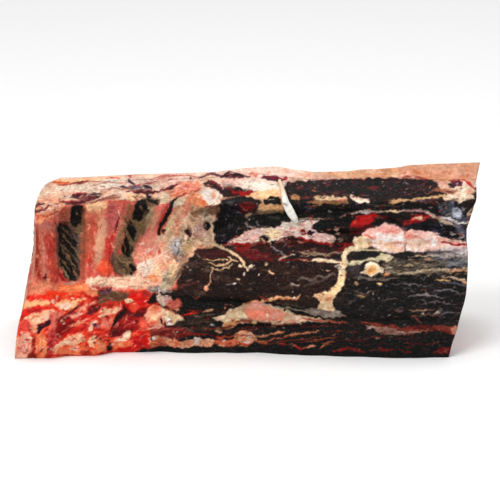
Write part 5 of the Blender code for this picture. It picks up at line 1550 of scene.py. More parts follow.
def paint_lower_suet(canvas):
    """The salmon and tan lump of kidney fat below the tenderloin, with its thin tail."""
    lump = [
        (212, 318), (218, 315.4), (226, 314), (230, 308.6), (238, 307), (244, 303.4), (250, 301.2),
        (262, 301), (266, 304), (276, 306), (285, 309), (291, 312.4), (299, 315), (309, 316), (319, 318),
        (334, 321), (325, 322.4), (308, 321.6), (301, 323.6), (290, 324.4), (280, 325), (268, 323.6),
        (258, 320.6), (250, 321), (244, 324.4), (237, 324), (233, 328), (226, 329), (221, 325.4),
        (224, 321.6), (218, 321),
    ]
    # a painted shadow under the lump: a dark copy of its outline, set a little lower
    canvas.patch([(x, y + 2.0) for x, y in lump], (12, 9, 9), soft=1.2, cover=0.85)
    canvas.patch(lump, tissue((190, 144, 112), (216, 180, 148), (236, 208, 178), grain=(6.0, 4.0)), soft=0.9,
                 ragged=1.0, lift=1.0, gloss=0.5)
    salmon_lump = [
        (244, 312), (247, 306), (255, 303.6), (266, 306), (278, 310), (287, 315), (281, 322), (264, 320.6),
        (250, 319),
    ]
    canvas.patch(salmon_lump, (226, 128, 108), soft=2.2, lift=0.8)
    canvas.spot(256, 306.4, 14, 5, (238, 168, 156), soft=1.8, cover=0.9)
    canvas.spot(276, 315, 9, 6, (234, 158, 142), soft=1.8, cover=0.9)
    canvas.spot(254, 314, 9, 6, (236, 122, 96), soft=1.8, cover=0.8)
    canvas.spot(268, 315, 5, 4, (208, 100, 84), soft=1.4, cover=0.7)
    canvas.line([(243, 305), (250, 302), (262, 302)], 1.6, (202, 124, 84), soft=0.8, cover=0.9)
    canvas.spot(294, 318.6, 16, 7, (192, 152, 132), soft=2.0, cover=0.85)
    canvas.patch([(222, 322), (232, 320), (242, 321.6), (236, 325), (230, 329), (224, 328)], (204, 132, 90),
                 soft=1.2)
    canvas.line([(236, 322), (244, 322), (252, 320)], 2.4, (128, 48, 36), soft=1.0, cover=0.9, lift=-0.4)
    canvas.line([(301, 318.4), (316, 320.4), (334, 321.6), (348, 323)], 2.2, (158, 80, 62), soft=0.8,
                lift=0.4)
    canvas.line([(300, 316.6), (314, 318)], 1.2, (208, 168, 138), soft=0.6)
    canvas.spot(254, 322.6, 7, 3.6, (212, 172, 116), soft=0.9, lift=0.4)
    canvas.spot(284.6, 310.4, 3, 2.2, (16, 13, 14), soft=0.6, lift=-0.8)
    canvas.line([(264, 303.8), (275, 306.4), (286, 308), (300, 311), (316, 314.4), (332, 316.4)], 1.4,
                (150, 140, 126), soft=0.7, lift=0.4)
    canvas.line([(298, 313), (312, 316), (330, 318.6)], 1.8, (34, 32, 31), soft=0.8, lift=-0.4)
    canvas.line([(276, 303), (290, 305), (304, 308)], 1.8, (84, 72, 60), soft=1.0, cover=0.8)
    canvas.spot(218, 330, 7, 5, (202, 156, 118), soft=1.0, lift=0.6, angle=-30)
    canvas.line([(203, 311.6), (213, 310)], 2.0, (202, 152, 114), soft=0.8)
    canvas.line([(200, 316), (210, 314)], 1.4, (154, 104, 80), soft=0.7)
    canvas.spot(212, 324, 3, 2, (150, 148, 150), soft=0.6)


def paint_crumbs(canvas):
    """The row of fat crumbs along the lower edge."""
    canvas.patch([(148, 338), (158, 334), (170, 338), (182, 341), (200, 337), (207, 338), (213, 338),
                  (217, 340.6), (213, 344.6), (206, 347.6), (196, 347), (182, 347.6), (164, 347),
                  (150, 345)], tissue((214, 110, 76), (242, 180, 140), (250, 216, 184), grain=(5.0, 3.0)),
                 soft=0.9, lift=1.0)
    canvas.patch([(215, 340), (222, 336.6), (226, 341), (230, 338.6), (237, 339), (239, 345), (230, 346.8),
                  (222, 346.6), (216, 343.4)], (226, 120, 84), soft=0.9, lift=0.8)
    canvas.line([(216, 337.6), (224, 336)], 2.4, (140, 40, 34), soft=0.8)
    canvas.spot(224.4, 341, 3, 2.4, (240, 216, 206), soft=0.7)
    canvas.line([(218, 345.4), (226, 345.6)], 2.0, (236, 180, 132), soft=0.8)
    canvas.patch([(235, 338), (236, 332.4), (242, 330), (249, 331.4), (253, 335), (257, 339.4), (252, 344.4),
                  (246, 347.6), (238, 345.6)], tissue((206, 110, 70), (232, 160, 116), (246, 206, 166),
                                                      grain=(4.0, 3.0)), soft=0.9, lift=1.0)
    canvas.spot(249, 336.6, 6, 5, (240, 220, 202), soft=1.0, angle=30)
    canvas.spot(247.6, 342, 6, 3.4, (246, 232, 218), soft=0.9)
    canvas.line([(237, 343), (243, 344), (250, 345)], 1.8, (214, 66, 48), soft=0.8)
    canvas.line([(238, 335.4), (246, 335)], 1.4, (132, 72, 48), soft=0.7)
    canvas.line([(242, 328), (254, 331)], 2.4, (100, 46, 34), soft=1.0, cover=0.8)
    bits = [
        ([(255, 341.4), (262, 342), (269, 342.4)], 3.0, (196, 116, 80)),
        ([(254.6, 335.6), (260, 336), (266, 333.6)], 1.8, (206, 176, 138)),
        ([(271, 334), (276, 332.6), (281, 332.4)], 2.6, (220, 164, 116)),
        ([(276, 333.6), (280, 333)], 1.4, (222, 110, 70)),
        ([(282, 338), (288, 335.6)], 1.6, (188, 112, 82)),
        ([(279, 345), (286, 344.4)], 1.6, (184, 44, 38)),
        ([(291, 336.4), (298, 335), (308, 332.8), (320, 331)], 2.0, (208, 164, 118)),
        ([(292, 344.6), (298, 347.8), (304, 349)], 1.8, (190, 58, 46)),
        ([(305, 348), (310, 346.6), (316, 346)], 2.8, (218, 160, 122)),
        ([(321, 347), (325, 344), (333, 342)], 2.8, (208, 148, 108)),
        ([(318, 343), (322, 338)], 1.4, (110, 70, 52)),
        ([(270, 340), (278, 339.6)], 1.2, (150, 70, 52)),
        ([(300, 340.4), (310, 339.6)], 1.2, (110, 54, 44)),
        ([(333, 335.6), (338, 334)], 1.6, (150, 120, 96)),
        ([(331, 344), (338, 341)], 2.0, (170, 96, 72)),
    ]
    for points, width, colour in bits:
        canvas.line(points, width, colour, soft=0.7, ragged=0.8, lift=0.7, taper=0.5)


raw_red = tissue((158, 20, 20), (222, 62, 44), (242, 122, 84), grain=(6.0, 3.5), angle=-25)
raw_dark = tissue((84, 14, 18), (142, 26, 26), (186, 52, 44), grain=(5.0, 2.6), angle=-28)
raw_fat = tissue((240, 140, 102), (246, 186, 146), (250, 214, 184), grain=(6.0, 3.0), angle=-15)
raw_orange = tissue((232, 84, 54), (242, 118, 76), (246, 166, 118), grain=(5.0, 4.0), angle=-20)


def paint_raw_base(canvas):
    """The freshly cut meat of the backbone at the bottom left: bright red with pale chunks of fat."""
    canvas.patch([(8, 296), (28, 284), (80, 286), (112, 287), (160, 288), (158, 304), (148, 312), (150, 336),
                  (154, 350), (130, 366), (8, 366)], raw_red, soft=2.0, ragged=1.5, gloss=0.55)
    areas = [
        ([(30, 284), (44, 280), (58, 284), (58, 294), (44, 296), (28, 295)], (230, 132, 100), 3.0, 0.0),
        ([(58, 286), (82, 284), (90, 288), (84, 293), (60, 292)], (242, 130, 80), 2.5, 0.3),
        ([(84, 285), (92, 287), (100, 291), (98, 296), (90, 296), (84, 291)], (244, 142, 100), 1.4, 0.4),
        ([(26, 296), (48, 295), (50, 300), (40, 299.6), (26, 299.4)], (228, 42, 30), 1.2, -0.3),
        ([(46, 290), (60, 292), (66, 296), (54, 299), (46, 298)], (238, 62, 38), 2.0, 0.0),
        ([(60, 293), (84, 291), (86, 295), (70, 297.6), (60, 299)], (232, 54, 36), 1.4, 0.0),
        ([(23, 301), (36, 300), (50, 300.6), (51, 305), (38, 305.6), (22, 309)], (246, 178, 124), 1.2, 0.6),
        ([(21, 310), (34, 306.6), (50, 306), (52, 309), (38, 313), (22, 317)], (210, 38, 30), 1.2, -0.5),
        ([(32, 309.6), (42, 309), (42, 312), (33, 313.4)], (164, 10, 18), 1.4, -0.3),
        ([(24, 317), (31, 314), (39, 312), (48, 309.4), (57, 310.4), (58, 314), (50, 318), (45, 321),
          (38, 325), (32, 325.4), (27, 321)], raw_fat, 1.0, 0.9),
        ([(41, 318.6), (52, 316), (50, 319.4), (43, 321)], (250, 204, 180), 1.2, 0.2),
        ([(33, 322), (39, 325), (37, 333), (33, 333), (30, 327)], (238, 154, 122), 1.0, 0.4),
        ([(20, 320), (28, 319), (31, 331), (21, 334), (19, 330)], (218, 70, 62), 2.0, -0.3),
        ([(51, 301), (54, 300.6), (55.6, 303), (52, 304)], (238, 182, 160), 0.8, 0.4),
        ([(50, 312), (62, 311), (62, 318), (56, 330), (50, 330)], (226, 116, 98), 2.4, 0.0),
        ([(55.6, 303), (62, 300.4), (74, 299.4), (83, 297), (87, 299), (78, 304), (75.4, 308.4), (66, 310.6),
          (59, 309.6), (54, 306.6)], tissue((240, 140, 92), (244, 172, 120), (248, 196, 150), (6.0, 3.0),
                                            -15), 1.0, 1.1),
        ([(57, 305), (66, 303), (72, 305), (68, 309.6), (60, 309)], (248, 208, 184), 1.6, 0.2),
        ([(77, 309), (88, 303.4), (97, 300.6), (96, 304), (84, 308), (78, 312)], (240, 150, 122), 1.2, 0.5),
        ([(60, 319), (66, 314.4), (74, 309), (78, 306), (76, 310), (70, 314), (64, 318), (60, 322)],
         (74, 32, 44), 0.9, -1.2),
        ([(56, 320), (70, 317), (78, 322), (72, 332), (60, 340), (54, 336)], raw_dark, 1.8, -0.6),
        ([(70, 315), (80, 311), (84, 314), (78, 318), (71, 319)], (242, 156, 132), 1.4, 0.5),
        ([(69, 326), (82, 321), (90, 318), (92, 320), (80, 325.6), (71, 328)], (244, 150, 112), 1.3, 0.5),
        ([(74, 320), (88, 313), (90, 316), (80, 320.6)], (214, 34, 34), 1.2, 0.0),
        ([(86, 313), (90, 307.6), (98, 304), (101, 307), (98, 311), (90, 314)], (86, 26, 30), 1.4, -0.8),
        ([(98, 289), (110, 288.6), (120, 291), (136, 292), (134, 298), (122, 302), (108, 302), (100, 304),
          (94, 300), (99, 296)], tissue((62, 42, 36), (104, 76, 56), (136, 104, 78), (7.0, 3.0), 5), 1.6,
         -0.6),
        ([(101, 288.6), (112, 289), (110, 295), (103, 296)], (104, 66, 74), 1.8, -0.3),
        ([(88, 297), (96, 297), (101, 301), (92, 300.4)], (130, 22, 24), 1.2, -0.5),
        ([(87, 285.6), (104, 286.4), (118, 285), (112, 289), (98, 290), (90, 289)], (188, 66, 62), 1.0,
         -0.5),
        ([(110, 288), (114, 285), (128, 287), (124, 290.4), (112, 291)], (238, 138, 120), 1.2, 0.4),
        ([(88, 331), (89.6, 327), (93, 322.4), (97, 320), (99, 322), (95, 325), (93.4, 328.6), (91, 331)],
         (240, 180, 156), 0.8, 0.7),
        ([(93.6, 324), (97, 323), (98, 327), (94.6, 328)], (62, 42, 62), 0.8, -0.8),
        ([(101, 318), (112, 317), (114, 324), (108, 330), (102, 328)], (236, 126, 104), 2.0, 0.4),
        ([(99, 314), (101, 309), (104, 306.6), (109, 308), (114, 307), (119, 310), (116, 313.6), (110, 315),
          (104, 317), (100, 318)], raw_fat, 0.9, 0.9),
        ([(103, 303.6), (113, 304), (112, 307), (104, 307)], (176, 44, 38), 1.0, 0.0),
        ([(122, 309), (134, 306), (147, 309), (148, 322), (140, 329), (130, 334), (118, 338), (108, 336),
          (112, 326)], raw_dark, 1.6, -0.6),
        ([(112, 327), (113, 320), (117, 314), (124, 306), (127, 308), (124, 313), (119, 320), (115, 326)],
         (40, 18, 20), 1.2, -1.2),
        ([(126, 313), (136, 311), (146, 314), (146, 318), (134, 316)], (82, 12, 18), 1.4, -0.4),
        ([(110, 330), (116, 329), (118, 336), (110, 336)], (76, 16, 20), 1.6, -0.4),
        ([(124, 304), (130, 293), (142, 291), (148, 296), (144, 306), (134, 312), (126, 308)], (214, 34, 28),
         1.6, 0.2),
        ([(129, 304), (137, 302), (140, 306), (134, 311.6), (129, 308)], (244, 82, 58), 1.4, 0.4),
        ([(123.6, 301), (127, 298), (131, 298.4), (133.6, 302), (128, 303.4)], (250, 222, 176), 0.7, 0.8),
        ([(112, 342), (116, 337.6), (122, 335.4), (127, 332), (131, 331), (131.6, 337), (128, 340.6),
          (118, 343)], tissue((244, 168, 130), (250, 208, 172), (252, 232, 210), (5.0, 3.0), -20), 0.9, 1.1),
        ([(111, 341), (122, 341.6), (131, 340), (133, 350), (124, 352), (112, 350)], raw_orange, 1.2, 0.5),
        ([(118, 348), (132, 345), (132, 352), (118, 352.6)], (188, 28, 26), 1.4, 0.0),
        ([(131, 335), (150, 337), (152, 348), (134, 352)], tissue((158, 12, 20), (204, 28, 28),
                                                                  (228, 60, 48), (5.0, 3.0)), 1.6, 0.0),
        ([(88, 341), (91, 337), (95, 335), (99.6, 336), (97, 339), (94.4, 342), (95, 348.6), (90, 347)],
         (242, 198, 156), 0.9, 0.8),
        ([(94, 341), (99, 338), (106, 341), (106, 351), (95, 352.6)], raw_orange, 1.2, 0.6),
        ([(54, 346), (60, 341.4), (68, 338), (76, 334), (83, 332.6), (85, 338), (83, 343), (76, 345),
          (66, 345.6), (58, 349), (54, 350)], raw_fat, 0.9, 1.2),
        ([(56, 350), (64, 346), (84, 344), (88, 350), (96, 352), (96, 357), (52, 357)], raw_orange, 1.2,
         0.6),
        ([(70, 349), (74, 345.4), (79, 346), (78, 350.6), (72, 351.6)], (248, 178, 158), 1.4, 0.3),
        ([(80, 352), (88, 350), (93, 354), (84, 357)], (158, 46, 34), 1.4, -0.4),
        ([(18, 336), (22, 332.4), (28, 331), (31.6, 334), (32, 345), (30.6, 353), (27, 360), (20, 362),
          (12, 358), (15, 346)], tissue((232, 118, 92), (242, 158, 132), (246, 202, 176), (3.0, 5.0), -5),
         1.0, 1.3),
        ([(35, 336), (40, 333), (46, 337), (47, 350), (44, 361), (34, 361), (33.6, 346)],
         tissue((226, 86, 56), (240, 128, 82), (246, 164, 110), (3.0, 6.0), 0), 1.2, 1.0),
        ([(32, 337), (34.6, 336), (35.6, 352), (33, 360), (31.6, 352)], (170, 44, 36), 1.0, -1.0),
        ([(47, 331), (55, 330), (58, 340), (52, 350), (49, 353), (47, 344)],
         tissue((140, 30, 38), (186, 54, 56), (220, 120, 96), (3.0, 4.0)), 1.4, -0.4),
        ([(28, 355), (38, 354), (36, 360), (26, 361)], (140, 44, 26), 1.6, -0.3),
    ]
    for points, colour, soft, lift in areas:
        canvas.patch(points, colour, soft=soft, ragged=1.1, lift=lift)
    canvas.patch([(38, 325), (42.6, 324), (46, 321.6), (49, 319.6), (50.4, 323), (48, 325.4), (43, 327),
                  (40.6, 329.6), (39, 334), (36.6, 333), (37, 329)], (46, 30, 44), soft=0.7, ragged=0.7,
                 lift=-1.6)
    canvas.patch([(106.6, 348), (108, 344), (110.6, 343), (112, 347), (110.6, 351), (107, 351.6)],
                 (24, 14, 16), soft=0.8, lift=-1.4)
    canvas.patch([(146.6, 302), (150, 297), (154, 293.6), (158.6, 294), (158.6, 300), (153, 303)],
                 (36, 24, 28), soft=0.8, lift=-1.4)
    strokes = [
        ([(82, 292), (90, 298), (98, 300.6)], 2.0, (186, 28, 24)),
        ([(62, 297), (72, 294), (80, 293.6)], 1.6, (238, 128, 76)),
        ([(86, 283), (92, 288), (98, 290)], 1.6, (248, 196, 156)),
        ([(34, 316.6), (40, 315.6)], 2.0, (242, 130, 82)),
        ([(50, 304), (56, 309), (60, 311.6)], 1.8, (222, 36, 28)),
        ([(76, 304), (80, 303.4), (84, 300)], 1.2, (206, 56, 40)),
        ([(62, 336), (72, 331), (80, 328)], 2.2, (196, 26, 28)),
        ([(84, 324), (96, 316), (103, 312)], 2.0, (214, 40, 38)),
        ([(82, 329), (88, 325)], 2.2, (186, 28, 40)),
        ([(124, 328.6), (128, 324.6), (132, 321.4)], 1.8, (206, 92, 84)),
        ([(117, 333), (122, 328)], 1.4, (176, 50, 46)),
        ([(84, 334), (94, 332), (104, 332)], 2.6, (234, 70, 48)),
        ([(96, 337.6), (101, 335), (108, 333.6)], 1.6, (226, 64, 52)),
        ([(99, 338), (101, 340)], 2.6, (58, 32, 46)),
        ([(50, 355.4), (66, 355), (82, 355.8), (95, 355)], 1.4, (164, 12, 18)),
        ([(24.6, 337), (25.4, 344), (24.6, 350)], 2.4, (248, 210, 188)),
        ([(18, 347), (22, 348.6)], 1.4, (216, 76, 62)),
        ([(22, 353), (27, 354)], 1.4, (214, 76, 50)),
        ([(56, 296), (56.6, 300)], 2.2, (242, 170, 140)),
        ([(54, 351), (58, 350)], 2.6, (240, 188, 140)),
        ([(50, 351), (54, 347)], 2.0, (206, 128, 102)),
        ([(104, 341), (107, 340), (110, 343)], 1.6, (150, 36, 34)),
        ([(110, 338), (116, 339), (120, 337)], 2.0, (228, 82, 64)),
        ([(19, 333.6), (21, 335)], 1.8, (120, 14, 20)),
        ([(40, 337), (41, 346), (40, 352)], 2.0, (248, 172, 116)),
        ([(112, 288), (109, 291), (106, 290.4)], 1.4, (44, 26, 34)),
        ([(142, 329.6), (150, 329)], 1.4, (246, 160, 120)),
        ([(134, 330), (140, 332), (150, 333)], 2.6, (220, 46, 36)),
    ]
    for points, width, colour in strokes:
        canvas.line(points, width, colour, soft=0.8, ragged=0.8, cover=0.9, lift=0.2, taper=0.5)
    dabs = [
        (61, 321, 2.6, 2, (190, 170, 140)),
        (64, 323, 2.4, 2, (200, 196, 170)),
        (64.4, 319, 1.8, 1.6, (200, 150, 130)),
        (103, 308.6, 2.4, 2.4, (90, 40, 40)),
        (107, 316.4, 3.6, 2.6, (150, 30, 34)),
        (98.6, 326, 2, 2.4, (140, 116, 130)),
        (100, 316, 3, 3.4, (244, 206, 178)),
        (98, 342, 4, 3.4, (246, 160, 112)),
        (120, 344.6, 4, 3, (246, 160, 120)),
        (92, 337.6, 3, 2, (196, 160, 110)),
        (84, 341, 3.4, 4, (196, 130, 70)),
        (70, 293.6, 5, 2, (230, 130, 74)),
        (138, 295, 4, 3, (228, 74, 62)),
        (127, 317, 2, 2, (196, 60, 58)),
        (66, 328, 3, 2, (160, 70, 50)),
        (84, 309, 4, 3, (246, 160, 134)),
        (30, 327, 3, 2.4, (238, 168, 140)),
        (44, 341, 3, 5, (248, 164, 110)),
    ]
    for x, y, across, down, colour in dabs:
        canvas.spot(x, y, across, down, colour, soft=0.8, ragged=0.7, lift=0.2)
    canvas.scatter([(20, 296), (150, 290), (148, 348), (100, 350), (20, 356)], 190, (2, 6), (0.6, 1.5),
                   [(244, 150, 120), (206, 30, 26), (176, 24, 26), (246, 190, 160), (120, 18, 22)],
                   angle=-28, spread=25, cover=0.6, lift=0.3)


def paint_raw_tip(canvas):
    """Where the red meat meets the tenderloin: pale lumps, a grey crust and thin red lines."""
    canvas.patch([(142, 292), (152, 289), (160, 290), (150, 296), (143, 298)], (160, 46, 42), soft=1.6)
    canvas.patch([(148, 288), (158, 285), (168, 286), (172, 292), (166, 296), (158, 293), (150, 292)],
                 tissue((84, 70, 68), (142, 124, 116), (196, 178, 160), grain=(3.0, 2.4)), soft=1.2)
    canvas.patch([(168, 270), (177, 264), (181, 266), (176, 276), (168, 289), (162, 291), (160, 286)],
                 tissue((116, 96, 78), (176, 156, 128), (214, 198, 170), grain=(2.6, 4.0), angle=30),
                 soft=1.4, ragged=1.6)
    canvas.patch([(157, 300), (157, 296), (160, 294), (166, 293.6), (171, 296), (173, 300), (168, 304),
                  (161, 304.6)], tissue((160, 120, 108), (212, 180, 160), (236, 214, 192), grain=(3.0, 3.0)),
                 soft=0.9, lift=0.8)
    canvas.spot(168, 299.6, 7, 5, (192, 146, 150), soft=1.2, cover=0.9)
    canvas.line([(160, 292), (164, 294.4), (170, 293.6)], 1.8, (34, 24, 28), soft=0.7, lift=-0.8)
    canvas.line([(158, 288), (160, 291), (159.4, 294)], 1.2, (226, 220, 212), soft=0.5)
    canvas.patch([(168, 300), (178, 299), (181, 304), (178, 311), (171, 310), (165, 305)],
                 tissue((104, 42, 38), (176, 76, 62), (214, 130, 106), grain=(4.0, 2.4), angle=20), soft=1.6)
    canvas.patch([(150, 327), (170, 325), (190, 330), (196, 335), (176, 338), (152, 337)],
                 tissue((58, 24, 24), (128, 46, 42), (172, 84, 70), grain=(8.0, 2.2), angle=-3), soft=2.2)
    canvas.patch([(139, 319), (148, 320), (152, 326), (146, 331), (139, 329)], (228, 88, 66), soft=2.0)
    salmon_lump = [
        (145.6, 314), (148.4, 308), (153, 304.6), (160, 304.6), (164, 308), (169, 310), (172, 314),
        (170, 320), (165, 322.6), (160, 325.6), (152, 327), (146, 323),
    ]
    # a painted shadow under the salmon lump: a dark copy of its outline, set a little lower
    canvas.patch([(x, y + 1.4) for x, y in salmon_lump], (110, 26, 28), soft=1.2, cover=0.8)
    canvas.patch(salmon_lump, tissue((228, 112, 84), (240, 160, 126), (248, 206, 172), grain=(4.0, 4.0)),
                 soft=1.0, lift=1.3)
    canvas.spot(154, 317, 9, 5, (250, 206, 160), soft=1.4)
    canvas.spot(156, 307.6, 9, 4.6, (240, 116, 82), soft=1.6)
    canvas.spot(152, 323, 8, 5, (232, 98, 74), soft=1.6)
    canvas.patch([(161, 307), (168, 309.6), (175, 313), (182, 316.6), (184.6, 320), (176, 321), (172.6, 326),
                  (168, 324), (164, 319.6)], tissue((196, 150, 118), (222, 190, 150), (238, 216, 186),
                                                    grain=(4.0, 3.0)), soft=0.9, lift=1.0)
    canvas.patch([(165, 318), (169.6, 318.4), (172, 325.6), (168.6, 325), (165.6, 321)], (242, 234, 224),
                 soft=0.8, lift=0.4)
    canvas.line([(164, 308), (171, 311.6), (177, 314)], 1.4, (186, 84, 60), soft=0.8)
    canvas.spot(161.4, 321, 3.2, 4.4, (52, 24, 26), soft=0.8, lift=-0.8)
    canvas.line([(146, 329.6), (155, 327.8), (164, 325.4)], 2.4, (238, 156, 136), soft=0.8, lift=0.4)
    canvas.line([(165, 326), (176, 327)], 1.6, (60, 26, 28), soft=1.0)
    lines = [
        ([(180, 315.4), (187, 314.6), (197, 313.6)], 1.5, (214, 34, 24)),
        ([(186, 311), (194, 312), (203, 311)], 1.1, (122, 34, 28)),
        ([(188, 317.4), (200, 316.4), (214, 314.6)], 1.3, (176, 146, 116)),
        ([(174, 309), (180, 311)], 1.6, (196, 150, 112)),
        ([(192, 296), (197, 298.6), (200, 297)], 1.2, (110, 60, 50)),
        ([(186, 281), (192, 279.6)], 1.4, (120, 92, 82)),
        ([(178, 287), (188, 284), (196, 282)], 2.2, (72, 42, 38)),
    ]
    for points, width, colour in lines:
        canvas.line(points, width, colour, soft=0.6, ragged=0.5, lift=0.3)
    for x, y, colour in [(184.6, 332.6, (170, 150, 150)), (186.4, 338, (140, 130, 134)),
                         (192, 327, (150, 30, 42))]:
        canvas.spot(x, y, 2.4, 2.2, colour, soft=0.6)
    canvas.line([(152, 341), (154, 337.6), (156, 343)], 2.2, (222, 210, 200), soft=0.8, lift=0.5)
    canvas.line([(151, 338), (152.6, 342)], 2.0, (40, 26, 36), soft=0.8)
    canvas.patch([(150, 342), (157, 338), (166, 340), (168, 346), (152, 348)],
                 tissue((120, 46, 38), (192, 96, 66), (226, 150, 110), grain=(3.0, 2.4)), soft=1.0)
    canvas.patch([(169, 342), (174, 336.6), (179, 341), (182, 345), (176, 348), (168, 346)],
                 tissue((206, 92, 62), (236, 134, 92), (244, 180, 136), grain=(3.0, 3.0)), soft=0.9,
                 lift=0.6)
    canvas.patch([(195, 345), (195, 336), (200, 335.6), (202, 340), (199, 345)], (246, 238, 222), soft=0.9,
                 lift=0.7)


def paint_torn_streaks(canvas):
    """Slanting streaks, holes' rims and filaments in the torn flesh between the ribs and the tenderloin."""
    streaks = [
        ([(176, 236), (184, 218), (190, 203)], 4.0, (214, 128, 104)),
        ([(168, 232), (176, 216), (184, 203)], 3.5, (228, 194, 154)),
        ([(163, 238), (170, 226), (174, 214)], 3.0, (238, 208, 162)),
        ([(154, 222), (158, 212), (163, 204)], 3.0, (222, 110, 92)),
        ([(150, 232), (155, 222), (160, 210)], 3.0, (208, 150, 118)),
        ([(147, 228), (151, 217), (156, 208)], 2.5, (158, 118, 92)),
        ([(180, 227), (184, 219), (190, 214)], 5.0, (238, 208, 180)),
        ([(186, 242), (191, 233), (188, 224)], 2.0, (98, 68, 56)),
        ([(190, 215), (196, 212), (204, 208)], 4.0, (118, 86, 68)),
        ([(194, 225), (198, 217), (206, 212)], 3.0, (200, 172, 142)),
        ([(205, 220), (208, 216), (213, 218)], 2.0, (234, 216, 198)),
        ([(203, 234), (208, 240), (213, 244)], 2.5, (234, 208, 172)),
        ([(212, 222), (213, 232), (214, 243)], 2.2, (224, 198, 162)),
        ([(196, 238), (200, 241), (206, 242)], 2.0, (150, 104, 90)),
        ([(176, 244), (178, 251), (176, 258)], 2.6, (74, 72, 74)),
        ([(179, 239), (178, 247), (175, 252)], 1.6, (240, 240, 238)),
        ([(172, 236), (176, 240), (182, 240)], 1.8, (224, 204, 196)),
        ([(187, 254), (182, 264), (176, 275), (172, 285)], 5.0, (128, 108, 90)),
        ([(185, 262), (180, 271), (175, 281)], 2.6, (58, 46, 40)),
        ([(179, 262), (175, 270), (170, 280)], 2.2, (214, 190, 150)),
        ([(145, 247), (152, 243), (158, 238)], 2.0, (244, 158, 138)),
        ([(142, 253), (150, 250), (160, 251)], 2.6, (250, 200, 180)),
        ([(158, 249), (160, 253)], 3.0, (204, 52, 42)),
        ([(150, 262), (160, 256), (169, 250)], 2.4, (250, 210, 186)),
        ([(140, 262), (147, 258), (154, 258)], 1.8, (226, 130, 104)),
        ([(164, 262), (170, 267), (174, 274)], 3.0, (234, 198, 152)),
        ([(158, 270), (165, 266), (172, 262)], 1.6, (214, 128, 92)),
        ([(148, 270), (152, 274), (160, 272)], 1.6, (228, 144, 104)),
        ([(166, 286), (171, 279), (175, 272)], 2.0, (150, 130, 100)),
    ]
    for points, width, colour in streaks:
        canvas.line(points, width, colour, soft=1.0, ragged=1.0, cover=0.75, lift=0.4, taper=0.6)


def paint_top_streaks(canvas):
    """Thin dark creases and red streaks in the fat above the ribs, and a painted highlight along the second
    rib.
    """
    creases = [
        ([(70, 197), (80, 198), (92, 196), (100, 194)], 1.6, (70, 30, 34)),
        ([(84, 203), (96, 201), (108, 198), (120, 197)], 1.4, (116, 58, 52)),
        ([(60, 201), (70, 203), (82, 203)], 2.0, (92, 30, 32)),
        ([(118, 186), (128, 189), (140, 190), (152, 188)], 1.4, (66, 44, 48)),
        ([(100, 190), (112, 188), (124, 190)], 1.2, (158, 90, 80)),
        ([(56, 184), (70, 185), (88, 182)], 1.6, (156, 66, 52)),
        ([(90, 186), (104, 183), (120, 182)], 1.2, (172, 104, 90)),
        ([(36, 206), (44, 209), (52, 212), (56, 216)], 1.6, (190, 82, 68)),
        ([(36, 214), (44, 217), (54, 220)], 1.8, (206, 92, 74)),
        ([(150, 180), (164, 177), (182, 175)], 1.2, (184, 104, 88)),
        ([(128, 198), (138, 196), (146, 198)], 1.4, (120, 72, 54)),
        ([(176, 198), (186, 194), (198, 190)], 1.4, (176, 84, 66)),
        ([(220, 176), (236, 178), (250, 176)], 1.4, (120, 60, 62)),
        ([(104, 205), (112, 203), (120, 202)], 2.0, (206, 112, 88)),
    ]
    for points, width, colour in creases:
        canvas.line(points, width, colour, soft=0.6, ragged=0.8, cover=0.85, lift=-0.4, taper=0.7)
    for points in ([(40, 213), (48, 210), (54, 213)], [(38, 204), (48, 203), (60, 206)],
                   [(76, 190), (90, 188), (104, 187)], [(108, 194), (120, 192), (132, 193)],
                   [(160, 184), (174, 181), (188, 180)]):
        canvas.line(points, 1.8, (248, 226, 208), soft=0.8, ragged=0.8, cover=0.8, lift=0.5, taper=0.7)
    # a painted highlight along the second rib
    canvas.line([(101, 210), (101, 235), (99, 264)], 8.0, (234, 170, 132), soft=4.0, ragged=1.5, cover=0.45)


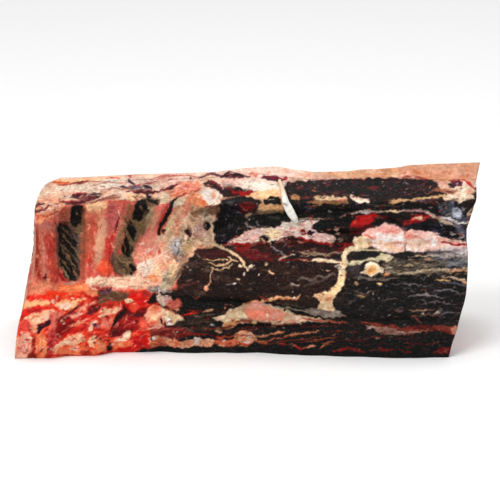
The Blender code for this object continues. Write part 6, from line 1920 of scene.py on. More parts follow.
def paint_lower_fibres(canvas):
    """Long thin fibres along the lower edge and the tenderloin's hip end, each with a painted shadow under
    it.
    """
    tan, brown, red, grey = (206, 152, 110), (120, 74, 56), (132, 40, 34), (132, 128, 134)
    fibres = [
        ([(254, 337), (266, 335), (278, 333), (286, 331)], 2.0, tan),
        ([(258, 341), (275, 339), (296, 335), (319, 331)], 2.2, (178, 116, 82)),
        ([(284, 336), (300, 333.5), (320, 330.5)], 1.8, tan),
        ([(262, 345), (280, 342.5), (300, 340), (322, 336)], 1.8, brown),
        ([(296, 343), (310, 341), (326, 339), (345, 337)], 1.7, (150, 88, 62)),
        ([(262, 327), (280, 325.5), (300, 325)], 1.5, brown),
        ([(300, 328), (320, 326.5), (345, 325)], 1.5, (98, 52, 40)),
        ([(322, 333), (340, 331), (360, 332)], 1.5, (98, 52, 40)),
        ([(320, 343), (345, 341), (366, 342)], 1.6, brown),
        ([(200, 330), (216, 328), (236, 326)], 2.0, (96, 46, 36)),
        ([(178, 333), (196, 334), (214, 335)], 2.2, red),
        ([(182, 325), (200, 322), (216, 320)], 2.4, (66, 52, 44)),
        ([(186, 317), (204, 315), (226, 313)], 1.8, (74, 58, 48)),
        ([(216, 338), (228, 337), (238, 336)], 2.2, (190, 88, 62)),
        ([(236, 329), (250, 327), (266, 327)], 1.8, (90, 40, 32)),
        ([(392, 338), (410, 339), (430, 338)], 1.5, brown),
        ([(404, 343), (424, 344), (446, 342)], 1.5, red),
        ([(360, 345), (380, 344), (398, 345)], 1.5, (98, 52, 40)),
        ([(392, 285), (410, 284), (432, 287)], 1.4, grey),
        ([(408, 297), (424, 295), (444, 298)], 1.6, grey),
        ([(420, 304), (438, 302), (458, 305)], 1.4, (110, 106, 116)),
        ([(432, 291), (448, 290), (464, 293)], 1.8, (104, 104, 118)),
        ([(436, 283), (452, 283), (466, 286)], 1.6, (84, 88, 104)),
        ([(404, 309), (420, 311), (436, 309)], 1.6, (150, 122, 100)),
        ([(412, 317), (428, 315), (446, 317)], 1.4, (116, 84, 76)),
        ([(380, 300), (392, 298), (404, 301)], 1.3, (110, 98, 92)),
        ([(440, 313), (452, 312), (462, 314)], 1.6, (100, 98, 108)),
        ([(352, 291), (364, 293), (380, 291)], 1.4, (96, 80, 74)),
        ([(424, 250), (440, 252), (464, 250)], 1.6, (78, 70, 74)),
        ([(430, 257), (446, 259), (466, 258)], 1.8, (72, 70, 80)),
        ([(436, 265), (450, 266), (467, 265)], 1.8, (64, 66, 78)),
        ([(400, 262), (420, 260), (440, 262)], 1.4, (60, 48, 44)),
        ([(396, 268), (416, 266), (436, 268)], 1.4, (54, 44, 42)),
        ([(408, 257), (424, 255), (440, 256)], 1.4, (208, 184, 152)),
    ]
    for points, width, colour in fibres:
        canvas.line(points, width, colour, soft=0.7, ragged=0.9, cover=0.9, lift=0.5, taper=0.8)
        # a painted shadow line just under the fibre
        canvas.line([(x, y + width * 0.9) for x, y in points], 1.1, (10, 7, 8), soft=0.6, ragged=0.9,
                    cover=0.7, lift=-0.4, taper=0.8)


def wash(red, green, blue):
    """A colour that darkens or lightens what is painted already, by these shares."""
    return lambda canvas, part: canvas.colour[part] * np.array([red, green, blue])


def paint_washes(canvas):
    """Thin washes that darken or lighten whole areas; low on the right they are painted shade over the
    underside.
    """
    areas = [
        ([(34, 222), (57, 222), (57, 284), (34, 290)], wash(0.88, 0.90, 0.88)),
        ([(20, 170), (215, 160), (215, 198), (30, 218)], wash(0.93, 0.89, 0.865)),
        ([(300, 140), (500, 130), (500, 182), (310, 180)], wash(0.89, 0.85, 0.855)),
        ([(166, 264), (200, 250), (345, 262), (345, 300), (180, 302)], wash(1.20, 1.13, 1.10)),
        ([(345, 278), (470, 276), (466, 324), (345, 320)], wash(1.10, 1.02, 0.98)),
        ([(284, 182), (300, 179), (430, 178), (440, 190), (430, 197), (286, 198)], wash(0.84, 0.78, 0.74)),
        # painted shade: darkens the low right, where the underside tucks in above the table
        ([(335, 334), (470, 334), (470, 366), (335, 362)], wash(0.62, 0.50, 0.52)),
        ([(345, 321), (470, 322), (470, 334), (345, 334)], wash(0.90, 0.84, 0.84)),
        ([(255, 324), (345, 324), (340, 350), (255, 350)], wash(0.90, 0.78, 0.78)),
        ([(160, 334), (255, 333), (255, 348), (160, 348)], wash(0.86, 0.80, 0.80)),
        ([(142, 212), (168, 212), (158, 250), (140, 250)], wash(0.88, 0.90, 0.88)),
        ([(164, 196), (212, 198), (212, 246), (172, 262), (160, 240)], wash(0.90, 0.88, 0.86)),
        ([(216, 160), (300, 160), (300, 180), (216, 180)], wash(0.97, 0.95, 0.95)),
        ([(222, 304), (300, 308), (300, 322), (222, 324)], wash(0.92, 0.97, 0.94)),
    ]
    for points, colour in areas:
        canvas.patch(points, colour, soft=4.0, ragged=3.0)


def paint_slot_edges(canvas):
    """Painted brown and olive shade where the ribs turn in to the hollows, a painted highlight, more strands.
    """
    edges = [
        ([(84, 210), (84, 230), (83, 250), (82, 266), (80, 280)], 5.0, (136, 88, 64), 3.0, 0.75),
        ([(88, 212), (89, 232), (88, 250)], 5.0, (176, 92, 68), 3.5, 0.6),
        ([(57, 224), (56.4, 240), (57, 256), (59, 268)], 2.6, (138, 96, 86), 1.6, 0.8),
        ([(130, 206), (126, 220), (121, 236), (116, 250), (113, 258)], 6.0, (132, 100, 74), 2.6, 0.85),
        ([(125, 206), (121, 222), (116, 240)], 3.0, (186, 116, 90), 2.0, 0.6),
        ([(111, 256), (112, 264), (116, 271), (122, 276)], 3.4, (92, 62, 52), 1.6, 0.85),
        ([(114, 262), (118, 268), (124, 273)], 3.2, (122, 96, 68), 1.2, 0.8),
        ([(146, 212), (143, 224), (142, 234)], 4.0, (112, 88, 60), 1.6, 0.85),
        ([(62, 216), (60, 221), (70, 226)], 4.0, (128, 70, 58), 2.4, 0.7),
        ([(44, 234), (50, 232), (56, 236)], 3.0, (206, 96, 74), 2.0, 0.6),
        ([(39, 226), (40, 246), (40, 262)], 2.4, (190, 88, 70), 1.4, 0.7),
        # a painted highlight down the middle of the second rib
        ([(99, 212), (100, 236), (99, 258), (96, 272)], 3.0, (234, 156, 124), 1.6, 0.6),
        ([(92, 216), (93, 236), (92, 262)], 2.0, (180, 68, 54), 1.6, 0.5),
    ]
    for points, width, colour, soft, cover in edges:
        canvas.line(points, width, colour, soft=soft, ragged=0.8, cover=cover, taper=0.3)
    strands = [
        [(61, 226), (68, 233), (75, 240)],
        [(60, 233), (67, 240), (72, 244)],
        [(60, 243), (66, 248), (73, 256)],
        [(62, 252), (68, 258), (75, 266)],
        [(61, 259), (66, 266), (70, 272)],
        [(66, 249), (72, 255), (77, 262)],
        [(124, 216), (128, 222), (134, 226)],
        [(128, 232), (131, 238), (130, 246)],
        [(132, 222), (136, 229), (139, 233)],
        [(120, 262), (126, 266), (130, 271)],
        [(117, 256), (122, 261), (127, 263)],
        [(140, 206), (144, 212), (150, 212)],
        [(122, 240), (125, 247), (127, 254)],
        [(126, 226), (127, 236), (131, 244)],
    ]
    for k, points in enumerate(strands):
        colour = [(104, 84, 60), (128, 104, 74), (88, 70, 60)][k % 3]
        canvas.line(points, 1.7, colour, soft=0.7, ragged=0.7, cover=0.85, lift=0.6, taper=0.6)
        # a painted shadow line under each strand
        shadow_below = [(x - 1.2, y + 1.6) for x, y in points]
        canvas.line(shadow_below, 1.0, (12, 8, 10), soft=0.6, ragged=0.6, cover=0.8, lift=-0.5, taper=0.6)


def paint_fine_marks(canvas):
    """Fibres, cracks and specks, area by area: outline, number, angle, spread, and the fibres' colours."""
    greys, tans = [(196, 190, 188), (150, 146, 150), (110, 104, 108)], [(196, 168, 136), (146, 116, 92),
                                                                        (116, 92, 74)]
    deep = [(10, 7, 8), (14, 9, 9)]
    reds, pinks = [(122, 34, 32), (86, 26, 26), (150, 62, 50)], [(250, 214, 190), (236, 158, 130),
                                                                 (196, 96, 76)]
    areas = [
        ([(286, 184), (300, 181), (430, 180), (438, 190), (430, 196), (290, 197)], 110, -3, 12,
         reds + deep + greys[2:]),
        ([(288, 200), (440, 200), (460, 214), (440, 222), (300, 222)], 110, -3, 9, reds + deep + tans[1:]),
        ([(212, 206), (262, 198), (262, 226), (240, 236), (222, 242), (213, 236)], 50, 20, 50,
         greys[1:] + deep),
        ([(225, 240), (345, 240), (345, 262), (240, 258)], 130, 2, 10, reds + deep + tans[1:]),
        ([(190, 256), (240, 262), (345, 264), (338, 292), (300, 298), (182, 298)], 200, 5, 9,
         tans[2:] + deep + deep + [(70, 56, 50), (84, 66, 58)]),
        ([(345, 276), (466, 272), (462, 322), (345, 318)], 230, 3, 8,
         greys[2:] + deep + deep + [(64, 58, 60), (86, 70, 64)]),
        ([(384, 254), (468, 252), (468, 276), (384, 276)], 110, -6, 8, tans + deep + [(214, 190, 156)]),
        ([(170, 312), (300, 322), (455, 326), (452, 352), (200, 348), (165, 336)], 240, -2, 8,
         tans[1:] + reds + deep),
        ([(438, 200), (464, 202), (466, 240), (440, 228)], 70, 20, 30, greys + deep + [(84, 90, 104)]),
        ([(44, 190), (210, 174), (210, 198), (60, 202)], 110, -7, 14,
         pinks + [(126, 56, 60), (248, 236, 224)]),
        ([(215, 172), (470, 168), (470, 178), (300, 180), (230, 180)], 90, -2, 12, pinks + [(226, 128, 88)]),
        ([(138, 244), (160, 236), (186, 214), (212, 210), (212, 244), (176, 280), (140, 286)], 170, 55, 40,
         pinks + [(150, 112, 88), (250, 232, 212)]),
        ([(86, 276), (160, 276), (160, 290), (90, 288)], 50, 0, 25, pinks + [(250, 232, 206)]),
        ([(38, 226), (56, 226), (58, 284), (34, 286)], 60, 88, 10, pinks[1:] + [(160, 46, 40)]),
        ([(86, 212), (120, 208), (106, 274), (86, 274)], 80, 96, 10,
         pinks[1:] + [(168, 64, 50), (226, 160, 128)]),
        ([(20, 300), (150, 292), (148, 348), (20, 356)], 220, -28, 26,
         pinks + [(206, 26, 24), (150, 16, 22), (90, 16, 22)]),
        ([(362, 232), (470, 232), (466, 250), (366, 252)], 80, 8, 30,
         pinks[:2] + [(206, 120, 112), (252, 240, 234)]),
        ([(240, 226), (345, 226), (345, 242), (232, 242)], 60, -8, 18, pinks + [(130, 70, 74)]),
        ([(222, 304), (300, 310), (300, 324), (222, 324)], 60, 5, 25, pinks + [(214, 176, 144)]),
    ]
    for points, count, angle, spread, colours in areas:
        canvas.scatter(points, count, (2.0, 8.0), (0.7, 1.6), colours, angle=angle, spread=spread, cover=0.8,
                       lift=0.3)
    dark_areas = [
        (areas[0][0], 60),
        (areas[1][0], 30),
        (areas[2][0], 24),
        (areas[4][0], 34),
        (areas[5][0], 60),
        (areas[7][0], 60),
    ]
    for points, count in dark_areas:
        canvas.scatter(points, count, (0.8, 2.0), (0.7, 1.3), greys + tans, angle=0, spread=60, cover=0.9,
                       lift=0.3)


def paint_shadow_under_base(canvas):
    """Painted shadow: near-black shade along the bottom, where the lower front tucks in above the table."""
    canvas.patch([(132, 353), (144, 349.4), (160, 347.6), (176, 348.4), (200, 348), (214, 346.4), (240, 348),
                  (262, 348.6), (290, 350.4), (320, 352), (344, 352.6), (380, 353.4), (430, 354.6),
                  (452, 355), (460, 372), (120, 372)], (5, 4, 5), soft=0.9, ragged=0.8)


def paint_photo():
    # the inner side's canvas: its colours carry the flesh's own colour together with the light and shade
    # falling on it from the front, painted in
    canvas = Canvas(0.0, 150.0, 500.0, 222.0, 0.5, seed=5)
    canvas.coat(crust)
    paint_fillet(canvas)
    paint_lower_edge(canvas)
    paint_top_fat(canvas)
    paint_rib_wall(canvas)
    paint_top_at_ribs(canvas)
    paint_first_rib(canvas)
    paint_second_rib(canvas)
    paint_first_gap(canvas)
    paint_second_gap(canvas)
    paint_raw_base(canvas)
    paint_flesh_below_ribs(canvas)
    paint_third_rib(canvas)
    paint_top_behind_ribs(canvas)
    paint_top_dark_layers(canvas)
    paint_shelf(canvas)
    paint_pocket(canvas)
    paint_flank_muscle(canvas)
    paint_layers_under_flank(canvas)
    paint_hip_corner(canvas)
    paint_fat_seam(canvas)
    paint_inner_flank(canvas)
    paint_fillet_films(canvas)
    paint_veins(canvas)
    paint_upper_suet(canvas)
    paint_lower_suet(canvas)
    paint_crumbs(canvas)
    paint_raw_tip(canvas)
    paint_slot_edges(canvas)
    paint_torn_streaks(canvas)
    paint_top_streaks(canvas)
    paint_lower_fibres(canvas)
    paint_washes(canvas)
    paint_fine_marks(canvas)
    paint_shadow_under_base(canvas)
    canvas.roughen(1.1, 0.14)
    return canvas


cut_flesh = tissue((38, 20, 20), (76, 33, 30), (116, 54, 46), grain=(3.0, 2.2), angle=20)
dry_flesh = tissue((30, 20, 18), (56, 36, 31), (92, 56, 46), grain=(4.0, 2.0), angle=-15)
spongy_bone = tissue((130, 34, 30), (184, 72, 56), (226, 136, 108), grain=(2.2, 1.8))
bone_rim = tissue((196, 140, 112), (224, 184, 152), (240, 214, 186), grain=(5.0, 2.0))
side_flesh = tissue((150, 52, 42), (196, 92, 74), (230, 150, 122), grain=(3.0, 6.0))


def oval(x, y, across, down, angle=0.0, count=28):
    """Points round an oval."""
    turn = math.radians(angle)
    points = []
    for k in range(count):
        u, v = across / 2 * math.cos(2 * math.pi * k / count), down / 2 * math.sin(2 * math.pi * k / count)
        points.append((x + u * math.cos(turn) - v * math.sin(turn),
                       y + u * math.sin(turn) + v * math.cos(turn)))
    return points


def paint_cut(canvas, flesh, muscles, seams, bones, sides):
    """A cut across the loin: fat outside, dry flesh, muscles with fat between them, and sawn bones."""
    canvas.coat(cream_fat)
    for side, width, colour in sides:
        canvas.line(side, width, colour, soft=2.0, ragged=2.0, taper=0.2)
    canvas.patch(flesh, dry_flesh, soft=1.5, ragged=2.5, lift=-0.6)
    for muscle in muscles:
        canvas.patch(muscle, cut_flesh, soft=1.2, ragged=2.0, lift=0.5, gloss=0.5)
        canvas.line(muscle + muscle[:1], 2.6, (214, 178, 142), soft=1.0, ragged=2.2, cover=0.9, lift=-0.3,
                    taper=0.0)
        canvas.scatter(muscle, 46, (4, 13), (0.8, 1.7), [(208, 164, 132), (150, 96, 78), (226, 196, 166)],
                       angle=60, spread=55, cover=0.75)
    for seam, width in seams:
        canvas.line(seam, width, cream_fat, soft=1.2, ragged=2.4, taper=0.6, lift=0.3)
    for bone in bones:
        canvas.patch(bone, bone_rim, soft=0.9, ragged=1.2, lift=0.4)
        middle = np.mean(bone, axis=0)
        inner = [tuple(mix(np.array(point), middle, 0.16)) for point in bone]
        canvas.patch(inner, spongy_bone, soft=1.6, ragged=2.0, lift=-0.6)
    canvas.roughen(0.9, 0.13)


def paint_rib_end():
    canvas = Canvas(-95.0, -5.0, 190.0, 200.0, 0.7, seed=6)
    flesh = [
        (-60, 196), (-66, 180), (-56, 168), (-24, 150), (-10, 132), (-8, 112), (-12, 93), (-22, 76),
        (-30, 66), (-22, 58), (-4, 56), (12, 60), (28, 74), (40, 98), (49, 124), (52, 150), (47, 196),
    ]
    sides = [([(-46, 38), (-34, 60), (-30, 92), (-40, 116), (-60, 138), (-75, 150)], 30.0, side_flesh),
             ([(-60, 140), (-40, 116), (-22, 106), (-16, 134)], 28.0, side_flesh),
             ([(-46, 38), (-26, 34), (0, 32), (24, 44)], 34.0, peach_fat)]
    eye = oval(20, 112, 50, 80, 10)
    deep = oval(22, 166, 38, 22, -8)
    flap = [(-27, 66), (-18, 60), (-2, 59), (8, 63), (2, 70), (-12, 74), (-22, 73)]
    seams = [
        ([(-30, 74), (-12, 76), (4, 74), (14, 70)], 3.4),
        ([(-12, 64), (-10, 90), (-8, 118), (-14, 132)], 5.0),
        ([(-36, 58), (-28, 76), (-27, 98), (-36, 118)], 2.4),
        ([(46, 140), (40, 154), (24, 156), (4, 156)], 3.4),
    ]
    backbone = [
        (-69, 188), (-76, 176), (-76, 160), (-71, 145), (-60, 134), (-50, 125), (-40, 125), (-29, 132),
        (-22, 146), (-20, 168), (-30, 186),
    ]
    feather = [(-18, 166), (-12, 172), (8, 178), (42, 184), (43, 188), (8, 188), (-20, 187)]
    rib = [(-44, 62), (-39, 61), (-38, 92), (-42, 108), (-50, 117), (-46, 104), (-43, 86)]
    paint_cut(canvas, flesh, [eye, deep, flap], seams, [backbone, feather, rib], sides)
    return canvas


def paint_hip_end():
    canvas = Canvas(-95.0, -5.0, 190.0, 200.0, 0.7, seed=7)
    flesh = [
        (-66, 196), (-70, 180), (-70, 165), (-67, 152), (-73, 125), (-72, 98), (-66, 82), (-50, 74),
        (-49, 58), (-50, 45), (-48, 26), (-38, 20), (-22, 18), (0, 31), (22, 50), (39, 76), (50, 110),
        (53, 145), (48, 196),
    ]
    fillet = oval(-54, 117, 38, 76, 6)
    eye = oval(20, 118, 56, 88, 16)
    deep = oval(26, 170, 34, 16, -6)
    sides = [([(-50, 28), (-49, 60), (-60, 76)], 16.0, dry_flesh),
             ([(-50, 24), (-24, 14), (-4, 22)], 16.0, cream_fat)]
    flank = [(-46, 28), (-34, 23), (-20, 24), (-12, 34), (-16, 66), (-30, 70), (-44, 68)]
    seams = [
        ([(-48, 44), (-30, 46), (-14, 44)], 2.6),
        ([(-46, 58), (-30, 58), (-16, 54)], 2.2),
        ([(-46, 72), (-30, 74), (-24, 84), (-30, 100), (-30, 124)], 5.0),
        ([(-8, 36), (-8, 60), (-12, 84)], 5.0),
        ([(-6, 40), (14, 56), (30, 74)], 3.2),
        ([(-2, 160), (20, 160), (44, 150)], 3.4),
    ]
    backbone = [
        (-44, 188), (-47, 176), (-47, 165), (-43, 155), (-36, 151), (-29, 147), (-20, 150), (-8, 156),
        (-2, 166), (4, 174), (-4, 186), (-22, 189),
    ]
    finger = [(-28, 148), (-26, 130), (-24, 108), (-22, 88), (-17, 87), (-15, 104), (-12, 126), (-9, 154)]
    feather = [(2, 174), (16, 179), (44, 184), (45, 188), (16, 188), (-2, 186)]
    paint_cut(canvas, flesh, [fillet, eye, deep, flank], seams, [finger, backbone, feather], sides)
    return canvas


def paint_back():
    """The fat on the back: cream to peach, uneven, with a few stains, creases and thin dry places."""
    canvas = Canvas(-250.0, -5.0, 500.0, 200.0, 1.0, seed=9)
    fat_cover = tissue((226, 158, 126), (240, 192, 160), (248, 222, 200), grain=(26.0, 14.0), angle=-8)
    canvas.coat(fat_cover)
    area = [(-245, 0), (245, 0), (245, 190), (-245, 190)]
    for count, length, width, colours, cover in (
        (46, (26, 70), (10, 26), [(240, 178, 150), (232, 156, 124), (248, 228, 204)], 0.30),
        (60, (12, 40), (3, 9), [(228, 150, 112), (208, 160, 112), (250, 232, 212)], 0.35),
        (190, (8, 38), (0.9, 2.2), [(190, 122, 88), (166, 88, 66), (252, 240, 224)], 0.75),
        (26, (5, 12), (3, 7), [(170, 70, 54), (112, 48, 40), (186, 110, 76)], 0.55),
    ):
        canvas.scatter(area, count, length, width, colours, angle=-6, spread=24, cover=cover, lift=0.2)
    for x, y, across, down in ((-150, 60, 60, 18), (-30, 120, 80, 16), (110, 70, 70, 20),
                               (190, 150, 50, 14)):
        canvas.spot(x, y, across, down, tissue((84, 44, 36), (150, 84, 62), (206, 146, 108),
                                               grain=(9.0, 3.0)), angle=-6, soft=9.0, ragged=7.0, cover=0.45,
                    lift=-0.5)
    canvas.patch([(-250, 178), (-100, 182), (60, 179), (250, 181), (250, 200), (-250, 200)],
                 tissue((64, 40, 32), (128, 84, 60), (190, 142, 102), grain=(12.0, 3.0)), soft=7.0,
                 ragged=5.0, cover=0.85)
    canvas.lift += 2.0 * canvas.noise(38.0, 22.0, -6) + 1.0 * canvas.noise(12.0, 8.0, -6) - 1.0
    canvas.roughen(1.6, 0.06)
    return canvas


def paint_cord():
    """The twisted sinew, in the photograph's pixels: white, with painted grey shade at a fold, and cream
    where it is tied in.
    """
    canvas = Canvas(265.0, 175.0, 50.0, 60.0, 0.5, seed=8)
    white = tissue((214, 206, 194), (244, 240, 230), (254, 252, 248), grain=(5.0, 1.8), angle=-35)
    canvas.coat(white, gloss=0.5)
    canvas.patch([(265, 175), (315, 175), (315, 190), (292, 193), (265, 194)], (238, 208, 176), soft=4.0)
    # painted shade in the fold between the sinew's strands
    canvas.line([(283, 203), (287, 205)], 2.0, (150, 140, 132), soft=1.0)
    return canvas


# Meshes. Every point has a kind, which says where its paint comes from.

SEEN, BACK, BASE, HIDDEN, RIB_END, HIP_END, CORD = range(7)
BACK_AXIS = np.array([0.0, -0.010, 0.060])  # the line that the fat on the back bulges away from
CANVAS_TOP = 190  # the height of the top of the canvases for the ends and the back, in millimetres
PER_METRE = 1000  # millimetres


def capped(rings, kinds, end_kinds, cap_steps, centres=(None, None)):
    """A closed tube through the rings: its points, kinds and faces. Its ends close in rings."""
    count, size = rings.shape[:2]
    points, all_kinds = [rings.reshape(-1, 3)], [np.tile(kinds, count)]
    grid = np.arange(count * size).reshape(count, size)
    quads = [strip(grid[:-1], grid[1:])]
    triangles = []
    total = count * size
    for ring, row, kind, centre in zip((rings[0], rings[-1]), (grid[0], grid[-1]), end_kinds, centres):
        middle = ring.mean(axis=0) if centre is None else np.array(centre)
        for step in range(1, cap_steps):
            points.append(mix(ring, middle, step / cap_steps))
            all_kinds.append(np.full(size, kind))
            following = np.arange(total, total + size)
            quads.append(strip(row[None], following[None]))
            row, total = following, total + size
        points.append(middle[None])
        all_kinds.append(np.array([kind]))
        triangles.append(np.stack([row, np.roll(row, -1), np.full(size, total)], axis=-1))
        total += 1
    return np.concatenate(points), np.concatenate(all_kinds), np.concatenate(quads), np.concatenate(triangles)


def capped_band(rings, kinds, end_kinds, half, across):
    """A closed tube with a thin band for its section, whose ends close straight across the band.

    A ring's first half points run up one side, and as many run down the other. The across - 1 points after
    them lead back to the start.
    """
    count, size = rings.shape[:2]
    points, all_kinds = [rings.reshape(-1, 3)], [np.tile(kinds, count)]
    grid = np.arange(count * size).reshape(count, size)
    quads, triangles = [strip(grid[:-1], grid[1:])], []
    total = count * size
    for ring, row, kind in zip((rings[0], rings[-1]), (grid[0], grid[-1]), end_kinds):
        up, down = ring[1:half - 1], ring[half + 1:2 * half - 1][::-1]
        columns = [row[:half - 1]]
        for step in range(1, across):
            points.append(mix(up, down, step / across))
            all_kinds.append(np.full(half - 2, kind))
            columns.append(np.append(row[2 * half + across - step - 1], np.arange(total, total + half - 2)))
            total += half - 2
        columns.append(row[half + 1:2 * half][::-1])
        columns = np.stack(columns)
        lower, upper = columns[:, :-1], columns[:, 1:]
        quads.append(np.stack([lower[:-1], lower[1:], upper[1:], upper[:-1]], axis=-1).reshape(-1, 4))
        tips = np.append(columns[:, -1], row[half])
        triangles.append(np.stack([tips[:-1], tips[1:], np.full(len(tips) - 1, row[half - 1])], axis=-1))
    return np.concatenate(points), np.concatenate(all_kinds), np.concatenate(quads), np.concatenate(triangles)


def strip(row, following):
    """Four-cornered faces between rows of point numbers, closed round."""
    faces = np.stack([row, np.roll(row, -1, axis=1), np.roll(following, -1, axis=1), following], axis=-1)
    return faces.reshape(-1, 4)


def painted(points, kinds):
    """The points with their relief, and the colour and gloss of each."""
    colour, gloss = np.zeros((len(points), 3)), np.full(len(points), PLAIN_GLOSS)
    moved = points.copy()
    for kind, (canvas, spread, outward) in PAINTED_SIDES.items():
        mine = kinds == kind
        if mine.any():
            place = points[mine]
            tint, lift, shine = canvas.at(*spread(place))
            colour[mine], gloss[mine] = tint, shine
            moved[mine] = place + outward(place) * lift[:, None] / PER_METRE
    flat = (kinds == BASE) | (kinds == HIDDEN)
    colour[flat] = np.array(BASE_COLOUR) / 255
    return moved, colour, gloss


def spread_end(points):
    """An end cut's places in millimetres, with the height counted down from the top as on a picture."""
    return points[:, 1] * PER_METRE, CANVAS_TOP - points[:, 2] * PER_METRE


def spread_back(points):
    """Along the loin, and up the back's slope, both in millimetres."""
    return points[:, 0] * PER_METRE, CANVAS_TOP - points[:, 2] * PER_METRE


def away_from_axis(points):
    """Straight away from the line inside that the back bulges from."""
    direction = points - BACK_AXIS
    direction[:, 0] = 0.0
    return direction / np.linalg.norm(direction, axis=1, keepdims=True)


PAINTED_SIDES = {
    SEEN: (paint_photo(), to_pixels, lambda points: TO_EYE),
    BACK: (paint_back(), spread_back, away_from_axis),
    RIB_END: (paint_rib_end(), spread_end, lambda points: np.array([-1.0, 0.0, 0.0])),
    HIP_END: (paint_hip_end(), spread_end, lambda points: np.array([1.0, 0.0, 0.0])),
    CORD: (paint_cord(), to_pixels, lambda points: TO_EYE),
}


def to_light(colour):
    """Eye values to the light values that the renderer reads."""
    return np.where(colour <= 0.04045, colour / 12.92, ((colour + 0.055) / 1.055) ** 2.4)


PAINT_STRENGTH = 0.80  # the lamps are bright, so that the floor is white, and the surface is as much darker
SHEEN = 0.010  # what the surface's gloss adds to dark flesh
DARKEST = 0.001


def piece(name, parts, nodes, material):
    """One finished piece: painted, moved to the part's frame, kept in the solids' box, riding on the body."""
    points, kinds, quads, triangles = parts
    moved, colour, gloss = painted(points, kinds)
    moved = np.clip(moved + CENTRING, np.array(cad_low), np.array(cad_high))
    mesh = bpy.data.meshes.new(name)
    mesh.from_pydata(moved.tolist(), [], quads.tolist() + triangles.tolist())
    shaped = bmesh.new()
    shaped.from_mesh(mesh)
    bmesh.ops.recalc_face_normals(shaped, faces=shaped.faces)
    shaped.to_mesh(mesh)
    shaped.free()
    mesh.shade_smooth()
    tint = mesh.color_attributes.new("tint", "FLOAT_COLOR", "POINT")
    light = np.maximum(PAINT_STRENGTH * to_light(np.clip(colour, 0.0, 1.0)) - SHEEN, DARKEST)
    rgba = np.concatenate([light, gloss[:, None]], axis=1)
    tint.data.foreach_set("color", rgba.astype(np.float32).ravel())
    mesh.color_attributes.active_color = tint
    made = bpy.data.objects.new(name, mesh)
    bpy.context.scene.collection.objects.link(made)
    mesh.materials.append(material)
    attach(made, "root")
    if nodes:
        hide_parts(*nodes)


def steps(count):
    return max(int(count / COARSE), 4)


def inner_steps(count):
    """Even steps from 0 to 1, without these two."""
    return np.linspace(0, 1, count)[1:-1]


CORNER_ROUNDING = 0.7  # how far the sawn top bulges out at the rib end's corner, 1 for a quarter circle
CRAGS = (0.016, 0.0030)  # size and height of the lumps on the sawn top
CROWN = 0.0015  # how far the sawn top is raised in its middle
CUT_MIDDLE = (0.005, 0.090)  # y and z that the lean's end cuts close round
OVERLAP = 0.003  # how far a piece's skin goes on under its neighbours' skins
END_INSET = 0.0006  # the lean ends a little inside the other pieces, so that their cut ends show
CORNER_REACH = 0.12  # how far along the loin that corner's bulge goes, as a share
INTO_FAT = 0.001  # how far the top edge of the lean's back goes into the fat
HALF_LENGTH = 0.23  # about half of the loin's length

# How many rows and columns of points the lean's surfaces have.
LEAN_ALONG = 700
LEAN_UP = 290
LEAN_OVER_TOP = 56
LEAN_DOWN = 80
FOOT_ACROSS = 50
LEAN_CAP = 44


def lean_parts():
    s, t = np.linspace(0, 1, steps(LEAN_ALONG)), np.linspace(0, 1, steps(LEAN_UP))
    r = inner_steps(steps(LEAN_OVER_TOP))
    front_s, front_t = np.meshgrid(s, t, indexing="ij")
    z = front_t * top_front_height(mix(*SAWN_EDGE_ENDS, front_s))
    front = skin("lean", end_to_end(front_s, z), z)
    edge = front[:, -1:]
    seam = on_seam(s, np.ones(len(s)))[:, None]
    top = mix(edge, seam, r[None, :, None])
    round_corner = CORNER_ROUNDING * (r - 1 + np.sqrt(1 - r**2)) * smooth(CORNER_REACH, 0.0, s)[:, None]
    top[..., 0] -= round_corner * (seam[..., 0] - edge[..., 0])
    crag = CROWN + unevenness(top[..., 0], top[..., 1], 0.3, *CRAGS)
    top[..., 2] += np.sin(math.pi * r) * crag
    back_s, back_t = np.meshgrid(s, np.linspace(1, 0, steps(LEAN_DOWN)), indexing="ij")
    back = on_seam(back_s, back_t)
    back[:, :2, 1] += INTO_FAT
    foot = mix(back[:, -1:], front[:, :1], inner_steps(steps(FOOT_ACROSS))[None, :, None])
    rings = np.concatenate([front, top, back, foot], axis=1)
    rings[..., 0] = mix(rings[..., 0], 0.0, END_INSET / HALF_LENGTH)
    kinds = np.repeat([SEEN, SEEN, HIDDEN, BASE], [front.shape[1], top.shape[1], back.shape[1],
                                                   foot.shape[1]])
    centres = [(ring[:, 0].mean(), *CUT_MIDDLE) for ring in (rings[0], rings[-1])]
    return capped(rings, kinds, (RIB_END, HIP_END), steps(LEAN_CAP), centres)


FAT_ACROSS = 6  # faces across the cut end of the fat
FAT_ALONG = 330
FAT_UP = 74
FAT_OVER_TOP = 26
FAT_SEAM_START = 0.975  # the fat's hidden side starts at this share of the height
FAT_SEAM_BEND = 0.95  # and its points lie closer together down to this one


def fat_parts():
    s, up = np.linspace(0, 1, steps(FAT_ALONG)), np.linspace(0, 1, steps(FAT_UP))
    out_s, out_t = np.meshgrid(s, up, indexing="ij")
    outer = on_outer_side(out_s, out_t)
    seam_top = on_seam(s, np.ones(len(s)))[:, None] + np.array([0.0, -LAP, 0.0002])
    top = mix(outer[:, -1:], seam_top, np.linspace(0, 1, steps(FAT_OVER_TOP))[1:][None, :, None])
    start = np.linspace(FAT_SEAM_START, FAT_SEAM_BEND, top.shape[1], endpoint=False)
    down = np.concatenate([start, FAT_SEAM_BEND * up[::-1]])
    in_s, in_t = np.meshgrid(s, down, indexing="ij")
    inner = on_seam(in_s, in_t)
    foot = mix(inner[:, -1:], outer[:, :1], inner_steps(FAT_ACROSS + 1)[None, :, None])
    rings = np.concatenate([outer, top, inner, foot], axis=1)
    kinds = np.repeat([BACK, SEEN, HIDDEN, BASE], [outer.shape[1], top.shape[1], inner.shape[1],
                                                   foot.shape[1]])
    return capped_band(rings, kinds, (RIB_END, HIP_END), inner.shape[1], FAT_ACROSS)


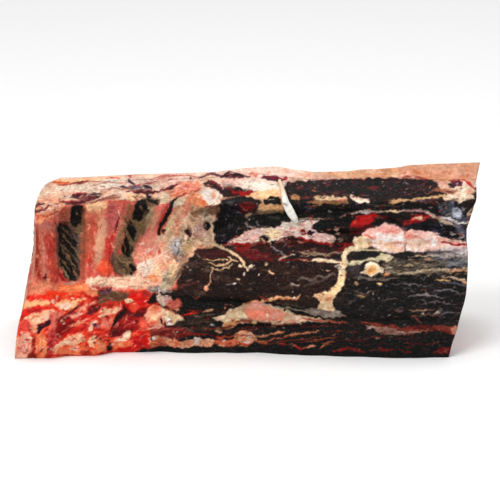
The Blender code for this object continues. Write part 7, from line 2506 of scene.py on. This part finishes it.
BETWEEN = 8  # points from one corner of a vertebra's section to the next
SPINE_LEVEL = 0.02  # the height at which places along the backbone are measured
SPINE_OPEN = (-0.2405, -0.040)  # x of the part that shows on the inner side
SPINE_BURIED = (-0.034, 0.222)
SPINE_BURIED_ROWS = 40
SPINE_MELTS = (-0.045, -0.060)  # x between which its front goes over to the form that shows
SPINE_MIDDLES = ((-0.042, 0.030), (-0.022, 0.022))  # y and z that its cut ends close round
SPINE_ALONG = 300
SPINE_UP = 120
SPINE_CAP = 24


def backbone_parts():
    shown = np.linspace(*SPINE_OPEN, steps(SPINE_ALONG))
    x = np.concatenate([shown, np.linspace(*SPINE_BURIED, SPINE_BURIED_ROWS)])
    start, end = rib_end_cut(SPINE_LEVEL), hip_end_cut(SPINE_LEVEL)
    share = (x - start) / (end - start)
    share = (share - share[0]) / (share[-1] - share[0])
    place = end_to_end(share, SPINE_LEVEL)
    section_y, section_z = vertebra_sections(place)
    up = np.linspace(0, 1, steps(SPINE_UP))
    front_z = section_z[:, FRONT_COUNT - 1:FRONT_COUNT] * up
    front_y = []
    for i in range(len(place)):
        front_y.append(np.interp(front_z[i], section_z[i, :FRONT_COUNT], section_y[i, :FRONT_COUNT]))
    front_y = np.stack(front_y)
    front_x = end_to_end(share[:, None], front_z)
    molten = skin("backbone", front_x, front_z)[..., 1]
    open_part = smooth(*SPINE_MELTS, place)[:, None]
    front = np.stack([front_x, mix(front_y, molten, open_part), front_z], axis=-1)
    rest = []
    for i in range(FRONT_COUNT, section_y.shape[1]):
        for k in range(1, BETWEEN + 1):
            y = mix(section_y[:, i - 1], section_y[:, i], k / BETWEEN)
            z = mix(section_z[:, i - 1], section_z[:, i], k / BETWEEN)
            rest.append(np.stack([end_to_end(share, z), y, z], axis=-1))
    rest = np.stack(rest, axis=1)
    foot = mix(rest[:, -1:], front[:, :1], inner_steps(steps(FOOT_ACROSS))[None, :, None])
    rings = np.concatenate([front, rest, foot], axis=1)
    kinds = np.repeat([SEEN, HIDDEN, BASE], [front.shape[1], rest.shape[1], foot.shape[1]])
    centres = [(ring[:, 0].mean(), *middle) for ring, middle in zip((rings[0], rings[-1]), SPINE_MIDDLES)]
    return capped(rings, kinds, (RIB_END, HIP_END), steps(SPINE_CAP), centres)


def tenderloin_parts():
    share = np.linspace(0.0, 1.0, steps(440))
    flat = mix(TENDERLOIN_TIP, TENDERLOIN_END, share)
    middle, half = tenderloin_height(flat)[:, None], tenderloin_half_height(flat)[:, None]
    v = np.linspace(-1.0, 1.0, steps(124))
    z = middle + (half + OVERLAP) * v
    x = mix(TENDERLOIN_TIP, hip_end_cut(z), share[:, None])
    front = skin("tenderloin", x, z)
    w = np.linspace(TENDERLOIN_BACK, -TENDERLOIN_BACK, BACK_ROWS["tenderloin"])
    back_z = middle + half * w
    back_y = tenderloin_inner(flat)[:, None] + tenderloin_half_depth(flat)[:, None] * (1 + np.sqrt(1 - w**2))
    back = np.stack([mix(TENDERLOIN_TIP, hip_end_cut(back_z), share[:, None]), back_y, back_z], axis=-1)
    rings = np.concatenate([front, back], axis=1)
    kinds = np.repeat([SEEN, HIDDEN], [front.shape[1], back.shape[1]])
    return capped(rings, kinds, (HIDDEN, HIP_END), steps(18))


def rib_parts(name):
    line_z, line_x, slope, taper, width = rib_shape(name)
    under_flesh = np.flatnonzero(top_front_height(line_x) - line_z > RIB_COVER[1])
    rows = np.linspace(under_flesh[0], under_flesh[-1], steps(130)).astype(int)
    middle_x, middle_z = line_x[rows, None], line_z[rows, None]
    half = width / 2 * taper[rows, None]
    lean = np.hypot(1.0, slope[rows, None])
    v = np.linspace(-1.0, 1.0, steps(44))
    out = (half + OVERLAP) * v / lean
    front_z = middle_z - out * slope[rows, None]
    front = skin(name, np.maximum(middle_x + out, rib_end_cut(front_z) + END_INSET), front_z)
    w = np.linspace(RIB_BACK, -RIB_BACK, BACK_ROWS["rib"])
    back_x, back_z = middle_x + half * w / lean, middle_z - half * w * slope[rows, None] / lean
    back_y = np.broadcast_to(front[..., 1].mean(axis=1, keepdims=True) + RIB_DEPTH * RIB_BACK_DEPTH,
                             back_x.shape)
    rings = np.concatenate([front, np.stack([back_x, back_y, back_z], axis=-1)], axis=1)
    kinds = np.repeat([SEEN, HIDDEN], [front.shape[1], len(w)])
    return capped(rings, kinds, (HIDDEN, HIDDEN), 4)


def pad_parts(name):
    line_x, line_z, _, radius = pad_shape(name)
    x = np.linspace(line_x[0] - OVERLAP, line_x[-1] + OVERLAP, steps(180))[:, None]
    middle = np.interp(x, line_x, line_z)
    size = np.interp(x, line_x, radius) + OVERLAP
    front = skin(name, np.broadcast_to(x, (len(x), steps(46))),
                 middle + size * np.linspace(-1, 1, steps(46)))
    w = np.linspace(PAD_BACK, -PAD_BACK, BACK_ROWS["pad"])
    back_z = middle + size * w
    back_y = np.broadcast_to(front[..., 1].max(axis=1, keepdims=True) + PAD_BACK_DEPTH, back_z.shape)
    back = np.stack([np.broadcast_to(x, back_z.shape), back_y, back_z], axis=-1)
    rings = np.concatenate([front, back], axis=1)
    kinds = np.repeat([SEEN, HIDDEN], [front.shape[1], len(w)])
    return capped(rings, kinds, (HIDDEN, HIDDEN), 3)


def sinew_parts():
    count, sides = steps(90), steps(26)
    _, lines = table_along(SINEW, count)
    centre = np.stack(lines, axis=-1)
    ahead = np.gradient(centre, axis=0)
    side = np.cross(ahead, [0.0, 1.0, 0.0])
    side /= np.linalg.norm(side, axis=1, keepdims=True)
    lift = np.cross(side, ahead)
    lift /= np.linalg.norm(lift, axis=1, keepdims=True)
    share = np.linspace(0, 1, count)[:, None]
    angle = np.linspace(0, 2 * math.pi, sides, endpoint=False)[None]
    radius = SINEW_RADIUS + SINEW_STRANDS * np.cos(2 * angle + SINEW_TWIST * share) * STRANDS_SHOWN
    radius = radius * mix(SINEW_START, 1.0, smooth(*SINEW_SWELLS, share))
    radius = radius * (1 - SINEW_TIP_TAPER * smooth(SINEW_TIP, 1.0, share))
    rings = centre[:, None] + side[:, None] * (radius * np.cos(angle))[..., None]
    rings = rings + lift[:, None] * (radius * np.sin(angle))[..., None]
    return capped(rings, np.full(sides, CORD), (CORD, CORD), 4)


# Materials. The painted colour carries the look, and each material adds its own fine grain and gloss.

FLECK_COLOUR = (1.0, 0.82, 0.66)  # the tint of the finest pale flecks, in light values
SPECULAR = 0.12
FLECK_SCALE = 1.6  # how much finer the flecks are than the grain
ROUGHNESS = (0.85, 0.25)  # for gloss 0 and gloss 1


def noise_level(tree, place, scale, detail, roughness):
    node = tree.nodes.new("ShaderNodeTexNoise")
    node.inputs["Scale"].default_value = scale
    node.inputs["Detail"].default_value = detail
    node.inputs["Roughness"].default_value = roughness
    tree.links.new(place, node.inputs["Vector"])
    return node.outputs["Fac"]


def spread_over(tree, value, source, target):
    """A value that runs over the range source, spread over the range target."""
    node = tree.nodes.new("ShaderNodeMapRange")
    for name, number in zip(("From Min", "From Max", "To Min", "To Max"), (*source, *target)):
        node.inputs[name].default_value = number
    tree.links.new(value, node.inputs["Value"])
    return node.outputs["Result"]


def tissue_material(name, grain, shade, bump, fleck, stretch=(1.0, 1.0, 1.0)):
    """Painted flesh: grain is the size of the finest lumps, shade, bump and fleck how strongly they show."""
    material = bpy.data.materials.new(name)
    material.use_nodes = True
    tree = material.node_tree
    nodes, links = tree.nodes, tree.links
    shader = nodes["Principled BSDF"]
    shader.inputs["Specular IOR Level"].default_value = SPECULAR
    tint = nodes.new("ShaderNodeVertexColor")
    tint.layer_name = "tint"
    place = nodes.new("ShaderNodeTexCoord")
    turn = nodes.new("ShaderNodeMapping")
    turn.inputs["Scale"].default_value = stretch
    links.new(place.outputs["Object"], turn.inputs["Vector"])
    fine = noise_level(tree, turn.outputs["Vector"], 1 / grain, detail=4.0, roughness=0.65)
    shaded = nodes.new("ShaderNodeVectorMath")
    shaded.operation = "SCALE"
    links.new(tint.outputs["Color"], shaded.inputs[0])
    links.new(spread_over(tree, fine, (0.25, 0.75), (1 - shade, 1 + shade)), shaded.inputs["Scale"])
    dust = noise_level(tree, turn.outputs["Vector"], FLECK_SCALE / grain, detail=2.0, roughness=0.5)
    pale = nodes.new("ShaderNodeVectorMath")
    pale.operation = "MULTIPLY_ADD"
    pale.inputs[1].default_value = FLECK_COLOUR
    links.new(spread_over(tree, dust, (0.56, 0.80), (0.0, fleck)), pale.inputs[0])
    links.new(shaded.outputs["Vector"], pale.inputs[2])
    links.new(pale.outputs["Vector"], shader.inputs["Base Color"])
    rough = spread_over(tree, tint.outputs["Alpha"], (0.0, 1.0), ROUGHNESS)
    links.new(rough, shader.inputs["Roughness"])
    relief = nodes.new("ShaderNodeBump")
    relief.inputs["Strength"].default_value = bump
    relief.inputs["Distance"].default_value = grain
    links.new(fine, relief.inputs["Height"])
    links.new(relief.outputs["Normal"], shader.inputs["Normal"])
    return material


muscle = tissue_material("dried_muscle", 0.0016, 0.40, 0.6, 0.05, stretch=(0.5, 1.0, 1.0))
fat = tissue_material("firm_fat", 0.0020, 0.10, 0.35, 0.0)
bone = tissue_material("sawn_bone", 0.0018, 0.14, 0.45, 0.0)

piece("lean_muscle", lean_parts(), ["lean"], muscle)
piece("outer_fat", fat_parts(), ["fat_cap"], fat)
piece("vertebrae", backbone_parts(), ["backbone"], bone)
piece("inner_fillet", tenderloin_parts(), ["tenderloin"], muscle)
for number in (1, 2, 3):
    piece(f"rib_bone_{number}", rib_parts(f"rib_{number}"), [f"rib_{number}"], bone)
for place in ("upper", "lower"):
    piece(f"kidney_suet_{place}", pad_parts(f"kidney_fat_{place}"), [f"kidney_fat_{place}"],
          fat)
piece("twisted_sinew", sinew_parts(), ["sinew"], fat)

# The floor, the light and the camera.

FLOOR_SIDE = 12.0
FLOOR_SHADE = 0.86
SENSOR_WIDTH = 36.0
ROOM_LIGHT = 0.75
LAMPS = (
    ("key", (-0.9, -1.6, 1.9), (0.0, 0.0, 0.08), 1.2, 38.0),
    ("top", (0.3, 0.2, 2.2), (0.0, 0.0, 0.1), 1.5, 16.0),
)


def plain_surface(name, colour, roughness):
    material = bpy.data.materials.new(name)
    material.use_nodes = True
    shader = material.node_tree.nodes["Principled BSDF"]
    shader.inputs["Base Color"].default_value = (*colour, 1.0)
    shader.inputs["Roughness"].default_value = roughness
    return material


def floor():
    bpy.ops.mesh.primitive_plane_add(size=FLOOR_SIDE, location=(0.0, 0.0, 0.0))
    made = bpy.context.object
    made.name = "floor"
    made.data.materials.append(plain_surface("pale_floor", (FLOOR_SHADE,) * 3, 0.9))


def soft_light(name, place, towards, size, power):
    lamp = bpy.data.lights.new(name, "AREA")
    lamp.size, lamp.energy = size, power
    made = bpy.data.objects.new(name, lamp)
    made.location = place
    made.rotation_euler = (Vector(towards) - Vector(place)).to_track_quat("-Z", "Y").to_euler()
    bpy.context.scene.collection.objects.link(made)


def camera():
    made = bpy.data.objects.new("camera", bpy.data.cameras.new("camera"))
    made.data.sensor_width = SENSOR_WIDTH
    made.data.lens = SENSOR_WIDTH * DISTANCE / (PHOTO_SIDE * PIXEL)
    made.location = Vector(EYE + CENTRING)
    made.rotation_euler = Vector(-TO_EYE).to_track_quat("-Z", "Y").to_euler()
    bpy.context.scene.collection.objects.link(made)
    bpy.context.scene.camera = made


def room():
    world = bpy.data.worlds.new("room")
    world.use_nodes = True
    world.node_tree.nodes["Background"].inputs["Color"].default_value = (1.0, 1.0, 1.0, 1.0)
    world.node_tree.nodes["Background"].inputs["Strength"].default_value = ROOM_LIGHT
    bpy.context.scene.world = world
    bpy.context.scene.view_settings.view_transform = "Standard"


floor()
for name, place, towards, size, power in LAMPS:
    soft_light(name, place, towards, size, power)
camera()
room()
